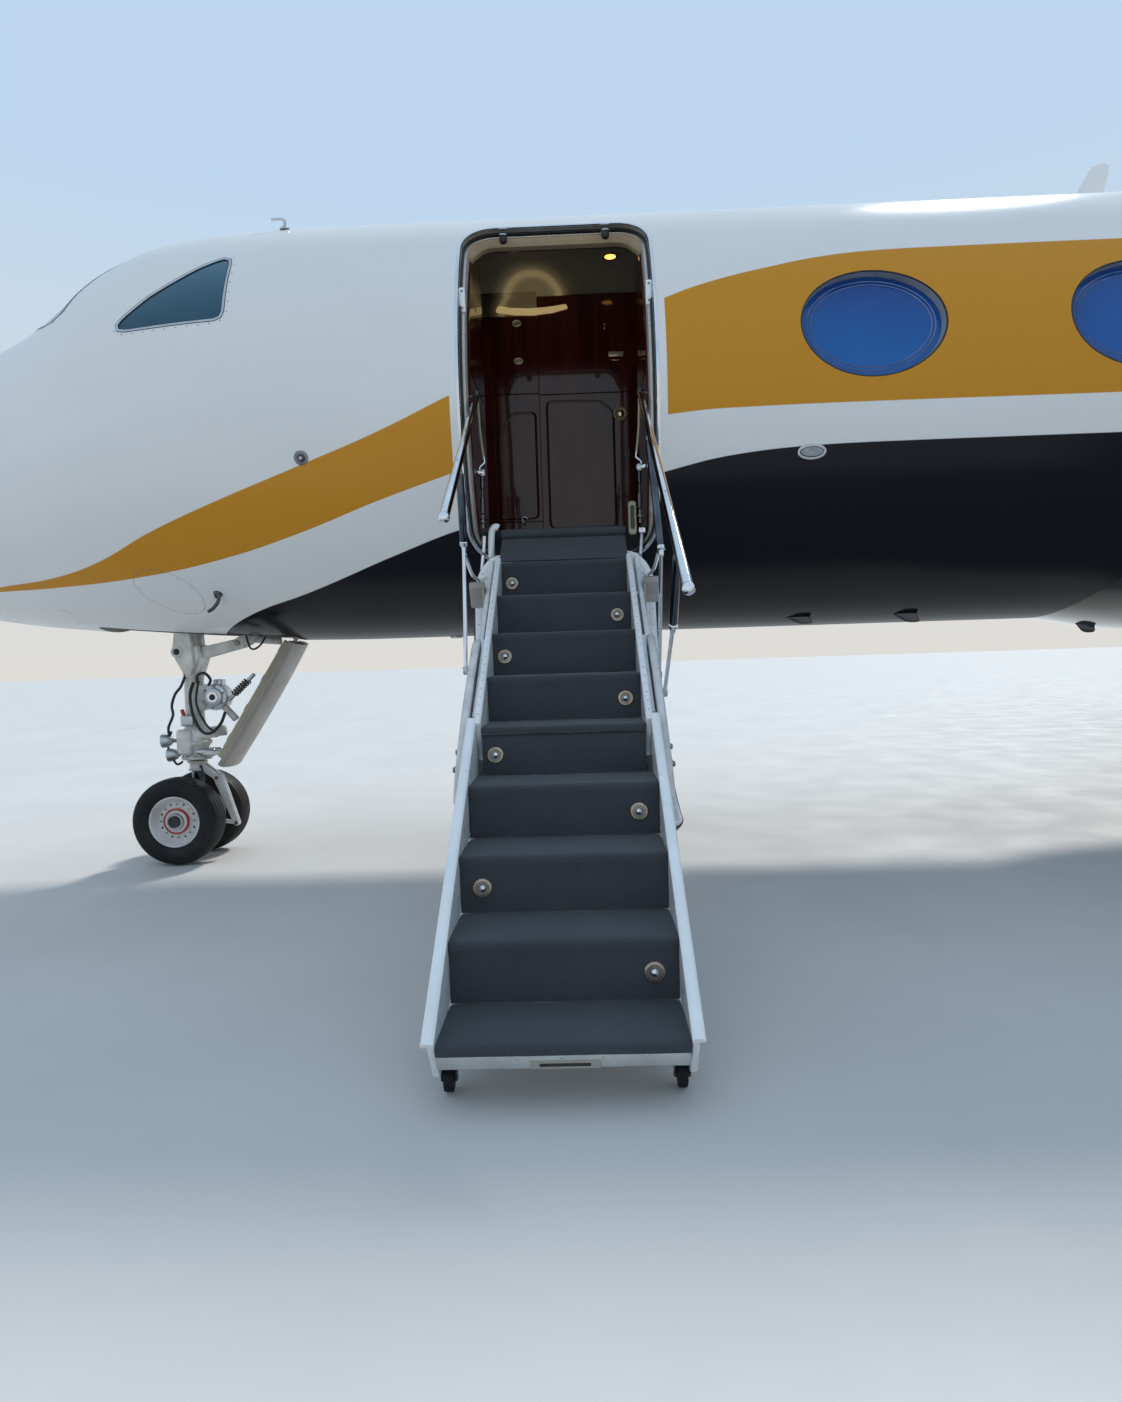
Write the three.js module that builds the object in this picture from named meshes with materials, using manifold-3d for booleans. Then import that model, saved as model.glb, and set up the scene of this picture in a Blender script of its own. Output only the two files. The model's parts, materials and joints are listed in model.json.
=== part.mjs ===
// A twin-engine business jet, parked on its gear with the airstair door let down.
// Millimetres. +X runs aft, +Y to starboard, +Z up, and the ground is z = 0.
// The origin is on the ground, midway between nose tip and stabiliser tips.
import * as THREE from 'three';
import { mergeVertices } from 'three/addons/utils/BufferGeometryUtils.js';
import Module from 'manifold-3d';

const wasm = await Module();
wasm.setup();

// Driving dimensions
const NOSE_X = -13600;          // nose tip, where fuselage stations start
const AXIS_Z = 2530;            // height of the cabin tube's centre
const TUBE_R = 1195;            // cabin tube's outer radius
const WALL = 100;               // cabin wall, skin to lining
const TAIL_WALL = 60;           // wall behind the cabin
const BULKHEAD = 80;            // rear pressure bulkhead
const SEAT_GAP = 0.3;           // between pieces that touch
const RUN_GAP = 10;             // round a moving surface
const PIN_R = 12;               // hinge pins of the control surfaces
const BORE_GAP = 0.8;           // between a shaft and the bore it turns in
const BORE_SIDES = 32;
const TUBE_SIDES = 28;          // facets round the fuselage

const DOOR_X = -8600;           // middle of the doorway
const DOOR_HALF = 475;          // half its width
const DOOR_FOOT = 1700;
const DOOR_HEAD = 3430;
const DOOR_CORNER = 160;

const WINDOW_XS = [-7080, -5804, -4528, -3252, -1976, -700];
const WINDOW_Z = 2740;
const WINDOW_HALF_X = 345;
const WINDOW_HALF_Z = 265;

const FLOOR_Z = 1853;
const FLOOR_THICK = 60;
const JACK_PAD_R = 40;          // flat pads that a jack lifts on
const JACK_PAD_SIDES = 12;
const NOSE_JACK = [-9300, 0, 1325];
const WING_JACK = [-980, 3400, 1565];
const STAIR_RISE = 186;
const STAIR_GO = 278;
const STEP_COUNT = 9;           // moving steps below the threshold
const FOLD_STEP = 5;            // the lower flight starts below this one
const THRESHOLD_Y = -782;

const NOSE_GEAR = { x: -11010, tyreR: 266.5, tyreWide: 184, track: 200, rimR: 150 };
const MAIN_GEAR = { x: 600, y: 2085, tyreR: 430, tyreWide: 235, track: 190, rimR: 215 };

// Fuselage sections: station, half width, top, bottom, height of the widest point
const SECTIONS = [
  [0, 50, 2080, 1980, 2030],
  [100, 220, 2260, 1830, 2030],
  [300, 370, 2420, 1730, 2050],
  [700, 550, 2620, 1620, 2090],
  [1380, 720, 2920, 1530, 2200],
  [1730, 840, 3100, 1476, 2280],
  [2050, 920, 3250, 1440, 2340],
  [2520, 1060, 3570, 1395, 2450],
  [2870, 1130, 3685, 1370, 2500],
  [3300, 1175, 3720, 1345, 2525],
  [3900, TUBE_R, AXIS_Z + TUBE_R, AXIS_Z - TUBE_R, AXIS_Z],
  [17600, TUBE_R, AXIS_Z + TUBE_R, AXIS_Z - TUBE_R, AXIS_Z],
  [18500, 1180, 3725, 1360, 2540],
  [20000, 1080, 3700, 1520, 2600],
  [21500, 900, 3660, 1830, 2740],
  [23000, 620, 3580, 2250, 2920],
  [24300, 340, 3460, 2700, 3080],
  [25100, 120, 3330, 3020, 3180],
];

// Colour, roughness and metalness of each finish
const FINISH = {
  white: [0xf2f2ef, 0.25, 0.0],
  black: [0x101114, 0.15, 0.0],
  gold: [0xb98a35, 0.3, 0.2],
  glass: [0x2b4a4c, 0.08, 0.1],
  metal: [0xb9bcc0, 0.35, 0.9],
  chrome: [0xdedfe2, 0.12, 1.0],
  strut: [0xcfd2d3, 0.4, 0.3],
  tyre: [0x17181a, 0.85, 0.0],
  carpet: [0x2a3038, 0.95, 0.0],
  cream: [0xd8d0b8, 0.7, 0.0],
  wood: [0x3a1a10, 0.15, 0.0],
  dark: [0x25262a, 0.6, 0.0],
};

const group = new THREE.Group();

// Small helpers: closed geometry in, solids to cut and join, named meshes out

function solid(geometry) {
  const bare = geometry.clone();
  bare.deleteAttribute('normal');
  bare.deleteAttribute('uv');
  const merged = mergeVertices(bare, 1e-3);
  const vertProperties = new Float32Array(merged.attributes.position.array);
  const triVerts = new Uint32Array(merged.index.array);
  const made = new wasm.Manifold(new wasm.Mesh({ numProp: 3, vertProperties, triVerts }));
  return made.volume() < 0 ? solid(turnedInsideOut(merged)) : made;
}

function turnedInsideOut(geometry) {
  const flipped = geometry.clone();
  const index = flipped.index.array;
  for (let i = 0; i < index.length; i += 3) [index[i], index[i + 1]] = [index[i + 1], index[i]];
  return flipped;
}

function geometryOf(made) {
  const mesh = made.getMesh();
  const geometry = new THREE.BufferGeometry();
  geometry.setAttribute('position', new THREE.BufferAttribute(new Float32Array(mesh.vertProperties), 3));
  geometry.setIndex(new THREE.BufferAttribute(new Uint32Array(mesh.triVerts), 1));
  geometry.computeVertexNormals();
  return geometry;
}

function piece(name, made, finish) {
  const [color, roughness, metalness] = FINISH[finish];
  const material = new THREE.MeshStandardMaterial({ color, roughness, metalness });
  const mesh = new THREE.Mesh(geometryOf(made), material);
  mesh.name = name;
  group.add(mesh);
}

function joined(parts) {
  return parts.reduce((whole, part) => whole.add(part));
}

function cut(made, tools) {
  return tools.reduce((left, tool) => left.subtract(tool), made);
}

function mirrored(made) {
  return placed(made, new THREE.Matrix4().makeScale(1, -1, 1));
}

function placed(made, matrix) {
  return solid(geometryOf(made).applyMatrix4(matrix));
}

function box(low, high) {
  const geometry = new THREE.BoxGeometry(high[0] - low[0], high[1] - low[1], high[2] - low[2]);
  geometry.translate((low[0] + high[0]) / 2, (low[1] + high[1]) / 2, (low[2] + high[2]) / 2);
  return solid(geometry);
}

// A round bar between two points, with its own radius at each end
function bar(from, to, radius, endRadius = radius, sides = 8) {
  const a = new THREE.Vector3(...from);
  const b = new THREE.Vector3(...to);
  const geometry = new THREE.CylinderGeometry(endRadius, radius, a.distanceTo(b), sides);
  const turn = new THREE.Quaternion().setFromUnitVectors(
    new THREE.Vector3(0, 1, 0), b.clone().sub(a).normalize());
  geometry.applyQuaternion(turn);
  const middle = a.add(b).multiplyScalar(0.5);
  geometry.translate(middle.x, middle.y, middle.z);
  return solid(geometry);
}

// A round tube through several points, with a ball at each bend and end
function tube(points, radius, sides = 8) {
  const bars = points.slice(1).map((point, i) => bar(points[i], point, radius, radius, sides));
  const balls = points.slice(1, -1).map((point) => ball(point, radius * 1.08, sides));
  return joined([...bars, ...balls]);
}

function ball(centre, radius, sides = 8) {
  const geometry = new THREE.SphereGeometry(radius, sides, sides / 2);
  geometry.translate(...centre);
  return solid(geometry);
}

// A closed surface through rings with equal numbers of points, with flat fans at its ends
function loft(rings) {
  const count = rings[0].length;
  const points = rings.flat();
  const faces = [];
  for (let r = 0; r + 1 < rings.length; r++) {
    for (let k = 0; k < count; k++) {
      const a = r * count + k;
      const b = r * count + (k + 1) % count;
      faces.push(a, b, b + count, a, b + count, a + count);
    }
  }
  for (const [start, flip] of [[0, true], [(rings.length - 1) * count, false]]) {
    const ring = points.slice(start, start + count);
    const hub = [0, 1, 2].map((i) => ring.reduce((sum, p) => sum + p[i], 0) / count);
    points.push(hub);
    for (let k = 0; k < count; k++) {
      const next = start + (k + 1) % count;
      faces.push(...(flip ? [points.length - 1, next, start + k] : [points.length - 1, start + k, next]));
    }
  }
  const geometry = new THREE.BufferGeometry();
  geometry.setAttribute('position', new THREE.Float32BufferAttribute(points.flat(), 3));
  geometry.setIndex(faces);
  return solid(geometry);
}

// A flat outline given as [u, v] points, pushed from one depth to another along an axis
function plate(outline, axis, from, to) {
  const shape = new THREE.Shape(outline.map(([u, v]) => new THREE.Vector2(u, v)));
  const geometry = new THREE.ExtrudeGeometry(shape, { depth: to - from, bevelEnabled: false });
  geometry.translate(0, 0, from);
  const place = {
    x: [[0, 0, 1], [1, 0, 0], [0, 1, 0]],   // u, v become y, z
    y: [[1, 0, 0], [0, 0, 1], [0, 1, 0]],   // u, v become x, z
    z: [[1, 0, 0], [0, 1, 0], [0, 0, 1]],   // u, v become x, y
  }[axis];
  const [rowX, rowY, rowZ] = place;
  const matrix = new THREE.Matrix4().set(...rowX, 0, ...rowY, 0, ...rowZ, 0, 0, 0, 0, 1);
  geometry.applyMatrix4(matrix);
  return solid(geometry);
}

// A profile of [distance along, radius] points turned round a line parallel to an axis
function turned(profile, axis, centre, sides = 32) {
  const points = profile.map(([along, radius]) => new THREE.Vector2(radius, along));
  const geometry = new THREE.LatheGeometry(points, sides);
  if (axis === 'x') geometry.rotateZ(-Math.PI / 2);
  if (axis === 'z') geometry.rotateX(Math.PI / 2);
  geometry.translate(...centre);
  return solid(geometry);
}

function roundedOutline(halfWide, low, high, corner, steps = 6) {
  const shape = new THREE.Shape();
  const turns = [[halfWide, low, -90], [halfWide, high, 0], [-halfWide, high, 90], [-halfWide, low, 180]];
  for (const [u, v, start] of turns) {
    const cu = u - Math.sign(u) * corner;
    const cv = v === low ? v + corner : v - corner;
    const from = THREE.MathUtils.degToRad(start);
    shape.absarc(cu, cv, corner, from, from + Math.PI / 2, false);
  }
  return distinct(shape.getPoints(steps).map((p) => [p.x, p.y]));
}

function distinct(outline) {
  return outline.filter(([u, v], i) => {
    const [pu, pv] = outline[(i + outline.length - 1) % outline.length];
    return Math.hypot(u - pu, v - pv) > 0.5;
  });
}

function ellipseOutline(cu, cv, halfU, halfV, count = 16) {
  return Array.from({ length: count }, (unused, k) => {
    const angle = (k / count) * 2 * Math.PI;
    return [cu + halfU * Math.cos(angle), cv + halfV * Math.sin(angle)];
  });
}

// Fuselage

// Monotone cubic through one column of the section table
function smoothColumn(station, column) {
  const rows = SECTIONS;
  const last = rows.length - 2;
  let i = rows.findIndex((row, k) => k > last || station <= rows[k + 1][0]);
  i = Math.min(Math.max(i, 0), last);
  const slope = (k) => (rows[k + 1][column] - rows[k][column]) / (rows[k + 1][0] - rows[k][0]);
  const tangent = (k) => {
    if (k === 0) return slope(0);
    if (k > last) return slope(last);
    const [before, after] = [slope(k - 1), slope(k)];
    return before * after <= 0 ? 0 : (2 * before * after) / (before + after);
  };
  const span = rows[i + 1][0] - rows[i][0];
  const t = (station - rows[i][0]) / span;
  const [t2, t3] = [t * t, t * t * t];
  return rows[i][column] * (2 * t3 - 3 * t2 + 1) + rows[i + 1][column] * (3 * t2 - 2 * t3)
    + tangent(i) * span * (t3 - 2 * t2 + t) + tangent(i + 1) * span * (t3 - t2);
}

// Ring of the fuselage at a station, drawn in by inset: two half ellipses that meet at the widest point
function fuselageRing(station, inset = 0, sides = TUBE_SIDES) {
  const [half, top, bottom, wide] = [1, 2, 3, 4].map((column) => smoothColumn(station, column));
  return Array.from({ length: sides }, (unused, k) => {
    const angle = (k / sides) * 2 * Math.PI;
    const reach = (Math.sin(angle) >= 0 ? top - wide : wide - bottom) - inset;
    return [NOSE_X + station, (half - inset) * Math.cos(angle), wide + reach * Math.sin(angle)];
  });
}

function fuselageSolid(stations, inset = 0) {
  return loft(stations.map((station) => fuselageRing(station, inset)));
}

const HULL_STATIONS = [0, 60, 150, 300, 600, 1000, 1380, 1730, 2050, 2520, 2870,
  3300, 3900, 17600, 18500, 20000, 20750, 21500, 23000, 24300, 25100];

// The whole hull's outside, drawn in or let out, for pieces that seat on it
function hull(inset) {
  return fuselageSolid(HULL_STATIONS, inset);
}

// One length of hull: its outside stations, and the inside's first and last stations if it is hollow
function barrel(from, to, hollow, wall = WALL) {
  const inside = HULL_STATIONS.filter((station) => station > from && station < to);
  const outer = fuselageSolid([from, ...inside, to]);
  if (!hollow) return outer;
  const [start, end] = hollow;
  const lining = HULL_STATIONS.filter((station) => station > start && station < end);
  return outer.subtract(fuselageSolid([start, ...lining, end], wall));
}

const station = (x) => x - NOSE_X;
const RADOME_END = 1380;
const COCKPIT_END = 3950;
const FORWARD_END = station(-6440);
const CABIN_END = 17600;
const TAIL_START = 21500;
const PAST = 10;                // how far a cutter runs past what it cuts
const HOLLOW_START = 1760;      // station where the cockpit's inside begins
const PANE_GAP = 0.5;           // round a pane in its hole
const BESIDE_HULL = 1300;       // past the hull's widest half width
const WITHIN_DOOR = 500;        // well inside the lining, where side cutters end
const WITHIN_WINDOW = 600;

// Pushes an [x, z] outline through the hull's wall on one side
function throughSide(outline, side, within) {
  return side < 0 ? plate(outline, 'y', -BESIDE_HULL, -within) : plate(outline, 'y', within, BESIDE_HULL);
}

const doorOutline = (clear) => roundedOutline(DOOR_HALF - clear, DOOR_FOOT + clear,
  DOOR_HEAD - clear, DOOR_CORNER - clear).map(([u, v]) => [u + DOOR_X, v]);

function windowHoles(side, clear) {
  return WINDOW_XS.map((x) => {
    const outline = ellipseOutline(x, WINDOW_Z, WINDOW_HALF_X - clear, WINDOW_HALF_Z - clear);
    return throughSide(outline, side, WITHIN_WINDOW);
  });
}

// Cockpit glass outlines: the side pane as [x, z], the windscreen pane as [y, z]
const SIDE_PANE = [[2744, 2879], [3354, 2901], [3341, 3297], [3190, 3223], [2950, 3062]]
  .map(([s, z]) => [NOSE_X + s, z]);
const SCREEN_PANE = [[35, 3270], [840, 3020], [500, 3470], [35, 3570]];
const SCREEN_X = [NOSE_X + 1780, NOSE_X + 2900];

function shrunk(outline, clear) {
  const cu = outline.reduce((sum, p) => sum + p[0], 0) / outline.length;
  const cv = outline.reduce((sum, p) => sum + p[1], 0) / outline.length;
  return outline.map(([u, v]) => {
    const reach = Math.hypot(u - cu, v - cv);
    return [cu + (u - cu) * (1 - clear / reach), cv + (v - cv) * (1 - clear / reach)];
  });
}

function sidePane(side, clear) {
  return throughSide(shrunk(SIDE_PANE, clear), side, WITHIN_DOOR);
}

function screenPane(side, clear) {
  const outline = shrunk(SCREEN_PANE, clear).map(([y, z]) => [side * y, z]);
  return plate(outline, 'x', ...SCREEN_X);
}

function shellBetween(outerInset, innerInset, from, to) {
  const stations = [from, ...HULL_STATIONS.filter((s) => s > from && s < to), to];
  return fuselageSolid(stations, outerInset).subtract(
    fuselageSolid([from - PAST, ...stations.slice(1, -1), to + PAST], innerInset));
}

function jackPad([x, y, z], tall) {
  return bar([x, y, z], [x, y, z + tall], JACK_PAD_R, JACK_PAD_R, JACK_PAD_SIDES);
}

function addFuselage() {
  piece('radome', barrel(0, RADOME_END - SEAT_GAP, null), 'white');

  const cockpitGlass = [-1, 1].flatMap((side) => [sidePane(side, 0), screenPane(side, 0)]);
  const cockpit = barrel(RADOME_END, COCKPIT_END - SEAT_GAP, [HOLLOW_START, COCKPIT_END + PAST]);
  piece('cockpit_shell', cut(cockpit, [...cockpitGlass, noseBay()]), 'white');

  const forward = barrel(COCKPIT_END, FORWARD_END - SEAT_GAP, [COCKPIT_END - PAST, FORWARD_END + PAST]);
  const doorway = throughSide(doorOutline(0), -1, WITHIN_DOOR);
  const firstHoles = [-1, 1].map((side) => windowHoles(side, 0)[0]);
  piece('forward_shell', cut(forward, [doorway, ...firstHoles]).add(jackPad(NOSE_JACK, 60)), 'white');

  const cabin = barrel(FORWARD_END, CABIN_END - SEAT_GAP, [FORWARD_END - PAST, CABIN_END + PAST]);
  const otherHoles = [-1, 1].flatMap((side) => windowHoles(side, 0).slice(1));
  piece('cabin_shell', cut(cabin, otherHoles), 'white');

  const aftInside = [CABIN_END + BULKHEAD, TAIL_START + PAST];
  piece('aft_fuselage', barrel(CABIN_END, TAIL_START - SEAT_GAP, aftInside, TAIL_WALL), 'white');
  piece('tail_cone', barrel(TAIL_START, 25100, [TAIL_START - PAST, 24300], TAIL_WALL), 'white');
}

// Panes fill their holes with a small gap; the cabin's are held by a strip on the lining
function addGlass() {
  const skin = shellBetween(8, 60, 1900, 3600);
  for (const [name, side] of [['left', -1], ['right', 1]]) {
    piece(`side_window_${name}`, sidePane(side, PANE_GAP).intersect(skin), 'glass');
    piece(`windscreen_${name}`, screenPane(side, PANE_GAP).intersect(skin), 'glass');
    const [from, to] = [station(WINDOW_XS[0]) - 480, station(WINDOW_XS[5]) + 480];
    const lining = shellBetween(WALL + SEAT_GAP, WALL + 18, from, to);
    const ends = [NOSE_X + from, NOSE_X + to];
    const strip = lining.intersect(side < 0 ? box([ends[0], -1200, 2420], [ends[1], -500, 3060])
      : box([ends[0], 500, 2420], [ends[1], 1200, 3060]));
    const panes = joined(windowHoles(side, PANE_GAP)).intersect(shellBetween(8, WALL + 10, from, to));
    piece(`cabin_windows_${name}`, strip.add(panes), 'glass');
  }
}

// Cabin

const CABIN_GAP = 8;            // between furniture and lining
const SEAT_STATIONS = [7500, 8600, 10000, 11200, 12600, 13800];
const SEAT_Y = 560;
const inCabin = () => shellFill(WALL + CABIN_GAP);

function shellFill(inset) {
  const [from, to] = [HOLLOW_START + PAST, CABIN_END - PAST];
  const stations = [from, ...HULL_STATIONS.filter((s) => s > from && s < CABIN_END), to];
  return fuselageSolid(stations, inset);
}

function addCabin() {
  const room = inCabin();
  const under = FLOOR_Z - FLOOR_THICK;
  const slab = box([NOSE_X + 2000, -1100, under], [NOSE_X + CABIN_END - PAST, 1100, FLOOR_Z]);
  const riser = box([DOOR_X - 460, THRESHOLD_Y - 18, DOOR_FOOT], [DOOR_X + 460, THRESHOLD_Y + 20, FLOOR_Z]);
  const inDoorway = throughSide(doorOutline(3), -1, WITHIN_DOOR);
  piece('cabin_floor', slab.intersect(shellFill(WALL + 1)).add(riser.intersect(inDoorway)), 'carpet');

  const above = FLOOR_Z + SEAT_GAP;
  const x = (s) => NOSE_X + s;
  const panel = box([x(2080), -1100, above], [x(2200), 1100, 2950]);
  const hood = box([x(2080), -1100, 2860], [x(2420), 1100, 2950]);
  const pedestal = box([x(2190), -160, above], [x(2750), 160, 2450]);
  piece('instrument_panel', joined([panel, hood, pedestal]).intersect(room), 'dark');

  for (const [name, side] of [['left', -1], ['right', 1]]) {
    piece(`pilot_seat_${name}`, seat(x(3050), side * 470, 1, 250).intersect(room), 'dark');
    const rows = SEAT_STATIONS.map((s, i) => seat(x(s), side * SEAT_Y, i % 2 ? 1 : -1, 290));
    const rail = box([x(7200), side * SEAT_Y - 40, above], [x(14200), side * SEAT_Y + 40, above + 25]);
    piece(`cabin_seats_${name}`, joined([rail, ...rows]).intersect(room), 'cream');
  }

  const doorGap = box([x(4000), -300, above - PAST], [x(6200), 300, 3450]);
  const wallAt = (s) => box([x(s), -1200, above], [x(s) + 45, 1200, 3700]).intersect(room).subtract(doorGap);
  piece('cockpit_bulkhead', wallAt(4080), 'wood');
  piece('cabin_bulkhead', wallAt(5900), 'wood');

  const cabinet = box([x(4140), 380, above], [x(5880), 1100, 3350]);
  piece('galley_cabinet', cabinet.intersect(room), 'wood');
}

// A seat on a plinth, its back towards +X when facing is 1
function seat(x, y, facing, halfWide) {
  const above = FLOOR_Z + SEAT_GAP;
  const along = (u) => x + facing * u;
  const slab = (u0, u1, z0, z1, half) => box(
    [Math.min(along(u0), along(u1)), y - half, z0], [Math.max(along(u0), along(u1)), y + half, z1]);
  return joined([
    slab(-180, 180, above, above + 260, halfWide - 90),
    slab(-260, 260, above + 250, above + 430, halfWide),
    slab(180, 330, above + 300, above + 1130, halfWide - 20),
  ]);
}

// Wings and tail

// Wing on its straight part: leading edge x, chord and chord-plane height at a span station y
const WING = {
  rootX: -4730, rootChord: 5940, rootZ: 1680, tipY: 11300, sweep: 31.5, dihedral: 3, tipChord: 2040,
};
const rise = (degrees) => Math.tan(THREE.MathUtils.degToRad(degrees));

function wingAt(y) {
  return {
    x: WING.rootX + y * rise(WING.sweep),
    chord: WING.rootChord + (WING.tipChord - WING.rootChord) * (y / WING.tipY),
    z: WING.rootZ + y * rise(WING.dihedral),
  };
}

const WINGLET_THICK = 0.085;

// Winglet sections past the straight part: y, leading edge x, chord, z, cant in degrees
const WINGLET = [
  [11560, 2400, 1840, 2325, 25],
  [11740, 2620, 1600, 2480, 60],
  [11800, 2960, 1240, 2900, 80],
  [11850, 3420, 760, 3550, 82],
];

// Closed section ring: chord runs aft from [x, y, z], thickness stands across it at the cant angle
function sectionRing([x, y, z], chord, thick, cant, count = 16) {
  const lean = THREE.MathUtils.degToRad(cant);
  return Array.from({ length: count }, (unused, k) => {
    const angle = (k / count) * 2 * Math.PI;
    const share = (1 + Math.cos(angle)) / 2;
    const half = 5 * thick * (0.2969 * Math.sqrt(share) - 0.126 * share - 0.3516 * share ** 2
      + 0.2843 * share ** 3 - 0.1036 * share ** 4);
    const across = Math.sign(Math.sin(angle)) * half * chord;
    return [x + share * chord, y - across * Math.sin(lean), z + across * Math.cos(lean)];
  });
}

const wingThickness = (y) => 0.125 - 0.035 * (y / WING.tipY);

function wingLoft() {
  const straight = [700, 3000, WING.tipY].map((y) => {
    const at = wingAt(y);
    return sectionRing([at.x, y, at.z], at.chord, wingThickness(y), 0);
  });
  const winglet = WINGLET.map(
    ([y, x, chord, z, cant]) => sectionRing([x, y, z], chord, WINGLET_THICK, cant));
  return loft([...straight, ...winglet]);
}

// A surface hinged on a line: the surface itself, and the cove that clears it
function hinged(whole, hinge) {
  const from = new THREE.Vector3(...hinge.from);
  const to = new THREE.Vector3(...hinge.to);
  const along = to.clone().sub(from).normalize();
  const back = new THREE.Vector3().crossVectors(along, new THREE.Vector3(...hinge.normal)).normalize();
  const up = new THREE.Vector3().crossVectors(along, back);
  const length = from.distanceTo(to);
  const basis = new THREE.Matrix4().makeBasis(along, back, up).setPosition(from);
  const onLine = (u) => from.clone().addScaledVector(along, u).toArray();
  const block = (clear) => placed(
    box([-clear, -0.1 - clear, -900], [length + clear, hinge.depth, 900]), basis);
  const nose = (clear) => bar(
    onLine(-clear), onLine(length + clear), hinge.nose + clear, hinge.tipNose + clear, 10);
  const reach = hinge.gap - SEAT_GAP;
  const pinEnds = [[-reach, 20], [length - 20, length + reach]];
  const pins = pinEnds.map(([u0, u1]) => bar(onLine(u0), onLine(u1), PIN_R));
  const body = whole.intersect(block(0).add(nose(0)));
  return {
    surface: reach > 0 ? joined([body, ...pins]) : body,
    cove: block(hinge.gap).add(nose(hinge.gap)),
  };
}

const AILERON_SPAN = [8300, 10900];
const FLAP_SPAN = [1500, 8200];

function wingHinge(span, share, gap, nose, tipNose) {
  const [from, to] = span.map((y) => {
    const at = wingAt(y);
    return [at.x + share * at.chord, y, at.z];
  });
  return { from, to, normal: [0, 0, 1], depth: 2500, gap, nose, tipNose };
}

const AILERON_HINGE = wingHinge(AILERON_SPAN, 0.78, RUN_GAP, 80, 56);

// Belly fairing sections: x, half width, bottom
const FAIRING = [
  [-5900, 500, 1350],
  [-5300, 900, 1260],
  [-4400, 1130, 1170],
  [-3000, 1240, 1120],
  [0, 1250, 1110],
  [1500, 1150, 1130],
  [2700, 850, 1230],
  [3500, 500, 1350],
];
const FAIRING_TOP = 1860;
const FAIRING_WIDE = 1650;

function fairing(grow) {
  return loft(FAIRING.map(([x, half, bottom]) => Array.from({ length: 28 }, (unused, k) => {
    const angle = (k / 28) * 2 * Math.PI;
    const reach = Math.sin(angle) > 0 ? FAIRING_TOP - FAIRING_WIDE : FAIRING_WIDE - bottom;
    return [x, (half + grow) * Math.cos(angle), FAIRING_WIDE + (reach + grow) * Math.sin(angle)];
  })));
}

function addWings() {
  piece('belly_fairing', fairing(0).subtract(hull(-SEAT_GAP)), 'black');
  const whole = wingLoft().add(jackPad(WING_JACK, 120));
  const aileron = hinged(whole, AILERON_HINGE);
  const flap = hinged(whole, wingHinge(FLAP_SPAN, 0.76, SEAT_GAP, 1, 1));
  const wing = cut(whole, [aileron.cove, flap.cove]);
  const sides = [['left', mirrored], ['right', (made) => made]];
  for (const [name, turn] of sides) {
    piece(`wing_${name}`, cut(turn(wing), [hull(-SEAT_GAP), fairing(SEAT_GAP)]), 'white');
    piece(`aileron_${name}`, turn(aileron.surface), 'white');
    piece(`flap_${name}`, turn(flap.surface), 'white');
  }
}

const FIN = { rootX: 7000, rootZ: 3150, topZ: 7330, rootChord: 4450, topChord: 2950, sweep: 39, thick: 0.1 };
const STAB = { z: 7430, rootChord: 2750, tipChord: 1020, halfSpan: 4900, sweep: 30, thick: 0.09 };
const RUDDER_Z = [4350, 7050];
const ELEVATOR_Y = [620, 4650];

function finAt(z) {
  const share = (z - FIN.rootZ) / (FIN.topZ - FIN.rootZ);
  const chord = FIN.rootChord + (FIN.topChord - FIN.rootChord) * share;
  return { x: FIN.rootX + (z - FIN.rootZ) * rise(FIN.sweep), chord };
}

function stabAt(y) {
  const share = Math.abs(y) / STAB.halfSpan;
  const rootX = -NOSE_X - STAB.tipChord - STAB.halfSpan * rise(STAB.sweep);
  const chord = STAB.rootChord + (STAB.tipChord - STAB.rootChord) * share;
  return { x: rootX + Math.abs(y) * rise(STAB.sweep), chord };
}

const hingeOnFin = (z) => [finAt(z).x + 0.7 * finAt(z).chord, 0, z];
const hingeOnStab = (y) => [stabAt(y).x + 0.68 * stabAt(y).chord, y, STAB.z];
const RUDDER_HINGE = {
  from: hingeOnFin(RUDDER_Z[0]), to: hingeOnFin(RUDDER_Z[1]),
  normal: [0, -1, 0], depth: 2000, gap: RUN_GAP,
  nose: 134, tipNose: 104,
};
const ELEVATOR_HINGE = {
  from: hingeOnStab(ELEVATOR_Y[0]), to: hingeOnStab(ELEVATOR_Y[1]),
  normal: [0, 0, 1], depth: 1500, gap: RUN_GAP,
  nose: 80, tipNose: 36,
};

// Fairing over the fin's top: x, radius
const BULLET = [[9200, 0], [9350, 70], [9800, 130], [11000, 160], [12500, 130], [13200, 60], [13400, 0]];

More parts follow.
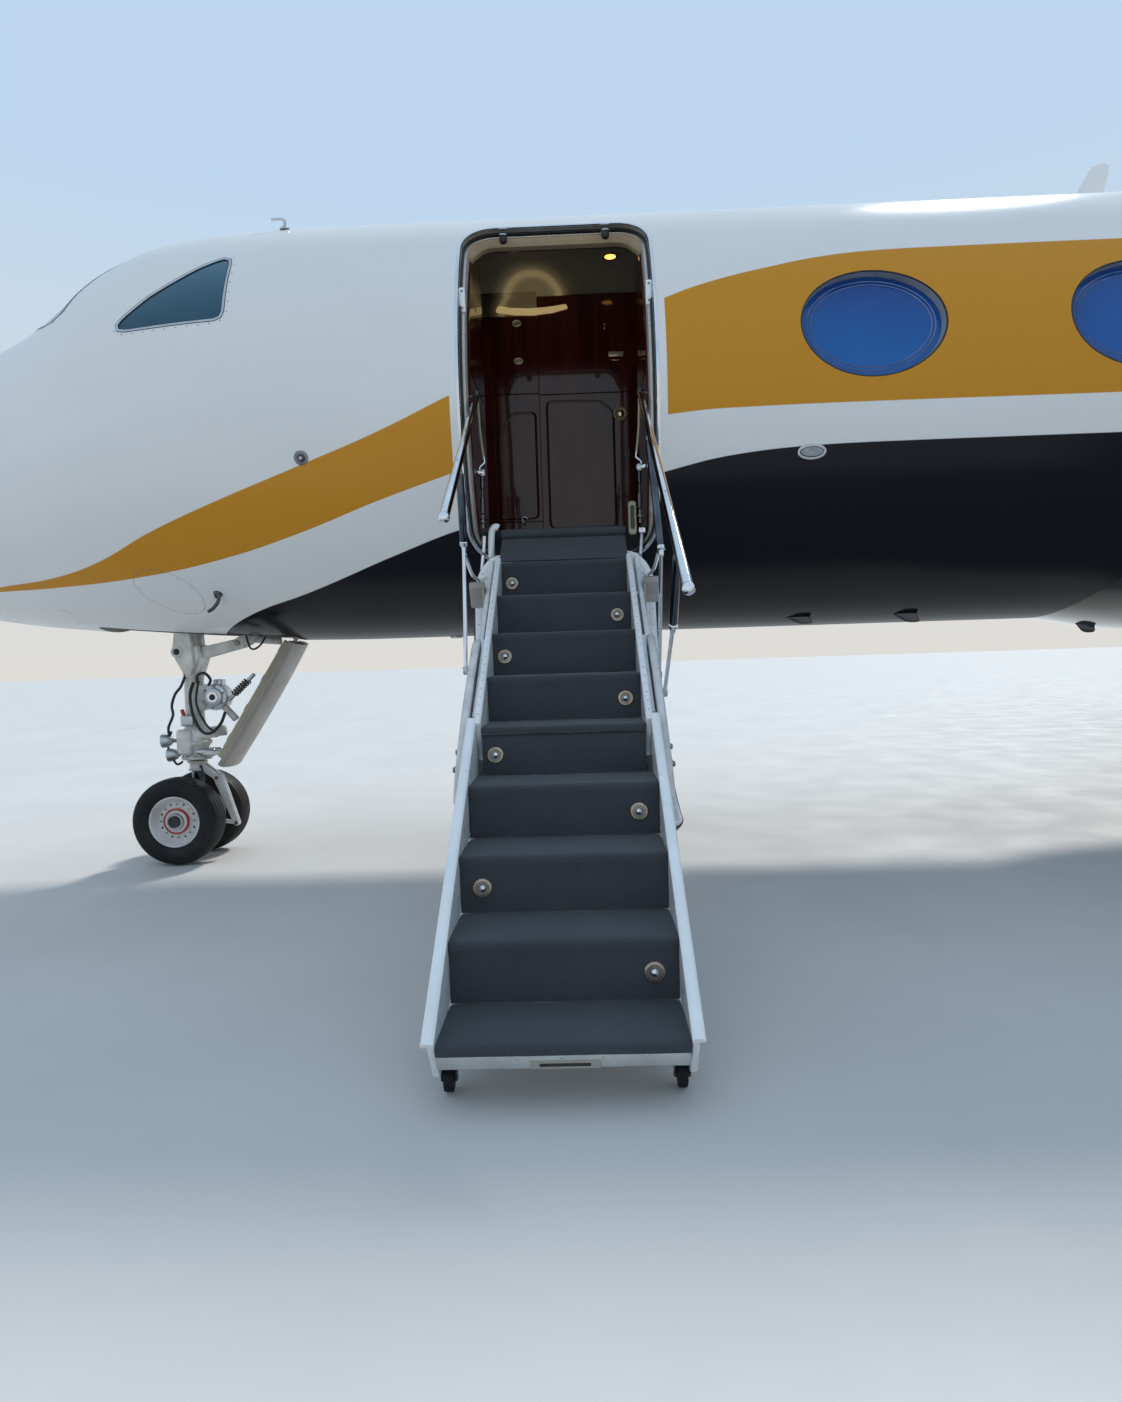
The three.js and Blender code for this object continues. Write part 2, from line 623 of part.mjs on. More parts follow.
function addTail() {
  const finRing = (z) => sectionRing([finAt(z).x, 0, z], finAt(z).chord, FIN.thick, 90);
  const finLoft = loft([FIN.rootZ, FIN.topZ].map(finRing));
  const inside = loft([FIN.rootZ - PAST, FIN.topZ - 900].map((z) => {
    const at = finAt(z);
    return sectionRing([at.x + 0.06 * at.chord, 0, z], 0.5 * at.chord, 0.13, 90, 12);
  }));
  const fin = cut(finLoft, [hull(-SEAT_GAP), inside]);
  const rudder = hinged(fin, RUDDER_HINGE);
  piece('fin', fin.subtract(rudder.cove), 'white');
  piece('rudder', rudder.surface, 'white');

  const spans = [-STAB.halfSpan, 0, STAB.halfSpan];
  const stabRing = (y) => sectionRing([stabAt(y).x, y, STAB.z], stabAt(y).chord, STAB.thick, 0);
  const wings = loft(spans.map(stabRing));
  const finTop = box([9000, -400, 6900], [14000, 400, FIN.topZ + SEAT_GAP]);
  const bullet = turned(BULLET, 'x', [0, 0, STAB.z], 10);
  const elevator = hinged(wings, ELEVATOR_HINGE);
  const stab = cut(wings.add(bullet), [elevator.cove, mirrored(elevator.cove)]);
  piece('stabilizer', stab.subtract(finTop), 'white');
  piece('elevator_right', elevator.surface, 'white');
  piece('elevator_left', mirrored(elevator.surface), 'white');
}

// Engines

const ENGINE = { y: 2050, z: 3080, fanX: 4200, fanR: 505 };
const CORE_R = 518;
const FAN_SHAFT_R = 60;
const NACELLE_OUT = [[3300, 575], [3420, 625], [3800, 668], [5000, 690], [6300, 650],
  [7400, 540], [8200, 425]];
const NACELLE_IN = [[8200, 405], [7500, 455], [6900, CORE_R + SEAT_GAP], [4620, CORE_R + SEAT_GAP],
  [4000, 522], [3550, 500], [3380, 520]];
const CORE = [[4620, 0], [4620, CORE_R], [6900, CORE_R], [7100, 380], [7900, 300],
  [8000, 200], [8550, 20], [8550, 0]];
const FAN_HUB = [[-330, 0], [-300, 40], [-150, 120], [0, 165], [220, 170], [220, 0]];
const FAN_BLADES = 10;
const BLADE = { deep: 170, thick: 16, rootR: 120, twist: 0.75, aft: 90 };
const PYLON = { x: 4300, chord: 3500, thick: 0.085, z: 3020, innerY: 700, outerY: 1750 };
const NACELLE_SIDES = 24;

function fanSolid() {
  const hub = turned(FAN_HUB, 'x', [0, 0, 0], 12);
  const shaft = bar([200, 0, 0], [480, 0, 0], FAN_SHAFT_R, FAN_SHAFT_R, 16);
  const blades = Array.from({ length: FAN_BLADES }, (unused, k) => {
    const tall = ENGINE.fanR - BLADE.rootR;
    const blade = new THREE.BoxGeometry(BLADE.deep, BLADE.thick, tall);
    blade.rotateZ(BLADE.twist);
    blade.translate(BLADE.aft, 0, BLADE.rootR + tall / 2);
    blade.rotateX((k / FAN_BLADES) * 2 * Math.PI);
    return solid(blade);
  });
  return joined([hub, shaft, ...blades]);
}

function addEngines() {
  const centre = [0, ENGINE.y, ENGINE.z];
  const nacelle = turned([...NACELLE_OUT, ...NACELLE_IN, NACELLE_OUT[0]], 'x', centre, NACELLE_SIDES);
  const shaftHole = bar([4500, ENGINE.y, ENGINE.z], [4900, ENGINE.y, ENGINE.z],
    FAN_SHAFT_R + BORE_GAP, FAN_SHAFT_R + BORE_GAP, BORE_SIDES);
  const core = turned(CORE, 'x', centre, NACELLE_SIDES).subtract(shaftHole);
  const grown = NACELLE_OUT.map(([x, r]) => [x, r + SEAT_GAP]);
  const outside = turned([[3300, 0], ...grown, [8200, 0]], 'x', centre, NACELLE_SIDES);
  const pylonRing = (y) => sectionRing([PYLON.x, y, PYLON.z], PYLON.chord, PYLON.thick, 0);
  const pylon = cut(loft([PYLON.innerY, PYLON.outerY].map(pylonRing)), [outside, hull(-SEAT_GAP)]);
  const fan = placed(fanSolid(), new THREE.Matrix4().makeTranslation(ENGINE.fanX, ENGINE.y, ENGINE.z));
  for (const [name, turn] of [['left', mirrored], ['right', (made) => made]]) {
    piece(`nacelle_${name}`, turn(nacelle), 'white');
    piece(`engine_core_${name}`, turn(core), 'metal');
    piece(`pylon_${name}`, turn(pylon), 'white');
    piece(`fan_${name}`, turn(fan), 'metal');
  }
}

// Landing gear

const TYRE_SIDES = 24;

// Tyre profile: share of the half width, share of the way from rim to crown
const TYRE_PROFILE = [[0.66, 0], [1, 0.35], [0.86, 0.85], [0.4, 1]];

const axleHeight = (gear) => gear.tyreR * Math.cos(Math.PI / TYRE_SIDES);

function wheelAbout(profile, x, y, z, sides = TYRE_SIDES) {
  const wheel = turned(profile, 'y', [0, 0, 0], sides);
  const matrix = new THREE.Matrix4().makeRotationY(Math.PI / TYRE_SIDES).setPosition(x, y, z);
  return placed(wheel, matrix);
}

function tyreSolid(gear, y) {
  const half = gear.tyreWide / 2;
  const depth = gear.tyreR - gear.rimR;
  const side = TYRE_PROFILE.map(([across, out]) => [across * half, gear.rimR + out * depth]);
  const [beadU] = side[0];
  const profile = [...side.map(([u, r]) => [-u, r]), ...side.reverse(), [-beadU, gear.rimR]];
  return wheelAbout(profile, gear.x, y, axleHeight(gear));
}

// Both rims on the axle that turns with them
function hubSolid(gear, middleY, axleR) {
  const half = gear.tyreWide / 2;
  const rimR = gear.rimR - SEAT_GAP;
  const web = rimR - 45;
  const lip = 0.66 * half - 4;
  const profile = [[-lip, 0.42 * web], [-30, web], [-lip, rimR - 12], [-lip, rimR],
    [lip, rimR], [lip, rimR - 12], [30, web], [lip, 0.42 * web]];
  const closed = [[-lip, 0], ...profile, [lip, 0]];
  const { x } = gear;
  const z = axleHeight(gear);
  const rims = [-1, 1].map((side) => wheelAbout(closed, x, middleY + side * gear.track, z, TYRE_SIDES / 2));
  const reach = gear.track + half + 14;
  const axle = bar([x, middleY - reach, z], [x, middleY + reach, z], axleR, axleR, 16);
  return joined([...rims, axle]);
}

const NOSE_LEG_X = -10970;      // steering axis, a little behind the axle
const TOW_FACE_X = -11120;      // front face of the tow fitting
const PISTON_R = 42;
const NOSE_AXLE_R = 32;
const MAIN_AXLE_R = 52;
const BAY = { from: -11450, to: -10250, half: 200 };

function noseBay() {
  return box([BAY.from, -BAY.half, 1200], [BAY.to, BAY.half, FLOOR_Z - FLOOR_THICK - 60]);
}

function axleBore(x, y, z, radius) {
  return bar([x, y - 300, z], [x, y + 300, z], radius + BORE_GAP, radius + BORE_GAP, BORE_SIDES);
}

function addNoseGear() {
  const axleZ = axleHeight(NOSE_GEAR);
  const x = NOSE_LEG_X;
  const floorUnder = FLOOR_Z - FLOOR_THICK - SEAT_GAP;
  const leg = joined([
    bar([x, 0, 620], [x, 0, floorUnder], 62),
    bar([x, 0, 615], [x, 0, 720], 92, 92, 16),
    bar([x, 0, 900], [x, 0, 980], 80, 80, 16),
    bar([x, -BAY.half + SEAT_GAP, 1440], [x, BAY.half - SEAT_GAP, 1440], 42),
    bar([x + 40, 0, 1300], [BAY.to - 120, 0, 1500], 34),
    bar([BAY.to - 120, -BAY.half + SEAT_GAP, 1500], [BAY.to - 120, BAY.half - SEAT_GAP, 1500], 26),
    bar([x - 150, -90, 690], [x - 40, -30, 690], 46),
    bar([x + 20, 0, 1060], [x + 110, 0, 1060], 95, 95, 14),
    bar([x + 20, 0, 940], [-10765, 0, 775], 26),
  ]);
  const bore = bar([x, 0, 600], [x, 0, 860], PISTON_R + BORE_GAP, PISTON_R + BORE_GAP, BORE_SIDES);
  piece('nose_gear_leg', leg.subtract(bore), 'strut');

  const collarZ = 600;
  const lower = joined([
    bar([x, 0, axleZ + 40], [x, 0, 840], PISTON_R, PISTON_R, 16),
    bar([x, 0, 540], [x, 0, collarZ], 74, 74, 16),
    bar([x, 0, axleZ + 90], [NOSE_GEAR.x, 0, axleZ], 50),
    bar([NOSE_GEAR.x, -62, axleZ], [NOSE_GEAR.x, 62, axleZ], 58, 58, 16),
    bar([x + 30, 0, 575], [x + 190, 0, 500], 26),
    bar([x + 190, 0, 500], [x + 20, 0, axleZ + 40], 24),
    bar([x + 190, -60, 500], [x + 190, 60, 500], 16),
    box([TOW_FACE_X, -24, axleZ - 20], [NOSE_GEAR.x - 30, 24, axleZ + 20]),
  ]);
  const axleHole = axleBore(NOSE_GEAR.x, 0, axleZ, NOSE_AXLE_R);
  piece('nose_gear_lower', lower.subtract(axleHole), 'strut');

  piece('nose_hub', hubSolid(NOSE_GEAR, 0, NOSE_AXLE_R), 'white');
  for (const [name, side] of [['left', -1], ['right', 1]]) {
    piece(`nose_tyre_${name}`, tyreSolid(NOSE_GEAR, side * NOSE_GEAR.track), 'tyre');
  }

  // Fairing door on the back of the leg, from the collar up to the bay's rear edge
  const skinZ = AXIS_Z - TUBE_R;
  const door = plate([[-10790, 600], [-10700, 605], [-10262, 1330], [-10275, 1352]], 'y', -165, 165);
  const links = [-100, 100].map((y) => bar([-10745, y, 655], [x + 86, y * 0.6, 655], 12));
  const hinge = bar([-10274, -150, skinZ + 25], [-10274, 150, skinZ + 25], 16);
  const stay = bar([-10274, 0, skinZ + 30], [BAY.to - SEAT_GAP, 0, skinZ + 30], 14);
  piece('nose_gear_door', joined([door, ...links, hinge, stay]), 'strut');
}

function addMainGear() {
  const gear = MAIN_GEAR;
  const axleZ = axleHeight(gear);
  const axleHole = axleBore(gear.x, gear.y, axleZ, MAIN_AXLE_R);
  const leg = joined([
    bar([gear.x, gear.y, axleZ + 40], [gear.x, gear.y, 900], 52),
    bar([gear.x, gear.y, 860], [gear.x, gear.y, 1800], 66),
    bar([gear.x, gear.y - 66, axleZ], [gear.x, gear.y + 66, axleZ], 84, 84, 16),
    bar([gear.x, gear.y, 1120], [gear.x, gear.y - 720, 1600], 42),
    bar([gear.x + 50, gear.y, 860], [gear.x + 230, gear.y, 680], 28),
    bar([gear.x + 230, gear.y, 680], [gear.x + 40, gear.y, axleZ + 60], 28),
  ]);
  const under = cut(leg, [axleHole, growWing()]);
  for (const [name, turn, side] of [['left', mirrored, -1], ['right', (made) => made, 1]]) {
    piece(`main_gear_leg_${name}`, turn(under), 'strut');
    piece(`main_hub_${name}`, turn(hubSolid(gear, gear.y, MAIN_AXLE_R)), 'white');
    piece(`main_tyre_${name}_inner`, tyreSolid(gear, side * (gear.y - gear.track)), 'tyre');
    piece(`main_tyre_${name}_outer`, tyreSolid(gear, side * (gear.y + gear.track)), 'tyre');
  }
}

// The space that wing, fairing and hull take up above the gear
function growWing() {
  const lower = placed(wingLoft(), new THREE.Matrix4().makeTranslation(0, 0, -SEAT_GAP));
  const above = box([-2000, 500, 1720], [3000, 3500, 3000]);
  return joined([lower, fairing(SEAT_GAP), hull(-SEAT_GAP), above]);
}

// Airstair door, let down

const DOOR_HINGE = [-882, 1694];          // y, z of the hinge at the sill
const DOOR_OPEN = 137.7;                  // how far the door has swung down, in degrees
const HINGE_R = 20;
const SKIN = 35;                          // door skin and its stiffeners
const DOOR_CLEAR = 8;
const TREAD_HALF = 314;
const FLANK = 20;                         // thickness of a stair's side plate
const FASCIA_TALL = 62;                   // bar under the last step
const LOWER_HALF = TREAD_HALF + FLANK + SEAT_GAP;
const RIB_X = [362, 385];                 // door's side panels
const RAIL_X = 440;
const RAIL_R = 13;
const TREAD_THICK = 30;
const CASTER_R = 36;

const nosing = (step) => [THRESHOLD_Y - STAIR_GO * step, FLOOR_Z - STAIR_RISE * step];
const stairLength = Math.hypot(STAIR_GO, STAIR_RISE);

// A point on the stair: steps down from the threshold, and height square to the slope
function onStair(step, lift) {
  const [y, z] = nosing(step);
  return [y - lift * STAIR_RISE / stairLength, z + lift * STAIR_GO / stairLength];
}

function treadBox(step, half) {
  const [y, z] = nosing(step);
  const back = Math.min(y + STAIR_GO + 24, DOOR_HINGE[0] - HINGE_R - SKIN - 5);
  return box([DOOR_X - half, y, z - TREAD_THICK], [DOOR_X + half, back, z]);
}

function riserBox(step, half, drop) {
  const [y, z] = nosing(step);
  return box([DOOR_X - half, y + 6, z - STAIR_RISE - TREAD_THICK], [DOOR_X + half, y + 24, z - drop]);
}

function flank(fromStep, toStep, up, down, x0, x1) {
  const outline = [
    onStair(fromStep, up), onStair(toStep, up), onStair(toStep, -down), onStair(fromStep, -down)];
  const sides = [[-x1, -x0], [x0, x1]];
  return joined(sides.map(([low, high]) => plate(outline, 'x', DOOR_X + low, DOOR_X + high)));
}

// Turns a piece drawn on the closed door to where the open door carries it
function swungOpen(made) {
  const [y, z] = DOOR_HINGE;
  const matrix = new THREE.Matrix4().makeTranslation(0, y, z)
    .multiply(new THREE.Matrix4().makeRotationX(THREE.MathUtils.degToRad(DOOR_OPEN)))
    .multiply(new THREE.Matrix4().makeTranslation(0, -y, -z));
  return placed(made, matrix);
}

function doorArc(radius, count = 15) {
  const angleAt = (z) => Math.PI - Math.asin((z - AXIS_Z) / radius);
  const [from, to] = [angleAt(DOOR_HEAD - DOOR_CLEAR), angleAt(DOOR_FOOT + DOOR_CLEAR)];
  return Array.from({ length: count }, (unused, k) => {
    const angle = from + (to - from) * (k / (count - 1));
    return [radius * Math.cos(angle), AXIS_Z + radius * Math.sin(angle)];
  });
}

function addAirstair() {
  const outer = doorArc(TUBE_R);
  const inner = doorArc(TUBE_R - SKIN);
  const skin = plate([...outer, ...inner.reverse()], 'x', DOOR_X - DOOR_HALF, DOOR_X + DOOR_HALF)
    .intersect(throughSide(doorOutline(DOOR_CLEAR), -1, WITHIN_DOOR));
  const segment = (x0, x1) => plate(doorArc(TUBE_R - SKIN / 2), 'x', DOOR_X + x0, DOOR_X + x1);
  const ribXs = [[-RIB_X[1], -RIB_X[0]], RIB_X];
  const panelTop = [[-890, 1685], onStair(1, -60), onStair(5, -120), [-2070, 520], [-1000, 1540]];
  const panels = ribXs.flatMap(([x0, x1]) =>
    [swungOpen(segment(x0, x1)), plate(panelTop, 'x', DOOR_X + x0, DOOR_X + x1)]);
  const hinge = bar([DOOR_X - 400, ...DOOR_HINGE], [DOOR_X + 400, ...DOOR_HINGE], HINGE_R);
  const spacers = [[1.6, -90], [2.6, -140], [4.2, -140]].flatMap((place) => [-1, 1].map((side) =>
    bar([DOOR_X + side * (RIB_X[0] + 5), ...onStair(...place)],
      [DOOR_X + side * (TREAD_HALF + FLANK + SEAT_GAP), ...onStair(...place)], 14)));
  piece('door_skin', joined([swungOpen(skin), ...panels, hinge, ...spacers]), 'white');

  const upperSteps = [1, 2, 3, 4, 5];
  const upper = joined([
    ...upperSteps.map((step) => treadBox(step, TREAD_HALF + 1)),
    ...upperSteps.slice(0, -1).map((step) => riserBox(step, TREAD_HALF + 1, 5)),
    flank(1.05, 5, 22, 170, TREAD_HALF, TREAD_HALF + FLANK),
  ]);
  piece('stair_upper', upper, 'carpet');

  const lowerSteps = [6, 7, 8, 9];
  const [lastY, lastZ] = nosing(STEP_COUNT);
  const casters = [-1, 1].flatMap((side) => {
    const x = DOOR_X + side * 330;
    return [
      bar([x - 14, lastY + 130, CASTER_R], [x + 14, lastY + 130, CASTER_R], CASTER_R, CASTER_R, 16),
      box([x - 10, lastY + 110, CASTER_R], [x + 10, lastY + 150, lastZ - 5]),
    ];
  });
  const lower = joined([
    ...lowerSteps.map((step) => treadBox(step, LOWER_HALF + 1)),
    riserBox(FOLD_STEP, TREAD_HALF - 2, TREAD_THICK + SEAT_GAP),
    ...[6, 7, 8].map((step) => riserBox(step, LOWER_HALF + 1, 5)),
    flank(FOLD_STEP - 0.1, STEP_COUNT, 24, 150, LOWER_HALF, LOWER_HALF + FLANK),
    box([DOOR_X - LOWER_HALF, lastY, lastZ - FASCIA_TALL], [DOOR_X + LOWER_HALF, lastY + 22, lastZ]),
    ...casters,
  ]);
  piece('stair_lower', lower, 'carpet');
  addHandrails();
}

// Rails slope with the stair; posts are [top, foot] points as [y, z] with a thick upper sleeve
const RAILS = {
  handrail_forward: { side: -1, end: [-2030, 1720], posts: [[[-1660, 2001], [-1650, 1105]]] },
  handrail_aft: {
    side: 1, end: [-2563, 1383],
    posts: [[[-1540, 2110], [-1480, 1110]], [[-2500, 1428], [-1820, 1005]]],
  },
};
const RAIL_START = [-1130, 2402];

function addHandrails() {
  for (const [name, { side, end, posts }] of Object.entries(RAILS)) {
    const x = DOOR_X + side * RAIL_X;
    const jamb = DOOR_X + side * (DOOR_HALF - SEAT_GAP);
    const rib = DOOR_X + side * (RIB_X[1] + SEAT_GAP);
    const rail = tube([[jamb, ...RAIL_START], [x, ...RAIL_START], [x, ...end]], RAIL_R);
    const post = posts.flatMap(([top, foot]) => {
      const share = (t) => top.map((v, i) => v + (foot[i] - v) * t);
      return [
        tube([[x, ...top], [x, ...foot], [rib, ...foot]], 9, 6),
        bar([x, ...share(0.08)], [x, ...share(0.4)], 17),
      ];
    });
    piece(name, joined([rail, ball([x, ...end], 24), ...post]), 'chrome');
  }
}

addFuselage();
addGlass();
addCabin();
addWings();
addTail();
addEngines();
addNoseGear();
addMainGear();
addAirstair();

export default group;
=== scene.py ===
# Twin-engine business jet on its gear, airstair door let down. Metres, +X aft, +Y starboard, +Z up.
import bpy
import bmesh
import json
import math
from mathutils import Matrix, Vector

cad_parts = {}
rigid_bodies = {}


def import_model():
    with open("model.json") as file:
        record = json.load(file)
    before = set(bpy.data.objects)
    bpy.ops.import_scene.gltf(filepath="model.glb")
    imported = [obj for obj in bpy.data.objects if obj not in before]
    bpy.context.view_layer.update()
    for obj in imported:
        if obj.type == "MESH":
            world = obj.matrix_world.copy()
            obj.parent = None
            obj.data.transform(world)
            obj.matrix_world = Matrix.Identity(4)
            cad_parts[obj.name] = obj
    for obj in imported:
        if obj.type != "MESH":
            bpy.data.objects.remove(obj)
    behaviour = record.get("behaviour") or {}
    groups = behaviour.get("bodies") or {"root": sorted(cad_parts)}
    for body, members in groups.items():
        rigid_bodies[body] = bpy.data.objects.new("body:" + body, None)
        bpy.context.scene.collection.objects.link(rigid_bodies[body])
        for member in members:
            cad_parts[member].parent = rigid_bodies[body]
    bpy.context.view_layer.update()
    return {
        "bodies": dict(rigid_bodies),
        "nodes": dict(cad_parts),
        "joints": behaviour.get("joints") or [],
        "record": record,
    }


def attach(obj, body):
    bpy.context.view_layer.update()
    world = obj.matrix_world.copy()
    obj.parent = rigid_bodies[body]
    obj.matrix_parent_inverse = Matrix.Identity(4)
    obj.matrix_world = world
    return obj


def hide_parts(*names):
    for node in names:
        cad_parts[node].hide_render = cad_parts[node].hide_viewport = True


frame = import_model()
print("frame loaded with", len(frame["nodes"]), "nodes")


# shapes: each of these returns (points, faces)

# angles of so many even steps round a circle
def turns(count):
    return [2 * math.pi * k / count for k in range(count)]


def ringSkin(rings, caps=(True, True), closed=True):
    count = len(rings[0])
    points = [tuple(p) for ring in rings for p in ring]
    faces = []
    for r in range(len(rings) - 1):
        for k in range(count if closed else count - 1):
            a, b = r * count + k, r * count + (k + 1) % count
            faces.append((a, b, b + count, a + count))
    if caps[0]:
        faces.append(tuple(reversed(range(count))))
    if caps[1]:
        faces.append(tuple(range(len(points) - count, len(points))))
    return points, faces


def moved(shape, matrix):
    points, faces = shape
    placed = [tuple(matrix @ Vector(p)) for p in points]
    if matrix.determinant() < 0:
        faces = reversedFaces(faces)
    return placed, faces


def mirroredShape(shape):
    return moved(shape, Matrix.Scale(-1, 4, (0, 1, 0)))


# profile of (along, radius) turned about an axis through centre
def turnedShape(profile, axis, centre, sides=48):
    rings = []
    for along, radius in profile:
        ring = []
        for a in turns(sides):
            c, s = max(radius, 1e-5) * math.cos(a), max(radius, 1e-5) * math.sin(a)
            ring.append({"x": (along, c, s), "y": (s, along, c), "z": (c, s, along)}[axis])
        rings.append([tuple(v + o for v, o in zip(p, centre)) for p in ring])
    return ringSkin(rings)


# a profile turned about any line from a to b; along runs 0 to 1 unless lengths are given
def turnedBetween(a, b, profile, sides=24):
    a, b = Vector(a), Vector(b)
    turn = (b - a).to_track_quat("Z", "Y").to_matrix().to_4x4()
    shape = turnedShape(profile, "z", (0, 0, 0), sides)
    return moved(shape, Matrix.Translation(a) @ turn)


# round bar with small chamfers at its ends
def barShape(a, b, radius, endRadius=None, sides=24, chamfer=None):
    length = (Vector(b) - Vector(a)).length
    endRadius = radius if endRadius is None else endRadius
    c = min(radius, endRadius) * .18 if chamfer is None else chamfer
    c = min(c, length / 3)
    return turnedBetween(a, b, [(0, radius - c), (c, radius), (length - c, endRadius), (length, endRadius - c)],
        sides)


def ballShape(centre, radius, sides=20):
    steps = sides // 2
    profile = [(-radius * math.cos(math.pi * i / steps), radius * math.sin(math.pi * i / steps))
        for i in range(steps + 1)]
    return turnedShape(profile, "z", centre, sides)


def curvedLine(points, steps):
    pts = [Vector(p) for p in points]
    if steps < 2 or len(pts) < 3:
        return pts
    out = []
    for i in range(len(pts) - 1):
        p0, p1, p2, p3 = pts[max(i - 1, 0)], pts[i], pts[i + 1], pts[min(i + 2, len(pts) - 1)]
        for s in range(steps):
            t = s / steps
            out.append(.5 * (2 * p1 + (p2 - p0) * t + (2 * p0 - 5 * p1 + 4 * p2 - p3) * t * t
                + (3 * p1 - 3 * p2 + p3 - p0) * t * t * t))
    return out + [pts[-1]]


# tube along a line of points; steps > 1 rounds the bends
def pipeShape(points, radius, sides=14, steps=1):
    line = curvedLine(points, steps)
    across = None
    rings = []
    for i, p in enumerate(line):
        along = (line[min(i + 1, len(line) - 1)] - line[max(i - 1, 0)]).normalized()
        if across is None:
            across = along.orthogonal().normalized()
        across = (across - along * across.dot(along)).normalized()
        other = along.cross(across)
        rings.append([p + across * radius * math.cos(2 * math.pi * k / sides)
            + other * radius * math.sin(2 * math.pi * k / sides) for k in range(sides)])
    return ringSkin(rings)


def blockShape(low, high, bevel=.004, segments=2):
    shape = bmesh.new()
    bmesh.ops.create_cube(shape, size=1)
    size = [h - l for l, h in zip(low, high)]
    middle = [(h + l) / 2 for l, h in zip(low, high)]
    for v in shape.verts:
        v.co = Vector([c * s + m for c, s, m in zip(v.co, size, middle)])
    bevel = min(bevel, min(size) * .45)
    bmesh.ops.bevel(shape, geom=shape.edges[:] + shape.verts[:], offset=bevel, segments=segments,
        affect="EDGES", profile=.5)
    shape.verts.index_update()
    made = [tuple(v.co) for v in shape.verts], [tuple(v.index for v in f.verts) for f in shape.faces]
    shape.free()
    return made


def offsetOutline(outline, inward):
    count = len(outline)
    area = sum(outline[i][0] * outline[(i + 1) % count][1] - outline[(i + 1) % count][0] * outline[i][1]
        for i in range(count))
    turn = 1 if area > 0 else -1
    moved2d = []
    for i in range(count):
        (x0, y0), (x1, y1), (x2, y2) = outline[i - 1], outline[i], outline[(i + 1) % count]
        e0, e1 = Vector((x1 - x0, y1 - y0)).normalized(), Vector((x2 - x1, y2 - y1)).normalized()
        n0, n1 = Vector((-e0.y, e0.x)) * turn, Vector((-e1.y, e1.x)) * turn
        n = (n0 + n1)
        n = n.normalized() / max(.5, math.sqrt(max(0.0, (1 + n0.dot(n1)) / 2))) if n.length > 1e-6 else n0
        moved2d.append((x1 + n.x * inward, y1 + n.y * inward))
    return moved2d


# flat outline pushed along an axis with sharp rims, for cutting
def knifeShape(outline, axis, start, end):
    put = {"x": lambda u, v, d: (d, u, v), "y": lambda u, v, d: (u, d, v), "z": lambda u, v, d: (u, v, d)}[axis]
    return outward(ringSkin([[put(u, v, d) for u, v in outline] for d in (start, end)]))


# flat outline pushed along an axis, with chamfered rims; outline is (y, z), (x, z) or (x, y)
def slabShape(outline, axis, start, end, bevel=.002):
    start, end = sorted((start, end))
    inner = offsetOutline(outline, bevel)
    put = {"x": lambda u, v, d: (d, u, v), "y": lambda u, v, d: (u, d, v), "z": lambda u, v, d: (u, v, d)}[axis]
    rings = [[put(u, v, d) for u, v in line] for line, d in
        ((inner, start), (outline, start + bevel), (outline, end - bevel), (inner, end))]
    return outward(ringSkin(rings))


def reversedFaces(faces):
    return [tuple(reversed(f)) for f in faces]


# the shape with its faces looking outwards
def outward(shape):
    points, faces = shape
    total = 0.0
    for f in faces:
        a = Vector(points[f[0]])
        for i in range(1, len(f) - 1):
            total += a.dot(Vector(points[f[i]]).cross(Vector(points[f[i + 1]])))
    return shape if total > 0 else (points, reversedFaces(faces))


# band swept round an outline: section is (inward, depth) pairs, put(u, v, depth) sets a point in space
def sweptBand(outline, section, put, closedSection=True, closedLine=True):
    rings = []
    for inward, depth in section:
        rings.append([put(u, v, depth) for u, v in offsetOutline(outline, inward)])
    if closedSection:
        rings.append(rings[0])
    points, faces = ringSkin(rings, (False, False), closedLine)
    if closedSection:
        count = len(rings[0])
        last = (len(rings) - 1) * count
        faces = [tuple(i - last if i >= last else i for i in f) for f in faces]
        points = points[:last]
        return outward((points, faces))
    return points, faces


def domeShape(centre, normal, radius, height=None, sides=10):
    height = radius * .5 if height is None else height
    end = Vector(centre) + Vector(normal).normalized() * height
    profile = [(-.001, radius), (0, radius), (height * .55, radius * .8), (height * .9, radius * .4),
        (height, 0)]
    return turnedBetween(centre, end, profile, sides)


def roundedRect(cu, cv, halfU, halfV, radius, steps=8):
    outline = []
    for su, sv, start in ((1, -1, -90), (1, 1, 0), (-1, 1, 90), (-1, -1, 180)):
        for k in range(steps + 1):
            a = math.radians(start + 90 * k / steps)
            outline.append((cu + su * (halfU - radius) + radius * math.cos(a),
                cv + sv * (halfV - radius) + radius * math.sin(a)))
    return outline


def ellipseLine(cu, cv, halfU, halfV, count=64):
    return [(cu + halfU * math.cos(2 * math.pi * k / count), cv + halfV * math.sin(2 * math.pi * k / count))
        for k in range(count)]


# outline with its corners rounded, by a radius for each corner
def softCorners(corners, radius, steps=6):
    outline = []
    for i, corner in enumerate(corners):
        before, at, after = Vector(corners[i - 1]), Vector(corner), Vector(corners[(i + 1) % len(corners)])
        a, b = (before - at).normalized(), (after - at).normalized()
        reach = min(radius / math.tan(a.angle(b) / 2), (before - at).length * .45, (after - at).length * .45)
        for k in range(steps + 1):
            t = k / steps
            p = (at + a * reach) * (1 - t) ** 2 + at * 2 * t * (1 - t) + (at + b * reach) * t * t
            outline.append((p.x, p.y))
    return outline


# forms gather shapes with a material each, and become one object

def newForm():
    return {"points": [], "faces": [], "looks": []}


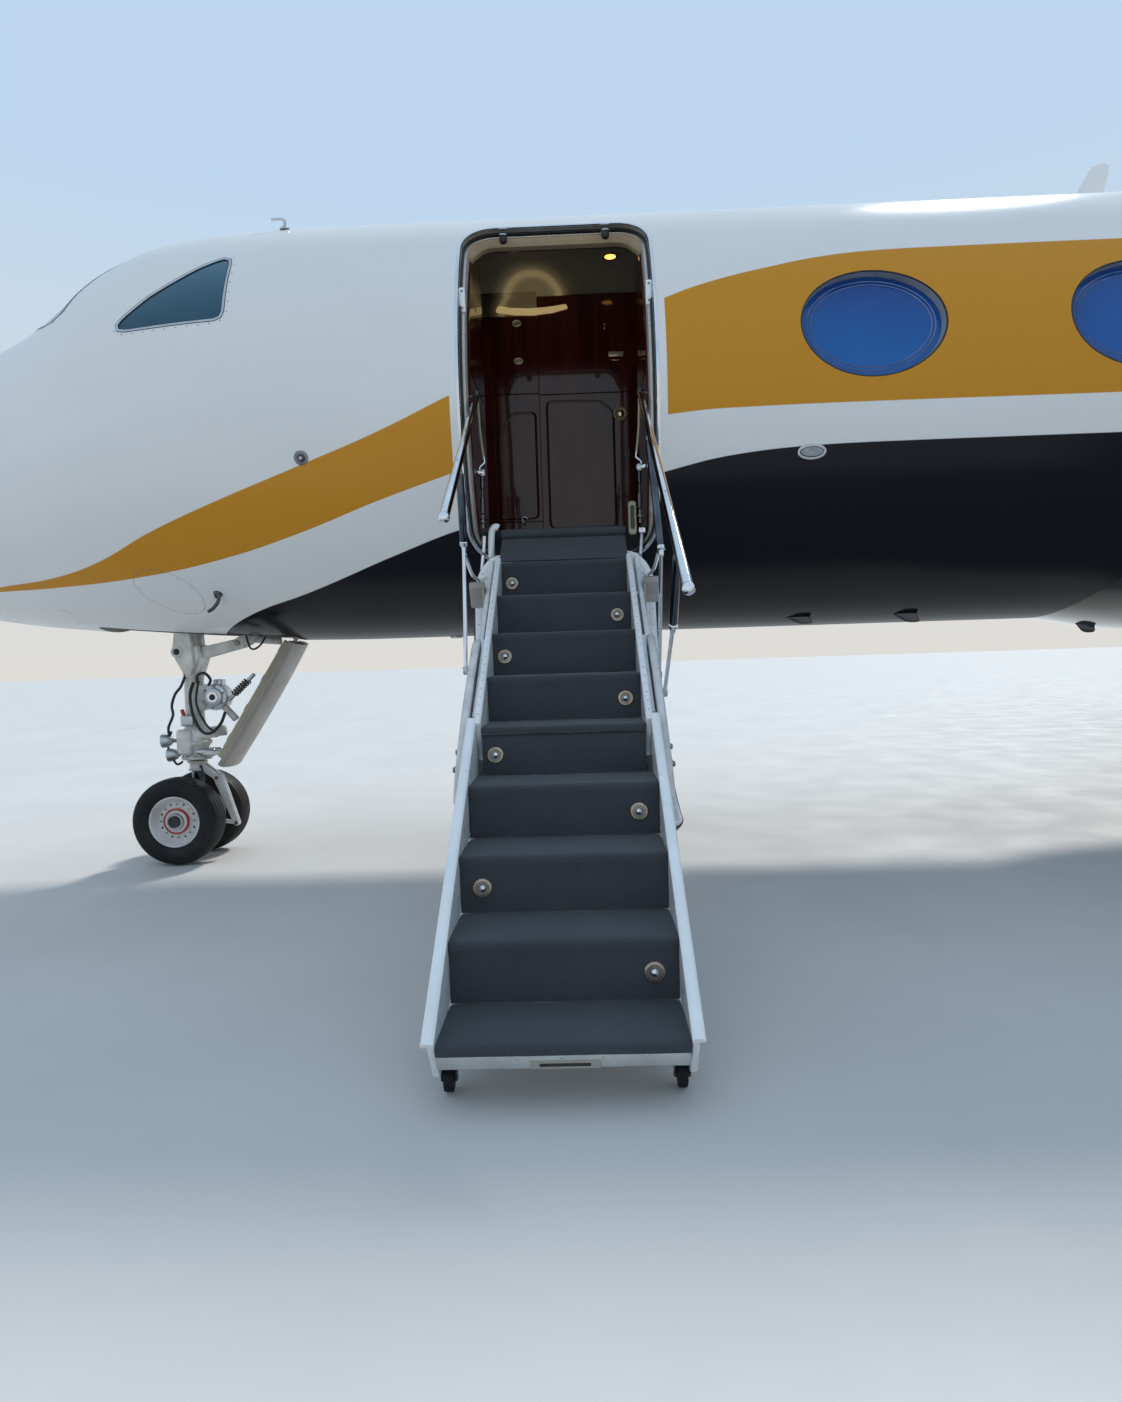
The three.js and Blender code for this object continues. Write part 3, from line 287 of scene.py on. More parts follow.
# look is a key of looks, or a material
def add(form, shape, look):
    points, faces = shape
    start = len(form["points"])
    form["points"] += points
    form["faces"] += [tuple(i + start for i in f) for f in faces]
    form["looks"] += [looks[look] if isinstance(look, str) else look] * len(faces)


def formMesh(name, form, crease):
    mesh = bpy.data.meshes.new(name)
    mesh.from_pydata(form["points"], [], form["faces"])
    used = list(dict.fromkeys(form["looks"]))
    for look in used:
        mesh.materials.append(look)
    mesh.polygons.foreach_set("material_index", [used.index(look) for look in form["looks"]])
    mesh.polygons.foreach_set("use_smooth", [True] * len(form["faces"]))
    mesh.update()
    mesh.set_sharp_from_angle(angle=math.radians(crease))
    return mesh


def makePiece(name, form, body="airframe", standsFor=(), crease=32):
    piece = bpy.data.objects.new(name, formMesh(name, form, crease))
    bpy.context.collection.objects.link(piece)
    ridePiece(piece, body, standsFor)
    return piece


def ridePiece(piece, body, standsFor=()):
    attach(piece, body)
    if standsFor:
        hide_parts(*standsFor)


# cuts closed shapes out of a form's mesh, and gives back the new mesh
def carvedMesh(name, form, cutters, crease=32):
    body = bpy.data.objects.new(name + "Raw", formMesh(name + "Raw", form, crease))
    tool = newForm()
    for shape in cutters:
        add(tool, shape, form["looks"][0])
    knife = bpy.data.objects.new(name + "Knife", formMesh(name + "Knife", tool, crease))
    for made in (body, knife):
        bpy.context.collection.objects.link(made)
    modifier = body.modifiers.new("cut", "BOOLEAN")
    modifier.operation, modifier.solver, modifier.object = "DIFFERENCE", "EXACT", knife
    mesh = bpy.data.meshes.new_from_object(body.evaluated_get(bpy.context.evaluated_depsgraph_get()))
    for spent in (body, knife):
        old = spent.data
        bpy.data.objects.remove(spent)
        bpy.data.meshes.remove(old)
    return mesh


def newLook(name, color, rough, metal=0.0, coat=0.0, **more):
    look = bpy.data.materials.new(name)
    look.use_nodes = True
    shader = look.node_tree.nodes["Principled BSDF"]
    shader.inputs["Base Color"].default_value = (*color, 1)
    shader.inputs["Roughness"].default_value = rough
    shader.inputs["Metallic"].default_value = metal
    shader.inputs["Coat Weight"].default_value = coat
    shader.inputs["Coat Roughness"].default_value = .03
    for key, value in more.items():
        shader.inputs[key.replace("_", " ")].default_value = value
    look.diffuse_color = (*color, 1)
    return look


def wire(look, kind, settings=None, **inputs):
    node = look.node_tree.nodes.new(kind)
    for key, value in (settings or {}).items():
        setattr(node, key, value)
    for key, value in inputs.items():
        byNumber = key[0] == "i" and key[1:].isdigit()
        socket = node.inputs[int(key[1:]) if byNumber else key.replace("_", " ")]
        if isinstance(value, bpy.types.NodeSocket):
            look.node_tree.links.new(value, socket)
        else:
            socket.default_value = value
    return node


def place(look, stretch=(1, 1, 1)):
    where = wire(look, "ShaderNodeTexCoord")
    return wire(look, "ShaderNodeMapping", i0=where.outputs["Object"], i3=stretch).outputs[0]


def noise(look, scale, detail=4.0, stretch=(1, 1, 1), rough=.55):
    return wire(look, "ShaderNodeTexNoise", Vector=place(look, stretch), Scale=scale, Detail=detail,
        Roughness=rough).outputs[0]


def blendColors(look, share, first, second):
    mix = wire(look, "ShaderNodeMix", {"data_type": "RGBA"})
    for socket, value in ((mix.inputs[0], share), (mix.inputs[6], first), (mix.inputs[7], second)):
        if isinstance(value, bpy.types.NodeSocket):
            look.node_tree.links.new(value, socket)
        elif isinstance(value, float):
            socket.default_value = value
        else:
            socket.default_value = (*value[:3], 1)
    return mix.outputs[2]


def ranged(look, value, low, high, toLow, toHigh):
    return wire(look, "ShaderNodeMapRange", Value=value, i1=low, i2=high, i3=toLow, i4=toHigh).outputs[0]


def setColor(look, socket):
    look.node_tree.links.new(socket, look.node_tree.nodes["Principled BSDF"].inputs["Base Color"])


def setRough(look, socket):
    look.node_tree.links.new(socket, look.node_tree.nodes["Principled BSDF"].inputs["Roughness"])


def setBump(look, height, strength, distance):
    bump = wire(look, "ShaderNodeBump", Height=height, Strength=strength, Distance=distance)
    look.node_tree.links.new(bump.outputs[0], look.node_tree.nodes["Principled BSDF"].inputs["Normal"])


# a finish with mottled colour, uneven gloss and fine bump
def workedLook(name, color, dark, rough, metal=0.0, coat=0.0, scale=6.0, fine=180.0, bump=.15, depth=.0006,
        stretch=(1, 1, 1), **more):
    look = newLook(name, color, rough, metal, coat, **more)
    broad = noise(look, scale, 5.0, stretch)
    setColor(look, blendColors(look, ranged(look, broad, .35, .72, 0.0, 1.0), color, dark))
    setRough(look, ranged(look, noise(look, scale * 3, 4.0, stretch), .3, .7, max(.02, rough * .8),
        min(1.0, rough * 1.25)))
    setBump(look, noise(look, fine, 3.0, stretch), bump, depth)
    return look


stageSet = {"floorColor": (.62, .61, .59), "floorHeight": -.004, "floorSize": 400, "worldHigh": (.6, .79, 1.0),
    "worldLow": (.86, .84, .8), "worldStrength": .86, "sunStrength": 2.4, "sunWide": 8,
    "sunFrom": (.36, .62, .7), "cameraAt": (-8.5185, -5.5287, 1.172), "yaw": -1.49, "pitch": -2.685,
    "roll": -1.8, "focalPixels": 888.0, "frameHigh": 1402}


def sunLight(name, towardsSun, strength, wide, tint=(1, 1, 1)):
    light = bpy.data.lights.new(name, "SUN")
    light.energy, light.color, light.angle = strength, tint, math.radians(wide)
    lamp = bpy.data.objects.new(name, light)
    lamp.rotation_mode = "QUATERNION"
    lamp.rotation_quaternion = Vector(towardsSun).to_track_quat("Z", "Y")
    bpy.context.collection.objects.link(lamp)


def makeStage():
    half = stageSet["floorSize"] / 2
    floor = newForm()
    z = stageSet["floorHeight"]
    add(floor, ([(-half, -half, z), (half, -half, z), (half, half, z), (-half, half, z)], [(0, 1, 2, 3)]),
        workedLook("floorLook", stageSet["floorColor"], tuple(.93 * c for c in stageSet["floorColor"]), .75,
        scale=.8, fine=30))
    ground = bpy.data.objects.new("stageFloor", formMesh("stageFloor", floor, 30))
    bpy.context.collection.objects.link(ground)
    world = bpy.data.worlds.new("studio")
    bpy.context.scene.world = world
    world.use_nodes = True
    nodes, links = world.node_tree.nodes, world.node_tree.links
    back = nodes["Background"]
    back.inputs["Strength"].default_value = stageSet["worldStrength"]
    coordinate = nodes.new("ShaderNodeTexCoord")
    split = nodes.new("ShaderNodeSeparateXYZ")
    ramp = nodes.new("ShaderNodeValToRGB")
    ramp.color_ramp.elements[0].position, ramp.color_ramp.elements[0].color = 0.0, (*stageSet["worldLow"], 1)
    ramp.color_ramp.elements[1].position, ramp.color_ramp.elements[1].color = .45, (*stageSet["worldHigh"], 1)
    links.new(coordinate.outputs["Generated"], split.inputs[0])
    links.new(split.outputs["Z"], ramp.inputs[0])
    links.new(ramp.outputs[0], back.inputs[0])
    sunLight("keyLight", stageSet["sunFrom"], stageSet["sunStrength"], stageSet["sunWide"], (1, .96, .9))
    bpy.context.scene.view_settings.view_transform = "Standard"


def makeCamera():
    yaw, pitch, roll = (math.radians(stageSet[k]) for k in ("yaw", "pitch", "roll"))
    ahead = Vector((math.sin(yaw) * math.cos(pitch), math.cos(yaw) * math.cos(pitch), math.sin(pitch)))
    right = Vector((math.cos(yaw), -math.sin(yaw), 0))
    up = right.cross(ahead)
    right, up = right * math.cos(roll) + up * math.sin(roll), up * math.cos(roll) - right * math.sin(roll)
    data = bpy.data.cameras.new("photoCamera")
    data.sensor_width = 36
    data.lens = 36 * stageSet["focalPixels"] / stageSet["frameHigh"]  # the frame's long side is its height
    camera = bpy.data.objects.new("photoCamera", data)
    turn = Matrix((right, up, -ahead)).transposed().to_4x4()
    camera.matrix_world = Matrix.Translation(stageSet["cameraAt"]) @ turn
    bpy.context.collection.objects.link(camera)
    bpy.context.scene.camera = camera


makeStage()
makeCamera()
print("stage and camera set")

paints = {"white": (.8, .8, .79), "gold": (.6, .265, .018), "black": (.003, .004, .008)}

# stripe edges as (x, z) points on the side of the hull
livery = {"goldNoseTop": [(-12.1, 1.65), (-11.795, 1.676), (-11.373, 1.712), (-11.084, 1.772), (-10.735, 1.896),
    (-10.316, 2.03), (-9.882, 2.168), (-9.481, 2.309), (-9.125, 2.462)],
    "goldNoseFoot": [(-12.1, 1.648), (-11.815, 1.653), (-11.417, 1.658), (-10.898, 1.685), (-10.408, 1.75),
    (-9.945, 1.859), (-9.508, 1.996), (-9.125, 2.108)],
    "goldTailTop": [(-8.073, 2.902), (-7.895, 2.968), (-7.582, 3.048), (-7.212, 3.115), (-6.883, 3.134),
    (-5.8, 3.138), (-1.0, 3.14), (1.4, 3.19), (3.0, 3.31), (3.9, 3.38), (4.8, 3.43)],
    "goldTailFoot": [(-8.073, 2.334), (-7.838, 2.352), (-6.966, 2.359), (-5.9, 2.357), (-1.0, 2.36),
    (1.4, 2.53), (3.0, 2.86), (3.9, 3.16), (4.8, 3.43)],
    "blackTop": [(-10.95, 1.28), (-10.316, 1.498), (-10.017, 1.57), (-9.451, 1.748), (-9.145, 1.842),
    (-8.077, 2.079), (-7.748, 2.142), (-7.377, 2.171), (-6.8, 2.178), (0.0, 2.18), (4.0, 2.25), (7.0, 2.46),
    (9.5, 2.8), (11.5, 3.1)]}


# height of an edge at x, minus z; positive where the point lies below the edge
def edgeAbove(look, x, z, points, spanZ=(1.0, 4.0)):
    x0, x1 = points[0][0], points[-1][0]
    curve = wire(look, "ShaderNodeFloatCurve", Value=ranged(look, x, x0, x1, 0.0, 1.0))
    line = curve.mapping.curves[0]
    shares = [((px - x0) / (x1 - x0), (pz - spanZ[0]) / (spanZ[1] - spanZ[0])) for px, pz in points]
    line.points[0].location, line.points[1].location = shares[0], shares[-1]
    for share in shares[1:-1]:
        line.points.new(*share)
    for point in line.points:
        point.handle_type = "AUTO_CLAMPED"
    curve.mapping.update()
    height = ranged(look, curve.outputs[0], 0.0, 1.0, spanZ[0], spanZ[1])
    return wire(look, "ShaderNodeMath", {"operation": "SUBTRACT"}, i0=height, i1=z).outputs[0]


def mathNode(look, operation, a, b=0.0):
    return wire(look, "ShaderNodeMath", {"operation": operation}, i0=a, i1=b).outputs[0]


def crisp(look, value, soft=.0015):
    return ranged(look, value, -soft, soft, 0.0, 1.0)


# clear-coated paint with the stripes laid over it by their place on the hull
def liveryLook(name):
    look = newLook(name, paints["white"], .2, coat=.45, Specular_IOR_Level=0.0, Coat_Roughness=.16)
    where = wire(look, "ShaderNodeTexCoord").outputs["Object"]
    split = wire(look, "ShaderNodeSeparateXYZ", i0=where)
    x, z = split.outputs[0], split.outputs[2]
    dust = noise(look, 1.3, 6.0, (1, 1, 2.2))
    white = blendColors(look, ranged(look, dust, .3, .75, 0.0, 1.0), paints["white"],
        tuple(.955 * c for c in paints["white"]))
    color = blendColors(look, crisp(look, edgeAbove(look, x, z, livery["blackTop"])), white, paints["black"])
    for top, foot, low, high in (("goldNoseTop", "goldNoseFoot", -12.1, -9.125),
            ("goldTailTop", "goldTailFoot", -8.073, 4.7)):
        inside = mathNode(look, "MULTIPLY", crisp(look, edgeAbove(look, x, z, livery[top])),
            mathNode(look, "SUBTRACT", 1.0, crisp(look, edgeAbove(look, x, z, livery[foot]))))
        inside = mathNode(look, "MULTIPLY", inside, crisp(look, mathNode(look, "SUBTRACT", x, low)))
        inside = mathNode(look, "MULTIPLY", inside, crisp(look, mathNode(look, "SUBTRACT", high, x)))
        color = blendColors(look, inside, color, paints["gold"])
    setColor(look, color)
    setRough(look, ranged(look, noise(look, 3.0, 5.0), .3, .7, .1, .2))
    setBump(look, noise(look, 2.2, 3.0, (.6, 1, 1)), .25, .0022)
    return look


looks = {"livery": liveryLook("liveryPaint"),
    "white": workedLook("whitePaint", paints["white"], (.74, .74, .73), .16, coat=1.0, scale=1.6, fine=3.0,
        bump=.2, depth=.001),
    "gold": workedLook("goldPaint", paints["gold"], (.44, .195, .03), .2, coat=1.0, scale=2.0, fine=3.0,
        bump=.2, depth=.001),
    "black": workedLook("blackPaint", paints["black"], (.012, .011, .011), .12, coat=1.0, scale=2.0, fine=3.0,
        bump=.2, depth=.001),
    "jamb": workedLook("jambMetal", (.6, .58, .54), (.44, .42, .38), .3, .35, scale=5.0, fine=120, bump=.1),
    "seal": workedLook("sealRubber", (.012, .012, .013), (.028, .027, .026), .55, scale=20, fine=300),
    "reveal": workedLook("windowReveal", (.36, .39, .42), (.25, .27, .3), .35, .1, scale=9, fine=200),
    "bright": workedLook("polishedAlloy", (.8, .81, .83), (.66, .67, .7), .13, 1.0, scale=7, fine=150,
        bump=.05),
    "alloy": workedLook("satinAlloy", (.6, .61, .62), (.44, .45, .46), .34, 1.0, scale=8, fine=160, bump=.12),
    "chrome": workedLook("railChrome", (.84, .86, .89), (.7, .72, .76), .07, 1.0, scale=9, fine=200, bump=.03),
    "darkChrome": workedLook("darkChrome", (.13, .14, .16), (.07, .075, .09), .14, 1.0, scale=12, fine=200,
        bump=.05),
    "steel": workedLook("boltSteel", (.3, .29, .28), (.16, .15, .14), .35, 1.0, scale=30, fine=400),
    "brass": workedLook("warmBrass", (.75, .58, .3), (.55, .4, .18), .2, 1.0, scale=20, fine=300),
    "strut": workedLook("strutEnamel", (.8, .79, .75), (.46, .43, .38), .38, scale=9, fine=140, bump=.3,
        depth=.0008, coat=.3),
    "strutWhite": workedLook("rimEnamel", (.72, .72, .71), (.52, .5, .47), .3, scale=10, fine=140, coat=.4),
    "panelGrey": workedLook("doorPanelGrey", (.36, .335, .3), (.26, .24, .21), .42, scale=4, fine=90, coat=.2),
    "stairWhite": workedLook("stairEnamel", (.88, .9, .91), (.76, .79, .8), .3, scale=5, fine=120, coat=.5),
    "fascia": workedLook("fasciaAlloy", (.52, .53, .52), (.36, .36, .35), .4, .5, scale=7, fine=140),
    "hose": workedLook("hoseRubber", (.014, .014, .015), (.03, .03, .03), .5, scale=30, fine=500),
    "red": workedLook("redBand", (.5, .012, .018), (.36, .01, .014), .35, scale=20, fine=200, coat=.4),
    "plateCream": workedLook("plateCream", (.8, .66, .46), (.62, .5, .33), .3, .3, scale=20, fine=300),
    "cream": workedLook("creamLining", (.4, .345, .24), (.33, .285, .2), .6, scale=3, fine=400, bump=.25,
        depth=.0004),
    "puckRing": workedLook("studRing", (.5, .43, .34), (.34, .28, .21), .22, 1.0, scale=20, fine=300),
    "darkPlastic": workedLook("darkPlastic", (.02, .02, .022), (.035, .035, .036), .4, scale=12, fine=350),
    "hotMetal": workedLook("exhaustMetal", (.28, .25, .22), (.1, .085, .075), .38, 1.0, scale=3, fine=80,
        stretch=(4, 1, 1)),
    "inside": workedLook("bayPrimer", (.4, .4, .36), (.22, .21, .18), .6, scale=4, fine=90)}


# glass whose colour shifts from deep to edge going up, stirred by noise: this shift with height is a painted
# reflection
def glassLook(name, deep, edge, across, centre, clear=.25):
    look = newLook(name, deep, .03, coat=.35, Transmission_Weight=clear, IOR=1.5, Specular_IOR_Level=.2)
    where = wire(look, "ShaderNodeTexCoord").outputs["Object"]
    split = wire(look, "ShaderNodeSeparateXYZ", i0=where)
    reflectionShare = ranged(look, mathNode(look, "ADD", split.outputs[2],
        mathNode(look, "MULTIPLY", noise(look, 1.6, 2.0), across)), centre - .22, centre + .28, 0.0, 1.0)
    setColor(look, blendColors(look, reflectionShare, deep, edge))
    return look


# deep and edge colours of each glass; the blend between them by height is painted reflection
looks["cabinGlass"] = glassLook("cabinGlass", (.001, .15, .52), (.003, .065, .33), .5, 2.95)
looks["cockpitGlass"] = glassLook("cockpitGlass", (.008, .055, .1), (.04, .16, .24), .4, 3.25, .12)


# straight-grained veneer under thick lacquer; the grain runs up
def veneerLook():
    look = newLook("mahoganyVeneer", (.06, .01, .006), .14, coat=.75, Specular_IOR_Level=.15)
    stretched = place(look, (5.0, 5.0, .35))
    broad = wire(look, "ShaderNodeTexNoise", Vector=stretched, Scale=3.0, Detail=6.0, Distortion=.6).outputs[0]
    fine = wire(look, "ShaderNodeTexNoise", Vector=place(look, (60, 60, 1.5)), Scale=4.0, Detail=3.0).outputs[0]
    share = mathNode(look, "ADD", mathNode(look, "MULTIPLY", broad, .7), mathNode(look, "MULTIPLY", fine, .3))
    setColor(look, blendColors(look, ranged(look, share, .36, .66, 0.0, 1.0), (.105, .017, .01),
        (.035, .006, .005)))
    setRough(look, ranged(look, fine, .3, .7, .1, .2))
    setBump(look, fine, .04, .0003)
    return look


# short loop pile with a faint cross weave
def carpetLook(name, color, dark):
    look = newLook(name, color, .93, Sheen_Weight=.12, Sheen_Roughness=.5)
    loops = wire(look, "ShaderNodeTexVoronoi", Vector=place(look), Scale=260.0).outputs[0]
    broad = noise(look, 5.0, 4.0)
    share = mathNode(look, "ADD", mathNode(look, "MULTIPLY", broad, .55),
        mathNode(look, "MULTIPLY", loops, .45))
    setColor(look, blendColors(look, ranged(look, share, .25, .75, 0.0, 1.0), color, dark))
    setBump(look, loops, .6, .0012)
    return look


def leatherLook(name, color, dark):
    look = newLook(name, color, .45, Sheen_Weight=.1)
    pores = wire(look, "ShaderNodeTexVoronoi", {"feature": "DISTANCE_TO_EDGE"}, Vector=place(look),
        Scale=190.0).outputs[0]
    setColor(look, blendColors(look, ranged(look, noise(look, 4.0, 5.0), .3, .7, 0.0, 1.0), color, dark))
    setBump(look, pores, .3, .0008)
    setRough(look, ranged(look, noise(look, 18.0, 3.0), .3, .7, .36, .52))
    return look


def tyreLook():
    look = newLook("tyreRubber", (.007, .008, .01), .6, Specular_IOR_Level=.3)
    setColor(look, blendColors(look, ranged(look, noise(look, 7.0, 6.0), .35, .75, 0.0, 1.0),
        (.006, .0075, .01), (.02, .019, .018)))
    setBump(look, noise(look, 240.0, 3.0), .25, .0008)
    setRough(look, ranged(look, noise(look, 12.0, 4.0), .3, .7, .5, .75))
    return look


looks["veneer"] = veneerLook()
looks["carpet"] = carpetLook("stairCarpet", (.054, .061, .07), (.034, .04, .048))
looks["seatLeather"] = leatherLook("creamLeather", (.46, .38, .26), (.38, .31, .2))
looks["darkLeather"] = leatherLook("darkLeather", (.035, .035, .038), (.02, .02, .022))
looks["tyre"] = tyreLook()
print("finishes ready:", len(looks))


# hull lines: distance aft of the nose tip, half width, top, bottom, height of the widest point
hullTable = [(0, .05, 2.08, 1.98, 2.03), (.1, .22, 2.26, 1.83, 2.03), (.3, .37, 2.42, 1.73, 2.05),
    (.7, .55, 2.62, 1.62, 2.09), (1.38, .72, 2.92, 1.53, 2.2), (1.73, .84, 3.1, 1.476, 2.28),
    (2.05, .92, 3.25, 1.44, 2.34), (2.52, 1.06, 3.57, 1.395, 2.45), (2.87, 1.13, 3.685, 1.37, 2.5),
    (3.3, 1.175, 3.72, 1.345, 2.525), (3.9, 1.195, 3.725, 1.335, 2.53), (17.6, 1.195, 3.725, 1.335, 2.53),
    (18.5, 1.18, 3.725, 1.36, 2.54), (20, 1.08, 3.7, 1.52, 2.6), (21.5, .9, 3.66, 1.83, 2.74),
    (23, .62, 3.58, 2.25, 2.92), (24.3, .34, 3.46, 2.7, 3.08), (25.1, .12, 3.33, 3.02, 3.18)]
hullSet = {"noseX": -13.6, "radomeEnd": -12.22, "wall": .1, "hollow": (-11.84, 4.0), "sides": 144,
    "tipRound": .07}
doorSet = {"x": -8.6, "half": .475, "foot": 1.7, "head": 3.43, "corner": .16}
windowSet = {"xs": [-7.08, -5.804, -4.528, -3.252, -1.976, -.7], "z": 2.74, "halfX": .345, "halfZ": .265}
sidePane = [(-10.856, 2.879), (-10.246, 2.901), (-10.259, 3.297), (-10.41, 3.223), (-10.65, 3.062)]
screenPane = [(.035, 3.27), (.84, 3.02), (.5, 3.47), (.035, 3.57)]
hullMiddleZ = 2.53
bayBox = ((-11.45, -.2, 1.2), (-10.25, .2, 1.733))


# smooth curve through one column of the table that never overshoots it
def hullColumn(station, column):
    rows = hullTable
    i = 0
    while i < len(rows) - 2 and station > rows[i + 1][0]:
        i += 1

    def slope(k):
        return (rows[k + 1][column] - rows[k][column]) / (rows[k + 1][0] - rows[k][0])

    def tangent(k):
        if k in (0, len(rows) - 1):
            return slope(min(k, len(rows) - 2))
        before, after = slope(k - 1), slope(k)
        return 0 if before * after <= 0 else 2 * before * after / (before + after)

    span = rows[i + 1][0] - rows[i][0]
    t = (station - rows[i][0]) / span
    return (rows[i][column] * (2 * t ** 3 - 3 * t ** 2 + 1) + rows[i + 1][column] * (3 * t ** 2 - 2 * t ** 3)
        + tangent(i) * span * (t ** 3 - 2 * t ** 2 + t) + tangent(i + 1) * span * (t ** 3 - t ** 2))


knownSections = {}


def hullSection(x):
    key = round(x, 5)
    if key not in knownSections:
        knownSections[key] = tuple(hullColumn(x - hullSet["noseX"], c) for c in (1, 2, 3, 4))
    return knownSections[key]


def hullRing(x, inset=0.0, sides=144, shrink=1.0):
    half, top, bottom, wide = hullSection(x)
    ring = []
    for k in range(sides):
        a = 2 * math.pi * k / sides
        reach = (top - wide if math.sin(a) >= 0 else wide - bottom) - inset
        ring.append((x, (half - inset) * shrink * math.cos(a), wide + reach * shrink * math.sin(a)))
    return ring


# below zero inside the hull, zero on it
def hullGap(x, y, z, inset=0.0):
    half, top, bottom, wide = hullSection(x)
    reach = (top - wide if z >= wide else wide - bottom) - inset
    return (y / (half - inset)) ** 2 + ((z - wide) / reach) ** 2 - 1


def hullNormal(x, y, z, inset=0.0):
    half, top, bottom, wide = hullSection(x)
    reach = (top - wide if z >= wide else wide - bottom) - inset
    along = (hullGap(x + .004, y, z, inset) - hullGap(x - .004, y, z, inset)) / .008
    return Vector((along, 2 * y / (half - inset) ** 2, 2 * (z - wide) / reach ** 2)).normalized()


# point on the side of the hull at a given height
def hullSide(x, z, side=-1, inset=0.0):
    half, top, bottom, wide = hullSection(x)
    reach = (top - wide if z >= wide else wide - bottom) - inset
    share = max(0.0, 1 - ((z - wide) / reach) ** 2)
    return (x, side * (half - inset) * math.sqrt(share), z)


# point on the nose above or below, by its distance from the middle line
def hullFront(y, z, inset=0.0, low=-12.2, high=-10.3):
    for _ in range(30):
        x = (low + high) / 2
        low, high = (x, high) if hullGap(x, y, z, inset) > 0 else (low, x)
    return (x, y, z)


def hullTop(x, y=0.0, inset=0.0, up=True):
    half, top, bottom, wide = hullSection(x)
    reach = (top - wide if up else wide - bottom) - inset
    return (x, y, wide + (1 if up else -1) * reach * math.sqrt(max(0.0, 1 - (y / (half - inset)) ** 2)))


def spaced(low, high, step):
    count = max(1, round((high - low) / step))
    return [low + (high - low) * i / count for i in range(count + 1)]


def doorOutline(grow=0.0, steps=8):
    s = doorSet
    middle, tall = (s["head"] + s["foot"]) / 2, (s["head"] - s["foot"]) / 2
    return roundedRect(s["x"], middle, s["half"] + grow, tall + grow, s["corner"] + grow, steps)


def hullCutters():
    shapes = [knifeShape(doorOutline(), "y", -1.4, -.5)]
    for x in windowSet["xs"]:
        line = ellipseLine(x, windowSet["z"], windowSet["halfX"], windowSet["halfZ"], 72)
        shapes += [knifeShape(line, "y", -1.4, -.6), knifeShape(line, "y", .6, 1.4)]
    for side in (-1, 1):
        pane = softCorners(sidePane, .045)
        shapes.append(knifeShape(pane, "y", *((-1.3, -.5) if side < 0 else (.5, 1.3))))
        shapes.append(knifeShape(softCorners([(side * y, z) for y, z in screenPane], .04), "x", -11.8, -10.7))
    (x0, y0, z0), (x1, y1, z1) = bayBox
    shapes.append(knifeShape([(x0, y0), (x1, y0), (x1, y1), (x0, y1)], "z", z0, z1))
    return shapes


# gives every face of the cut hull its finish, and every corner the true surface's normal
def dressHull(mesh):
    finishes = [looks["livery"], looks["cream"], looks["jamb"], looks["reveal"], looks["alloy"],
        looks["inside"]]
    mesh.materials.clear()
    for finish in finishes:
        mesh.materials.append(finish)
    normals = [None] * len(mesh.loops)
    for face in mesh.polygons:
        corners = [mesh.vertices[i].co for i in face.vertices]
        middle = face.center
        insets = [0.0, hullSet["wall"]]
        kind = 2
        for number, inset in enumerate(insets):
            if all(abs(hullGap(*c, inset)) < .012 for c in corners):
                facing = face.normal.dot(hullNormal(*middle, inset))
                if abs(facing) > .8:
                    kind = number
        if kind == 2:
            if middle.z < 1.8 and middle.x < -10.2:
                kind = 5
            elif middle.x < -10.1:
                kind = 4
            elif abs(middle.x - doorSet["x"]) > doorSet["half"] + .05:
                kind = 3
        face.material_index = kind
        face.use_smooth = True
        for loop in face.loop_indices:
            if kind > 1:
                normals[loop] = face.normal
            else:
                at = mesh.vertices[mesh.loops[loop].vertex_index].co
                normals[loop] = hullNormal(*at, insets[kind]) * (1 if kind == 0 else -1)
    mesh.normals_split_custom_set(normals)


def makeHull():
    noseX, sides = hullSet["noseX"], hullSet["sides"]
    radome = newForm()
    rings = []
    for station in [0, .004, .012, .025, .04, .055, .07] + spaced(.09, 1.38, .06):
        left = max(0.0, 1 - station / hullSet["tipRound"])
        rings.append(hullRing(noseX + station, 0.0, sides, max(.02, math.sqrt(1 - left ** 2))))
    add(radome, ringSkin(rings), "livery")
    makePiece("radomeSkin", radome, standsFor=["radome"], crease=60)

    start, tail = hullSet["radomeEnd"], noseX + 25.1
    outer = [hullRing(x, 0.0, sides) for x in spaced(start, -9.6, .075) + spaced(-9.2, 4.0, .4) + spaced(4.25,
        tail, .25)]
    inner = [hullRing(x, hullSet["wall"], 72)
        for x in spaced(hullSet["hollow"][0], -9.6, .12) + spaced(-9.2, hullSet["hollow"][1], .4)]
    body = newForm()
    shell, (lining, hollow) = ringSkin(outer), ringSkin(inner)
    add(body, shell, "livery")
    add(body, (lining, reversedFaces(hollow)), "cream")
    if outward(shell) is not shell:
        body["faces"] = reversedFaces(body["faces"])
    mesh = carvedMesh("fuselage", body, hullCutters())
    dressHull(mesh)
    hull = bpy.data.objects.new("fuselage", mesh)
    bpy.context.collection.objects.link(hull)
    ridePiece(hull, "airframe", ["cockpit_shell", "forward_shell", "cabin_shell", "aft_fuselage", "tail_cone"])


makeHull()
print("hull made")


windowTrim = {"sealWide": .005, "revealDeep": .048, "paneEdge": .009, "rings": (.026, .044)}


# rings of one outline at growing insets, sewn into a strip with a look for each step
def skinStrip(form, outline, steps, put, closed=True):
    lines = [[put(u, v, deep) for u, v in offsetOutline(outline, inward)] for inward, deep, _ in steps]
    for before, after, (_, _, look) in zip(lines, lines[1:], steps[1:]):
        add(form, ringSkin([before, after], (False, False), closed), look)


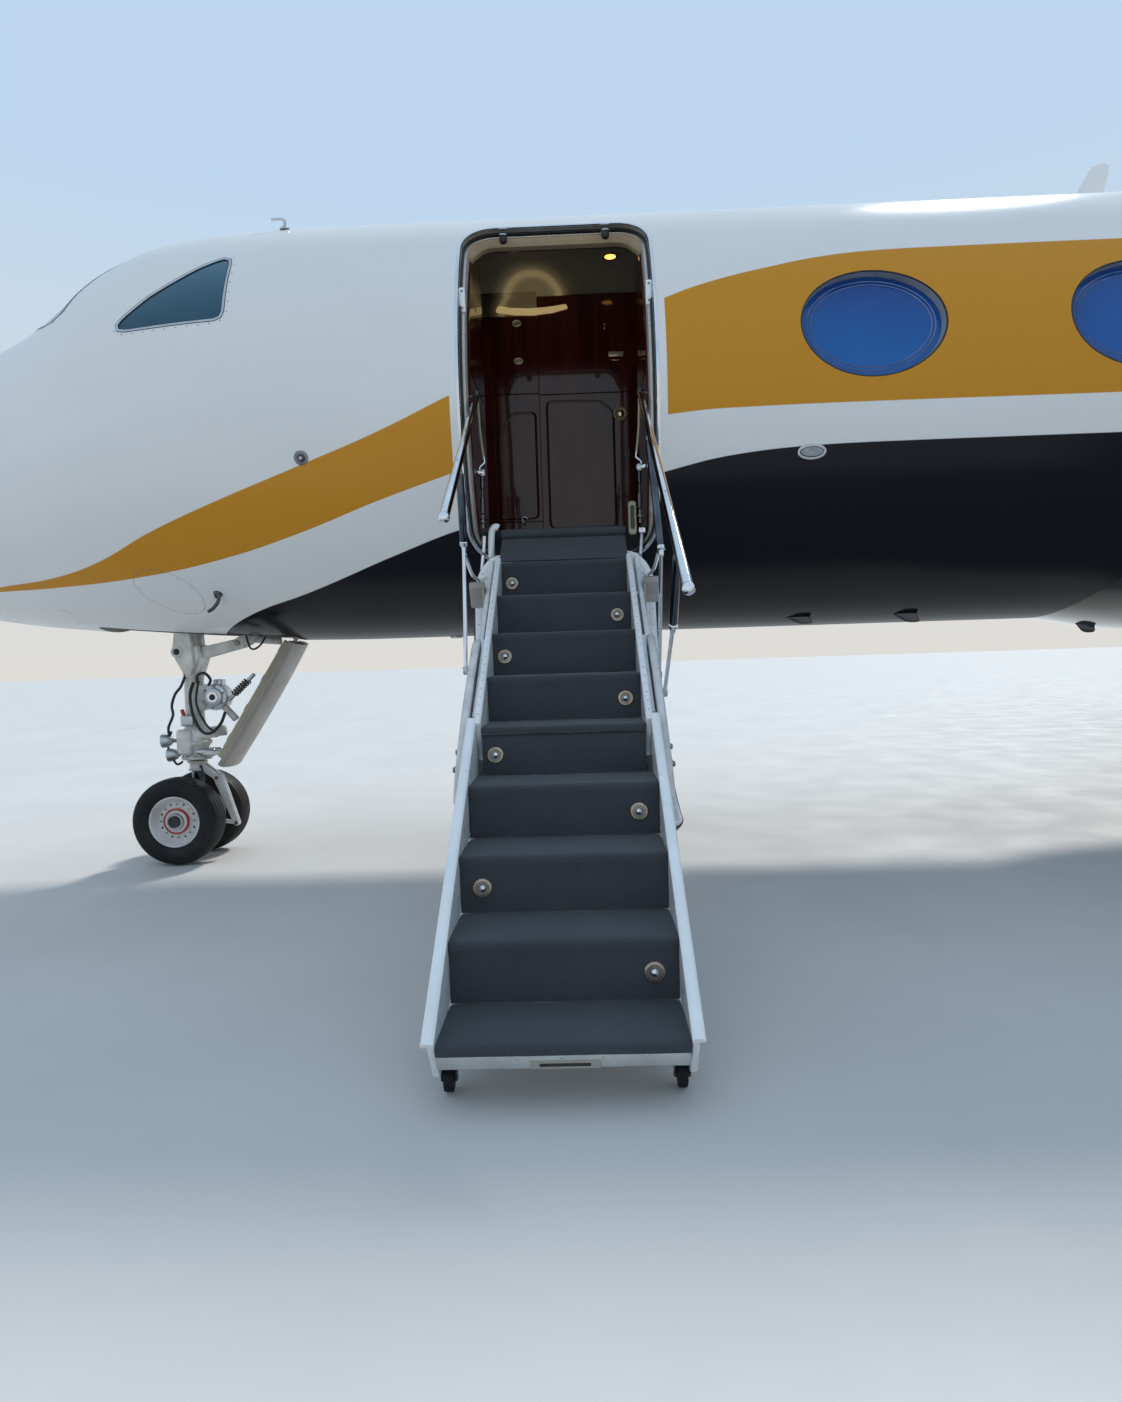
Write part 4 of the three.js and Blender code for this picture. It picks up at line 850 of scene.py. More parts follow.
# a filled outline that follows the skin, drawn as rings that shrink to its middle
def skinPatch(form, outline, deep, put, look, rings=10):
    cu, cv = (sum(p[i] for p in outline) / len(outline) for i in (0, 1))
    lines = []
    for k in range(rings + 1):
        share = 1 - k / rings * .999
        lines.append([put(cu + (u - cu) * share, cv + (v - cv) * share, deep) for u, v in outline])
    add(form, ringSkin(lines, (False, True)), look)


# turns faces of a one-sided skin so that they look away from the hull's middle line
def facedOut(form):
    for i, face in enumerate(form["faces"]):
        a, b, c = (Vector(form["points"][k]) for k in face[:3])
        out = Vector((0, a.y, a.z - hullMiddleZ))
        if (b - a).cross(c - a).dot(out) < 0:
            form["faces"][i] = tuple(reversed(face))


def makeCabinWindows():
    t = windowTrim
    for name, side in (("Left", -1), ("Right", 1)):
        put = lambda x, z, deep: hullSide(x, z, side, deep)
        form = newForm()
        for x in windowSet["xs"]:
            line = ellipseLine(x, windowSet["z"], windowSet["halfX"], windowSet["halfZ"], 96)
            inner = offsetOutline(line, t["paneEdge"])
            skinStrip(form, line, [(-t["sealWide"], .0005, None), (-t["sealWide"] * .6, -.0012, "seal"),
                (.0015, -.0004, "seal"), (.0025, .006, "seal"), (.003, .01, "reveal"),
                (.007, t["revealDeep"] - .004, "reveal"), (t["paneEdge"], t["revealDeep"], "bright")], put)
            first, second = t["rings"]
            steps = [(0, t["revealDeep"], None), (.0015, t["revealDeep"] + .002, "seal")]
            for start in (first, second):
                steps += [(start - .003, t["revealDeep"] + .002, "cabinGlass"),
                    (start, t["revealDeep"] - .001, "ringGlow"),
                    (start + .003, t["revealDeep"] + .002, "ringGlow")]
            skinStrip(form, inner, steps, put)
            skinPatch(form, offsetOutline(inner, second + .003), t["revealDeep"] + .002, put, "cabinGlass")
        facedOut(form)
        makePiece("cabinWindows" + name, form, standsFor=["cabin_windows_" + name.lower()],
            crease=50)


cockpitTrim = {"frameWide": .014, "proud": .0025, "glassDeep": .004, "fastenerEvery": .058, "fastenerOut": .026,
    "fastenerR": .0036}


def evenlySpaced(outline, step):
    points = [Vector(p) for p in outline] + [Vector(outline[0])]
    lengths = [(b - a).length for a, b in zip(points, points[1:])]
    total = sum(lengths)
    count = max(1, round(total / step))
    out, k, walked = [], 0, 0.0
    for i in range(count):
        target = total * i / count
        while walked + lengths[k] < target:
            walked += lengths[k]
            k += 1
        share = (target - walked) / max(lengths[k], 1e-9)
        p = points[k].lerp(points[k + 1], share)
        out.append((p.x, p.y))
    return out


def makeCockpitGlass():
    t = cockpitTrim
    for name, side in (("Left", -1), ("Right", 1)):
        for kind, corners in (("sidePane", sidePane), ("windscreen", screenPane)):
            if kind == "sidePane":
                put = lambda x, z, deep: hullSide(x, z, side, deep)
                node = "side_window_"
            else:
                put = lambda y, z, deep: hullFront(side * y, z, deep)
                node = "windscreen_"
            line = evenlySpaced(softCorners(corners, .045), .03)
            form = newForm()
            skinStrip(form, line, [(-t["frameWide"], .0005, None),
                (-t["frameWide"] + .001, -t["proud"], "seal"), (-t["frameWide"] + .003, -t["proud"], "seal"),
                (-.001, -t["proud"], "alloy"), (.0005, -t["proud"] + .001, "bright"), (.001, .003, "seal"),
                (.006, t["glassDeep"], "seal")], put)
            skinPatch(form, offsetOutline(line, .006), t["glassDeep"], put, "cockpitGlass")
            facedOut(form)
            lowSide = [p for p in evenlySpaced(offsetOutline(line, -t["fastenerOut"]), t["fastenerEvery"])
                if kind == "windscreen" or p[0] > -10.27 or p[1] < 2.93]
            for u, v in lowSide:
                at = Vector(put(u, v, 0.0))
                add(form, domeShape(at, hullNormal(*at), t["fastenerR"], .0018, 10), "steel")
            makePiece(kind + name, form, standsFor=[node + name.lower()], crease=50)


looks["ringGlow"] = workedLook("paneRing", (.16, .19, .36), (.1, .13, .28), .15, .2, 1.0, scale=9, fine=200)
makeCabinWindows()
makeCockpitGlass()
print("windows made")

frameSet = {"sealR": .008}


# the bead, seal and lining round the doorway
def makeDoorFrame():
    t = frameSet
    put = lambda x, z, deep: hullSide(x, z, -1, deep)
    line = evenlySpaced(doorOutline(0.0, 10), .02)
    form = newForm()
    skinStrip(form, line, [(-.016, .0006, None), (-.0155, -.0012, "alloy"), (-.007, -.0025, "bright"),
        (-.001, -.0015, "bright"), (.0015, .003, "bright"), (.002, .018, "bright"), (.0025, .019, "jamb"),
        (.003, .03, "jamb")], put)
    seal = [(.006 + t["sealR"] * math.cos(a), .04 + t["sealR"] * math.sin(a)) for a in turns(12)]
    add(form, sweptBand(line, seal, put), "seal")
    ledge = [(.001, .05), (.022, .05), (.026, .054), (.026, .09), (.03, .096), (.001, .096)]
    add(form, sweptBand(line, ledge, put), "jamb")
    inner = [(.024, .098), (.034, .098), (.038, .104), (.038, .15), (.02, .15)]
    add(form, sweptBand(line, inner, put), "veneer")
    for z in (2.95,):  # guide blocks that meet the closed door
        for x, way in ((doorSet["x"] - doorSet["half"], 1), (doorSet["x"] + doorSet["half"], -1)):
            y = hullSide(x, z, -1, .05)[1]
            a, b = sorted((x + way * .002, x + way * .032))
            add(form, blockShape((a, y - .03, z - .06), (b, y + .012, z + .06), .006, 3), "stairWhite")
            for dz in (-.04, .04):
                add(form, turnedShape([(-.001, .006), (.001, .006), (.0025, .003)], "y",
                    ((a + b) / 2, y - .0325, z + dz), 12), "steel")
    for x in spaced(doorSet["x"] - .3, doorSet["x"] + .3, .1):
        y = hullSide(x, doorSet["head"], -1, .074)[1]
        add(form, turnedShape([(0.0, .005), (.002, .005), (.003, .002)], "z", (x, y, doorSet["head"] - .0295),
            10), "steel")
    makePiece("doorFrame", form, crease=40)


makeDoorFrame()
print("door frame made")

noseLineSet = {"wide": .0022, "lift": .0003}


# thin joint line laid on the skin
def skinLine(form, outline, put):
    half = noseLineSet["wide"] / 2
    points = [Vector(put(u, v, -noseLineSet["lift"])) for u, v in outline]
    rings = []
    for i, p in enumerate(points):
        along = (points[(i + 1) % len(points)] - points[i - 1]).normalized()
        across = along.cross(hullNormal(*p)).normalized() * half
        rings.append((p + across, p - across))
    count = len(rings)
    corners = [q for pair in rings for q in pair]
    faces = []
    for i in range(count):
        a, b = 2 * i, 2 * ((i + 1) % count)
        faces.append((a, b, b + 1, a + 1))
    add(form, ([tuple(q) for q in corners], faces), "jointLine")


def makeSkinDetails():
    left = lambda x, z, deep: hullSide(x, z, -1, deep)
    right = lambda x, z, deep: hullSide(x, z, 1, deep)
    lines = newForm()
    band = [hullRing(hullSet["radomeEnd"] + dx, -.0004, 144) for dx in (-.0016, .0016)]
    add(lines, ringSkin(band, (False, False)), "jointLine")
    for put in (left, right):
        oval = [(-10.776 + .182 * math.cos(a) * math.cos(.42) + .122 * math.sin(a) * math.sin(.42),
            1.609 - .182 * math.cos(a) * math.sin(.42) * .9 + .1 * math.sin(a) * math.cos(.42))
            for a in turns(72)]
        skinLine(lines, oval, put)
        for u, v in evenlySpaced(offsetOutline(oval, .014), .075):
            at = Vector(put(u, v, 0))
            add(lines, domeShape(at, hullNormal(*at), .003, .0008, 8), "steel")
        skinLine(lines, softCorners([(-11.98, 1.5), (-11.5, 1.475), (-11.48, 1.54), (-11.96, 1.57)], .02), put)
        skinLine(lines, softCorners([(-4.9, 2.05), (-4.2, 2.05), (-4.2, 2.4), (-4.9, 2.4)], .04), put)
        skinLine(lines, softCorners([(2.2, 2.2), (3.1, 2.2), (3.1, 3.0), (2.2, 3.0)], .06), put)
        skinLine(lines, softCorners([(8.3, 2.75), (9.0, 2.8), (9.0, 3.2), (8.3, 3.2)], .05), put)
    facedOut(lines)
    makePiece("skinLines", lines, crease=60)

    fittings = newForm()
    for side in (-1, 1):
        at = Vector(hullSide(-9.872, 2.2, side))
        out = hullNormal(*at)
        for profile, look in (([(-.002, .036), (.001, .036), (.002, .034), (.002, .02)], "steel"),
                ([(.0, .0215), (.007, .0205), (.010, .0165), (.006, .012), (.006, .0)], "darkChrome"),
                ([(.005, .0085), (.011, .008), (.012, .004), (.012, .0)], "alloy")):
            add(fittings, turnedBetween(at, at + out, profile, 32), look)
        base = Vector(hullSide(-10.502, 1.588, side))  # air-angle vane
        out = hullNormal(*base)
        add(fittings, turnedBetween(base, base + out,
            [(-.002, .026), (.002, .0255), (.004, .022), (.012, .017), (.022, .015), (.025, .01), (.025, 0)],
            28), "darkChrome")
        swing = base + out * .02
        down, aft = Vector((0, 0, -1)), Vector((1, 0, 0))
        vane = [swing + out * o + aft * (a) + down * d for o, a,
            d in ((0, .014, -.006), (.004, .004, .028), (.006, -.024, .060), (.006, -.050, .075))]
        add(fittings, pipeShape(vane, .01, 12, 4), "darkChrome")
    at = Vector(hullTop(-10.087, -.55))
    add(fittings, turnedBetween(at, at + Vector((0, 0, 1)),
        [(-.004, .03), (.004, .03), (.008, .02), (.018, .011), (.05, .009), (.054, 0)], 20), "alloy")
    add(fittings, pipeShape([at + Vector((0, 0, .045)), at + Vector((-.02, 0, .058)),
        at + Vector((-.075, 0, .058))], .007, 12, 3), "alloy")
    makePiece("sensorFittings", fittings)


# swept blade antenna standing on the skin
def bladeShape(foot, tall, chord, thick, rake, down=False):
    rings = []
    for share in (-.04, 0.0, .15, .4, .65, .85, .96, 1.0):
        size = 1 - .45 * max(share, 0)
        edge = 1.0 if share < .96 else (.8 if share < 1 else .35)
        line = []
        for k in range(24):
            a = 2 * math.pi * k / 24
            u = math.cos(a) * chord / 2 * size * edge + rake * max(share, 0)
            w = math.sin(a) * thick / 2 * size * edge * (1 - .25 * math.cos(a))
            line.append((foot[0] + u, foot[1] + w, foot[2] + tall * share * (-1 if down else 1)))
        rings.append(line)
    return outward(ringSkin(rings))


def makeAntennas():
    blades = newForm()
    add(blades, bladeShape(hullTop(-5.46, 0), .3, .2, .022, .13), "white")
    add(blades, bladeShape(hullTop(-1.6, 0), .3, .22, .024, .14), "white")
    add(blades, bladeShape(hullTop(5.2, 0), .24, .18, .02, .1), "white")
    makePiece("roofAntennas", blades, crease=40)
    below = newForm()
    for x, y, tall in ((-7.26, -.3, .04), (-6.64, -.3, .05), (-5.465, 0.0, .1)):
        add(below, bladeShape(hullTop(x, y, up=False), tall, .14, .016, .05, True), "black")
    makePiece("bellyAntennas", below, crease=40)
    lamp = newForm()
    for side in (-1, 1):
        put = lambda x, z, deep: hullSide(x, z, side, deep)
        line = ellipseLine(-7.375, 2.142, .062, .028, 48)
        skinStrip(lamp, line, [(-.008, .0004, None), (-.007, -.003, "alloy"), (.002, -.0035, "alloy"),
            (.005, 0.0, "bright"), (.007, .002, "seal")], put)
        skinPatch(lamp, offsetOutline(line, .007), -.001, put, "lampGlass", 5)
    facedOut(lamp)
    makePiece("bellyLights", lamp)
    beacons = newForm()
    for at, up in ((hullTop(-3.0, 0), 1), ((-3.2, 0, 1.124), -1)):
        add(beacons, turnedBetween(at, Vector(at) + Vector((0, 0, up)),
            [(-.004, .07), (.01, .07), (.014, .066), (.016, .055)], 32), "alloy")
        add(beacons, turnedBetween(at, Vector(at) + Vector((0, 0, up)),
            [(.012, .055), (.03, .053), (.055, .044), (.07, .028), (.075, 0)], 32), "redGlass")
    makePiece("beacons", beacons)


looks["jointLine"] = workedLook("jointSealant", (.2, .2, .21), (.12, .12, .12), .5, scale=30, fine=300)
looks["lampGlass"] = workedLook("lampLens", (.3, .32, .34), (.16, .17, .19), .08, .1, 1.0, scale=40, fine=160,
    bump=.4)
looks["redGlass"] = workedLook("redLens", (.42, .015, .015), (.25, .008, .01), .1, coat=1.0, scale=30, fine=120,
    bump=.3)
makeSkinDetails()
makeAntennas()
print("skin details made")


# airstair: nosings run down and out from the threshold by one rise and one going a step
stairSet = {"threshold": (-.782, 1.853), "rise": .186, "going": .278, "upperHalf": .3135, "lowerHalf": .3335,
    "treadThick": .03, "noseRound": .013, "carpetThick": .009, "puckR": .031}


def nosing(step):
    y, z = stairSet["threshold"]
    return y - stairSet["going"] * step, z - stairSet["rise"] * step


def onStair(step, lift):
    y, z = nosing(step)
    length = math.hypot(stairSet["going"], stairSet["rise"])
    return y - lift * stairSet["rise"] / length, z + lift * stairSet["going"] / length


def arcPoints(cy, cz, radius, start, end, count):
    return [(cy + radius * math.cos(math.radians(start + (end - start) * k / count)),
        cz + radius * math.sin(math.radians(start + (end - start) * k / count))) for k in range(count + 1)]


# the carpet's face from one tread's back, over its rounded nose and down its riser
def carpetStep(step, riser=True):
    s = stairSet
    y, z = nosing(step)
    r = s["noseRound"]
    back = min(y + s["going"] + .004, -.946)
    line = [(back, z + .0005), (y + .11, z), (y + .05, z)] + arcPoints(y + r, z - r, r, 90, 180, 7)
    line += arcPoints(y + r, z - .024, r, 180, 196, 2)
    if riser:
        nextZ = z - s["rise"]
        line += [(y + .0045, z - .045), (y + .006, z - .07), (y + .0065, z - .1), (y + .007, nextZ + .012),
            (y + .0065, nextZ + .004)]
    return line


# a carpet face with thickness and softly rounded side edges, drawn across the stair
def carpetSheet(line, half, thick):
    under = []
    for i, p in enumerate(line):
        a, b = Vector(line[max(i - 1, 0)]), Vector(line[min(i + 1, len(line) - 1)])
        along = (b - a).normalized()
        under.append((p[0] + along.y * -thick, p[1] + along.x * thick))
    rings = []
    for share in [-1, -.994, -.975] + [k / 12 for k in range(-11, 12)] + [.975, .994, 1]:
        edge = {1: .35, .994: .75}.get(abs(share), 1.0)
        sag = .0006 * math.sin(share * 7) if abs(share) < .97 else 0
        top = [(u + (q[0] - u) * (1 - edge) * .5, v + (q[1] - v) * (1 - edge) * .5 + sag) for (u, v),
            q in zip(line, under)]
        low = [(q[0] + (u - q[0]) * (1 - edge) * .5, q[1] + (v - q[1]) * (1 - edge) * .5) for (u, v),
            q in zip(line, under)]
        rings.append([(doorSet["x"] + share * half, u, v) for u, v in top + low[::-1]])
    return outward(ringSkin(rings))


# studs let into the risers: x from the middle, step whose riser carries it, share down that riser
puckPlaces = [(-.262, 1, .52), (.25, 2, .52), (-.262, 3, .5), (.252, 4, .5), (-.262, 5, .52), (.262, 6, .5),
    (-.262, 7, .5), (.262, 8, .5)]


def addPuck(form, x, y, z):
    r = stairSet["puckR"]
    out = Vector((0, -1, 0))
    at = Vector((x, y, z))
    for profile, look in (([(-.004, r), (.002, r), (.0042, r * .93), (.0044, r * .76), (.001, r * .72)],
            "puckRing"), ([(.0, r * .71), (.0015, r * .70), (.0015, r * .40)], "steel"),
            ([(.0, r * .44), (.004, r * .43), (.010, r * .34), (.0135, r * .18), (.0145, 0)], "bright")):
        add(form, turnedBetween(at, at + out, profile, 28), look)


# round-topped cap that runs down a stair's side plate
def capStrip(form, fromStep, toStep, lift, x0, x1, tall, look):
    wide = x1 - x0
    section = [(0, 0), (0, .55), (.12, .85), (.3, 1), (.7, 1), (.88, .85), (1, .55), (1, 0)]
    rings = []
    for step in spaced(fromStep, toStep, .5):
        rings.append([(x0 + u * wide, *onStair(step, lift + v * tall)) for u, v in section])
    add(form, outward(ringSkin(rings)), look)


def rivetRow(form, points, normal, radius=.0032, look="steel"):
    for p in points:
        add(form, domeShape(p, normal, radius, .0016, 8), look)


def makeStairCarpet():
    s = stairSet
    x0 = doorSet["x"]
    upper, lower = newForm(), newForm()
    threshold = arcPoints(-.874, 1.829, .021, 60, 300, 14)
    flap = [(-.87, 1.8505)] + threshold + [(-.884, 1.803), (-.925, 1.768), (-1.005, 1.7), (-1.043, 1.6745)]
    add(upper, carpetSheet(flap, .322, .006), "carpet")
    for step in range(1, 6):
        add(upper, carpetSheet(carpetStep(step, step < 5), s["upperHalf"], s["carpetThick"]), "carpet")
    riserTop = nosing(5)
    add(lower, carpetSheet([(riserTop[0] + .014, riserTop[1] - .0315),
        (riserTop[0] + .0068, riserTop[1] - .045), (riserTop[0] + .0065, riserTop[1] - .1),
        (riserTop[0] + .0065, riserTop[1] - s["rise"] + .004)], s["upperHalf"] - .0025, .007), "carpet")
    for step in range(6, 10):
        add(lower, carpetSheet(carpetStep(step, step < 9), s["lowerHalf"], s["carpetThick"]), "carpet")
    for form, steps, half in ((upper, range(1, 6), s["upperHalf"]), (lower, range(6, 10), s["lowerHalf"])):
        for step in steps:  # alloy tray under each tread, and a backing sheet behind each riser
            y, z = nosing(step)
            back = min(y + s["going"] + .02, -.948)
            add(form, blockShape((x0 - half + .001, y + .012, z - s["treadThick"]),
                (x0 + half - .001, back, z - .008), .003), "fascia")
            if step not in (5, 9):
                add(form, blockShape((x0 - half + .001, y + .0165, z - s["rise"] - .02),
                    (x0 + half - .001, y + .024, z - .03), .002), "fascia")
    for x, step, share in puckPlaces:
        y, z = nosing(step)
        addPuck(upper if step < 5 else lower, x0 + x, y + .0062, z - s["rise"] * share - .01)
    return upper, lower


def makeStairSides(upper, lower):
    x0 = doorSet["x"]
    for side in (-1, 1):
        for form, start, end, up, down, inner in ((upper, 1.05, 5.0, .020, .17, .3145),
                (lower, 4.9, 9.0, .022, .15, .3345)):
            outline = [onStair(start, up), onStair(end, up), onStair(end, -down), onStair(start, -down)]
            add(form, slabShape(softCorners(outline, .018), "x", x0 + side * inner, x0 + side * (inner + .0195),
                .0025), "stairWhite")
        a, b = sorted((x0 + side * .3125, x0 + side * .3405))
        capStrip(upper, 1.0, 5.02, .012, a, b, .014, "stairWhite")
        a, b = sorted((x0 + side * .3315, x0 + side * .3665))
        capStrip(lower, 4.93, 9.03, .014, a, b, .015, "stairWhite")
        for step in spaced(1.3, 4.85, .17):  # rivets along the outside and on the cap
            rivetRow(upper, [(x0 + side * .3265, *onStair(step, .0262))], (0, -.55, .83), .0028)
            rivetRow(upper, [(x0 + side * .3340, *onStair(step, -.035)),
                (x0 + side * .3340, *onStair(step, -.12))], (side, 0, 0))
        for step in spaced(5.1, 8.9, .25):
            rivetRow(lower, [(x0 + side * .3540, *onStair(step, -.035)),
                (x0 + side * .3540, *onStair(step, -.11))], (side, 0, 0))
        # curved arm that carries the lower flight past the fold
        arm = [onStair(3.05, -.02), onStair(3.35, .012), onStair(4.3, .016), onStair(5.0, .004),
            onStair(5.75, -.035), onStair(6.0, -.085), onStair(5.6, -.12), onStair(4.9, -.10),
            onStair(4.0, -.075), onStair(3.3, -.07)]
        a, b = sorted((x0 + side * .3625, x0 + side * .3945))
        line = [(p.x, p.y) for p in curvedLine([(*p, 0) for p in arm + arm[:1]], 6)][:-1]
        add(lower, slabShape(line, "x", a, b, .006), "strutWhite")
        a, b = sorted((x0 + side * .3545, x0 + side * .3625))
        for step in (5.25, 5.55):  # bolts through arm and side plate
            y, z = onStair(step, -.05)
            add(lower, barShape((a, y, z), (b, y, z), .017), "steel")
            add(lower, turnedBetween((x0 + side * .3940, y, z), (x0 + side * .41, y, z),
                [(0, .018), (.003, .018), (.004, .012), (.011, .0115), (.013, .008)], 6), "steel")
        a, b = sorted((x0 + side * .3345, x0 + side * .3625))
        y, z = onStair(3.5, -.03)
        add(upper, barShape((a, y, z), (b, y, z), .014), "steel")
        # inner guide rail between side plate and arm
        add(upper, slabShape([onStair(3.1, -.01), onStair(4.75, -.01), onStair(4.75, -.045),
            onStair(3.1, -.045)], "x", x0 + side * .3425, x0 + side * .3555, .003), "stairWhite")


def makeStairFoot(form):
    s = stairSet
    x0 = doorSet["x"]
    y, z = nosing(9)
    half = s["lowerHalf"] - .004
    add(form, blockShape((x0 - half, y + .001, z - .062), (x0 + half, y + .022, z - .027), .004, 3), "fascia")
    add(form, blockShape((x0 - half + .004, y + .022, z - .060), (x0 + half - .004, y + .24, z - .031), .004),
        "fascia")
    rivetRow(form, [(x0 + dx, y + .001, z - .033) for dx in (-.12, -.005, .105, .215)], (0, -1, 0), .0045,
        "alloy")
    frame = roundedRect(x0 + .005, z - .0515, .092, .0105, .003, 3)
    add(form, slabShape(frame, "y", y - .0022, y + .002, .001), "panelGrey")
    add(form, slabShape(roundedRect(x0 + .005, z - .0515, .067, .0042, .003, 3), "y", y - .003, y + .002,
        .0005), "seal")
    for side in (-1, 1):
        at, cy = x0 + side * .318, y + .13
        add(form, turnedShape([(-.0145, .026), (-.0125, .034), (-.008, .0357), (.008, .0357), (.0125, .034),
            (.0145, .026), (.0145, .008)], "x", (at, cy, .0357), 40), "tyre")
        add(form, turnedShape([(-.0155, .0), (-.0155, .016), (-.013, .02), (.013, .02), (.0155, .016),
            (.0155, .0)], "x", (at, cy, .0357), 24), "darkPlastic")
        for arm in (-1, 1):
            add(form, slabShape(softCorners([(cy - .014, .030), (cy + .014, .030), (cy + .022, .098),
                (cy - .022, .098)], .008), "x", at + arm * .017, at + arm * .022, .001), "darkPlastic")
        add(form, barShape((at - .024, cy, .0357), (at + .024, cy, .0357), .006), "steel")
        add(form, blockShape((at - .024, cy - .024, .094), (at + .024, cy + .024, z - .058), .003),
            "darkPlastic")


upperFlight, lowerFlight = makeStairCarpet()
makeStairSides(upperFlight, lowerFlight)
makeStairFoot(lowerFlight)
makePiece("upperFlight", upperFlight, standsFor=["stair_upper"], crease=38)
makePiece("lowerFlight", lowerFlight, standsFor=["stair_lower"], crease=38)
print("stair flights made")

# rails: x, points as (y, z), and posts as (x, top, foot of the sleeve, foot of the rod)
railSet = {"Forward": {"x": -9.04, "topX": -9.008, "line": [(-1.06, 2.488), (-2.075, 1.735)],
    "post": [((-1.655, 2.015), (-1.5, 1.7), (-1.585, 1.135))]},
    "Aft": {"x": -8.16, "topX": -8.195, "line": [(-1.06, 2.474), (-2.55, 1.395)],
        "post": [((-1.4, 2.19), (-1.59, 1.64), (-1.33, 1.085)),
        ((-2.3, 1.555), (-2.02, 1.285), (-1.58, 1.01))]}}


def makeHandrails():
    for name, s in railSet.items():
        x = s["x"]
        side = 1 if x > doorSet["x"] else -1
        xa = s["topX"]
        form = newForm()
        (ya, za), (yb, zb) = s["line"]
        jamb = doorSet["x"] + side * .4745
        # main rail: swells a little towards its lower end, with a ball on it
        length = math.hypot(yb - ya, zb - za)
        add(form, turnedBetween((xa, ya, za), (x, yb, zb),
            [(-.03, .006), (-.026, .012), (-.004, .0135), (-.002, .0150), (.01, .0158), (length * .5, .0180),
            (length - .02, .0208), (length - .006, .0212), (length, .0195)], 36), "chrome")
        add(form, ballShape((x, yb, zb), .0238, 32), "chrome")
        for share in (.35, .37, .62):
            at = Vector((xa + (x - xa) * share, ya + (yb - ya) * share, za + (zb - za) * share + .003))
            add(form, domeShape(at + Vector((0, -.010, .0130)), (0, -.58, .81), .0042, .002, 10), "steel")
        # knuckle at the jamb
        add(form, barShape((jamb, ya + .03, za), (xa, ya + .004, za + .006), .0085), "chrome")
        add(form, turnedBetween((xa, ya + .012, za + .026), (xa, ya - .010, za - .010),
            [(0, .008), (.006, .0165), (.036, .0165), (.042, .010)], 24), "darkPlastic")
        for top, mid, foot in s["post"]:
            topP, midP, footP = (Vector((x, *p)) for p in (top, mid, foot))
            topP.x = xa + (x - xa) * (top[0] - ya) / (yb - ya)
            add(form, blockShape((topP.x - .011, top[0] - .016, top[1] - .032),
                (topP.x + .011, top[0] + .016, top[1] - .004), .005), "alloy")
            span = (midP - topP).length
            add(form, turnedBetween(topP + (midP - topP) * .05, midP,
                [(0, .008), (.01, .0165), (.02, .0175), (span * .95 - .05, .0175), (span * .95 - .03, .0165),
                (span * .95, .012)], 32), "darkChrome")
            add(form, turnedBetween(midP - (midP - topP).normalized() * .02,
                midP + (midP - topP).normalized() * .03,
                [(0, .0145), (.004, .0185), (.02, .0185), (.026, .013), (.045, .012), (.05, .008)], 28),
                "bright")
            add(form, barShape(midP, footP, .0092, .0092, 20), "chrome")
            rib = doorSet["x"] + side * .3865
            add(form, barShape((rib, *foot), (x + side * .012, *foot), .0095), "alloy")
            add(form, turnedBetween((x - side * .0115, *foot), (x + side * .02, *foot),
                [(0, .017), (.003, .019), (.02, .019), (.0235, .015)], 24), "alloy")
        makePiece("handrail" + name, form, standsFor=["handrail_" + name.lower()],
            crease=36)


makeHandrails()
print("handrails made")


# the door, drawn shut and then swung down about its sill hinge
doorShell = {"hinge": (-.882, 1.694), "open": 137.7, "skin": .035, "clear": -.009, "ribX": (.3625, .3845),
    "rivetEvery": .075}


def doorSwing():
    y, z = doorShell["hinge"]
    return Matrix.Translation((0, y, z)) @ Matrix.Rotation(math.radians(doorShell["open"]), 4,
        "X") @ Matrix.Translation((0, -y, -z))


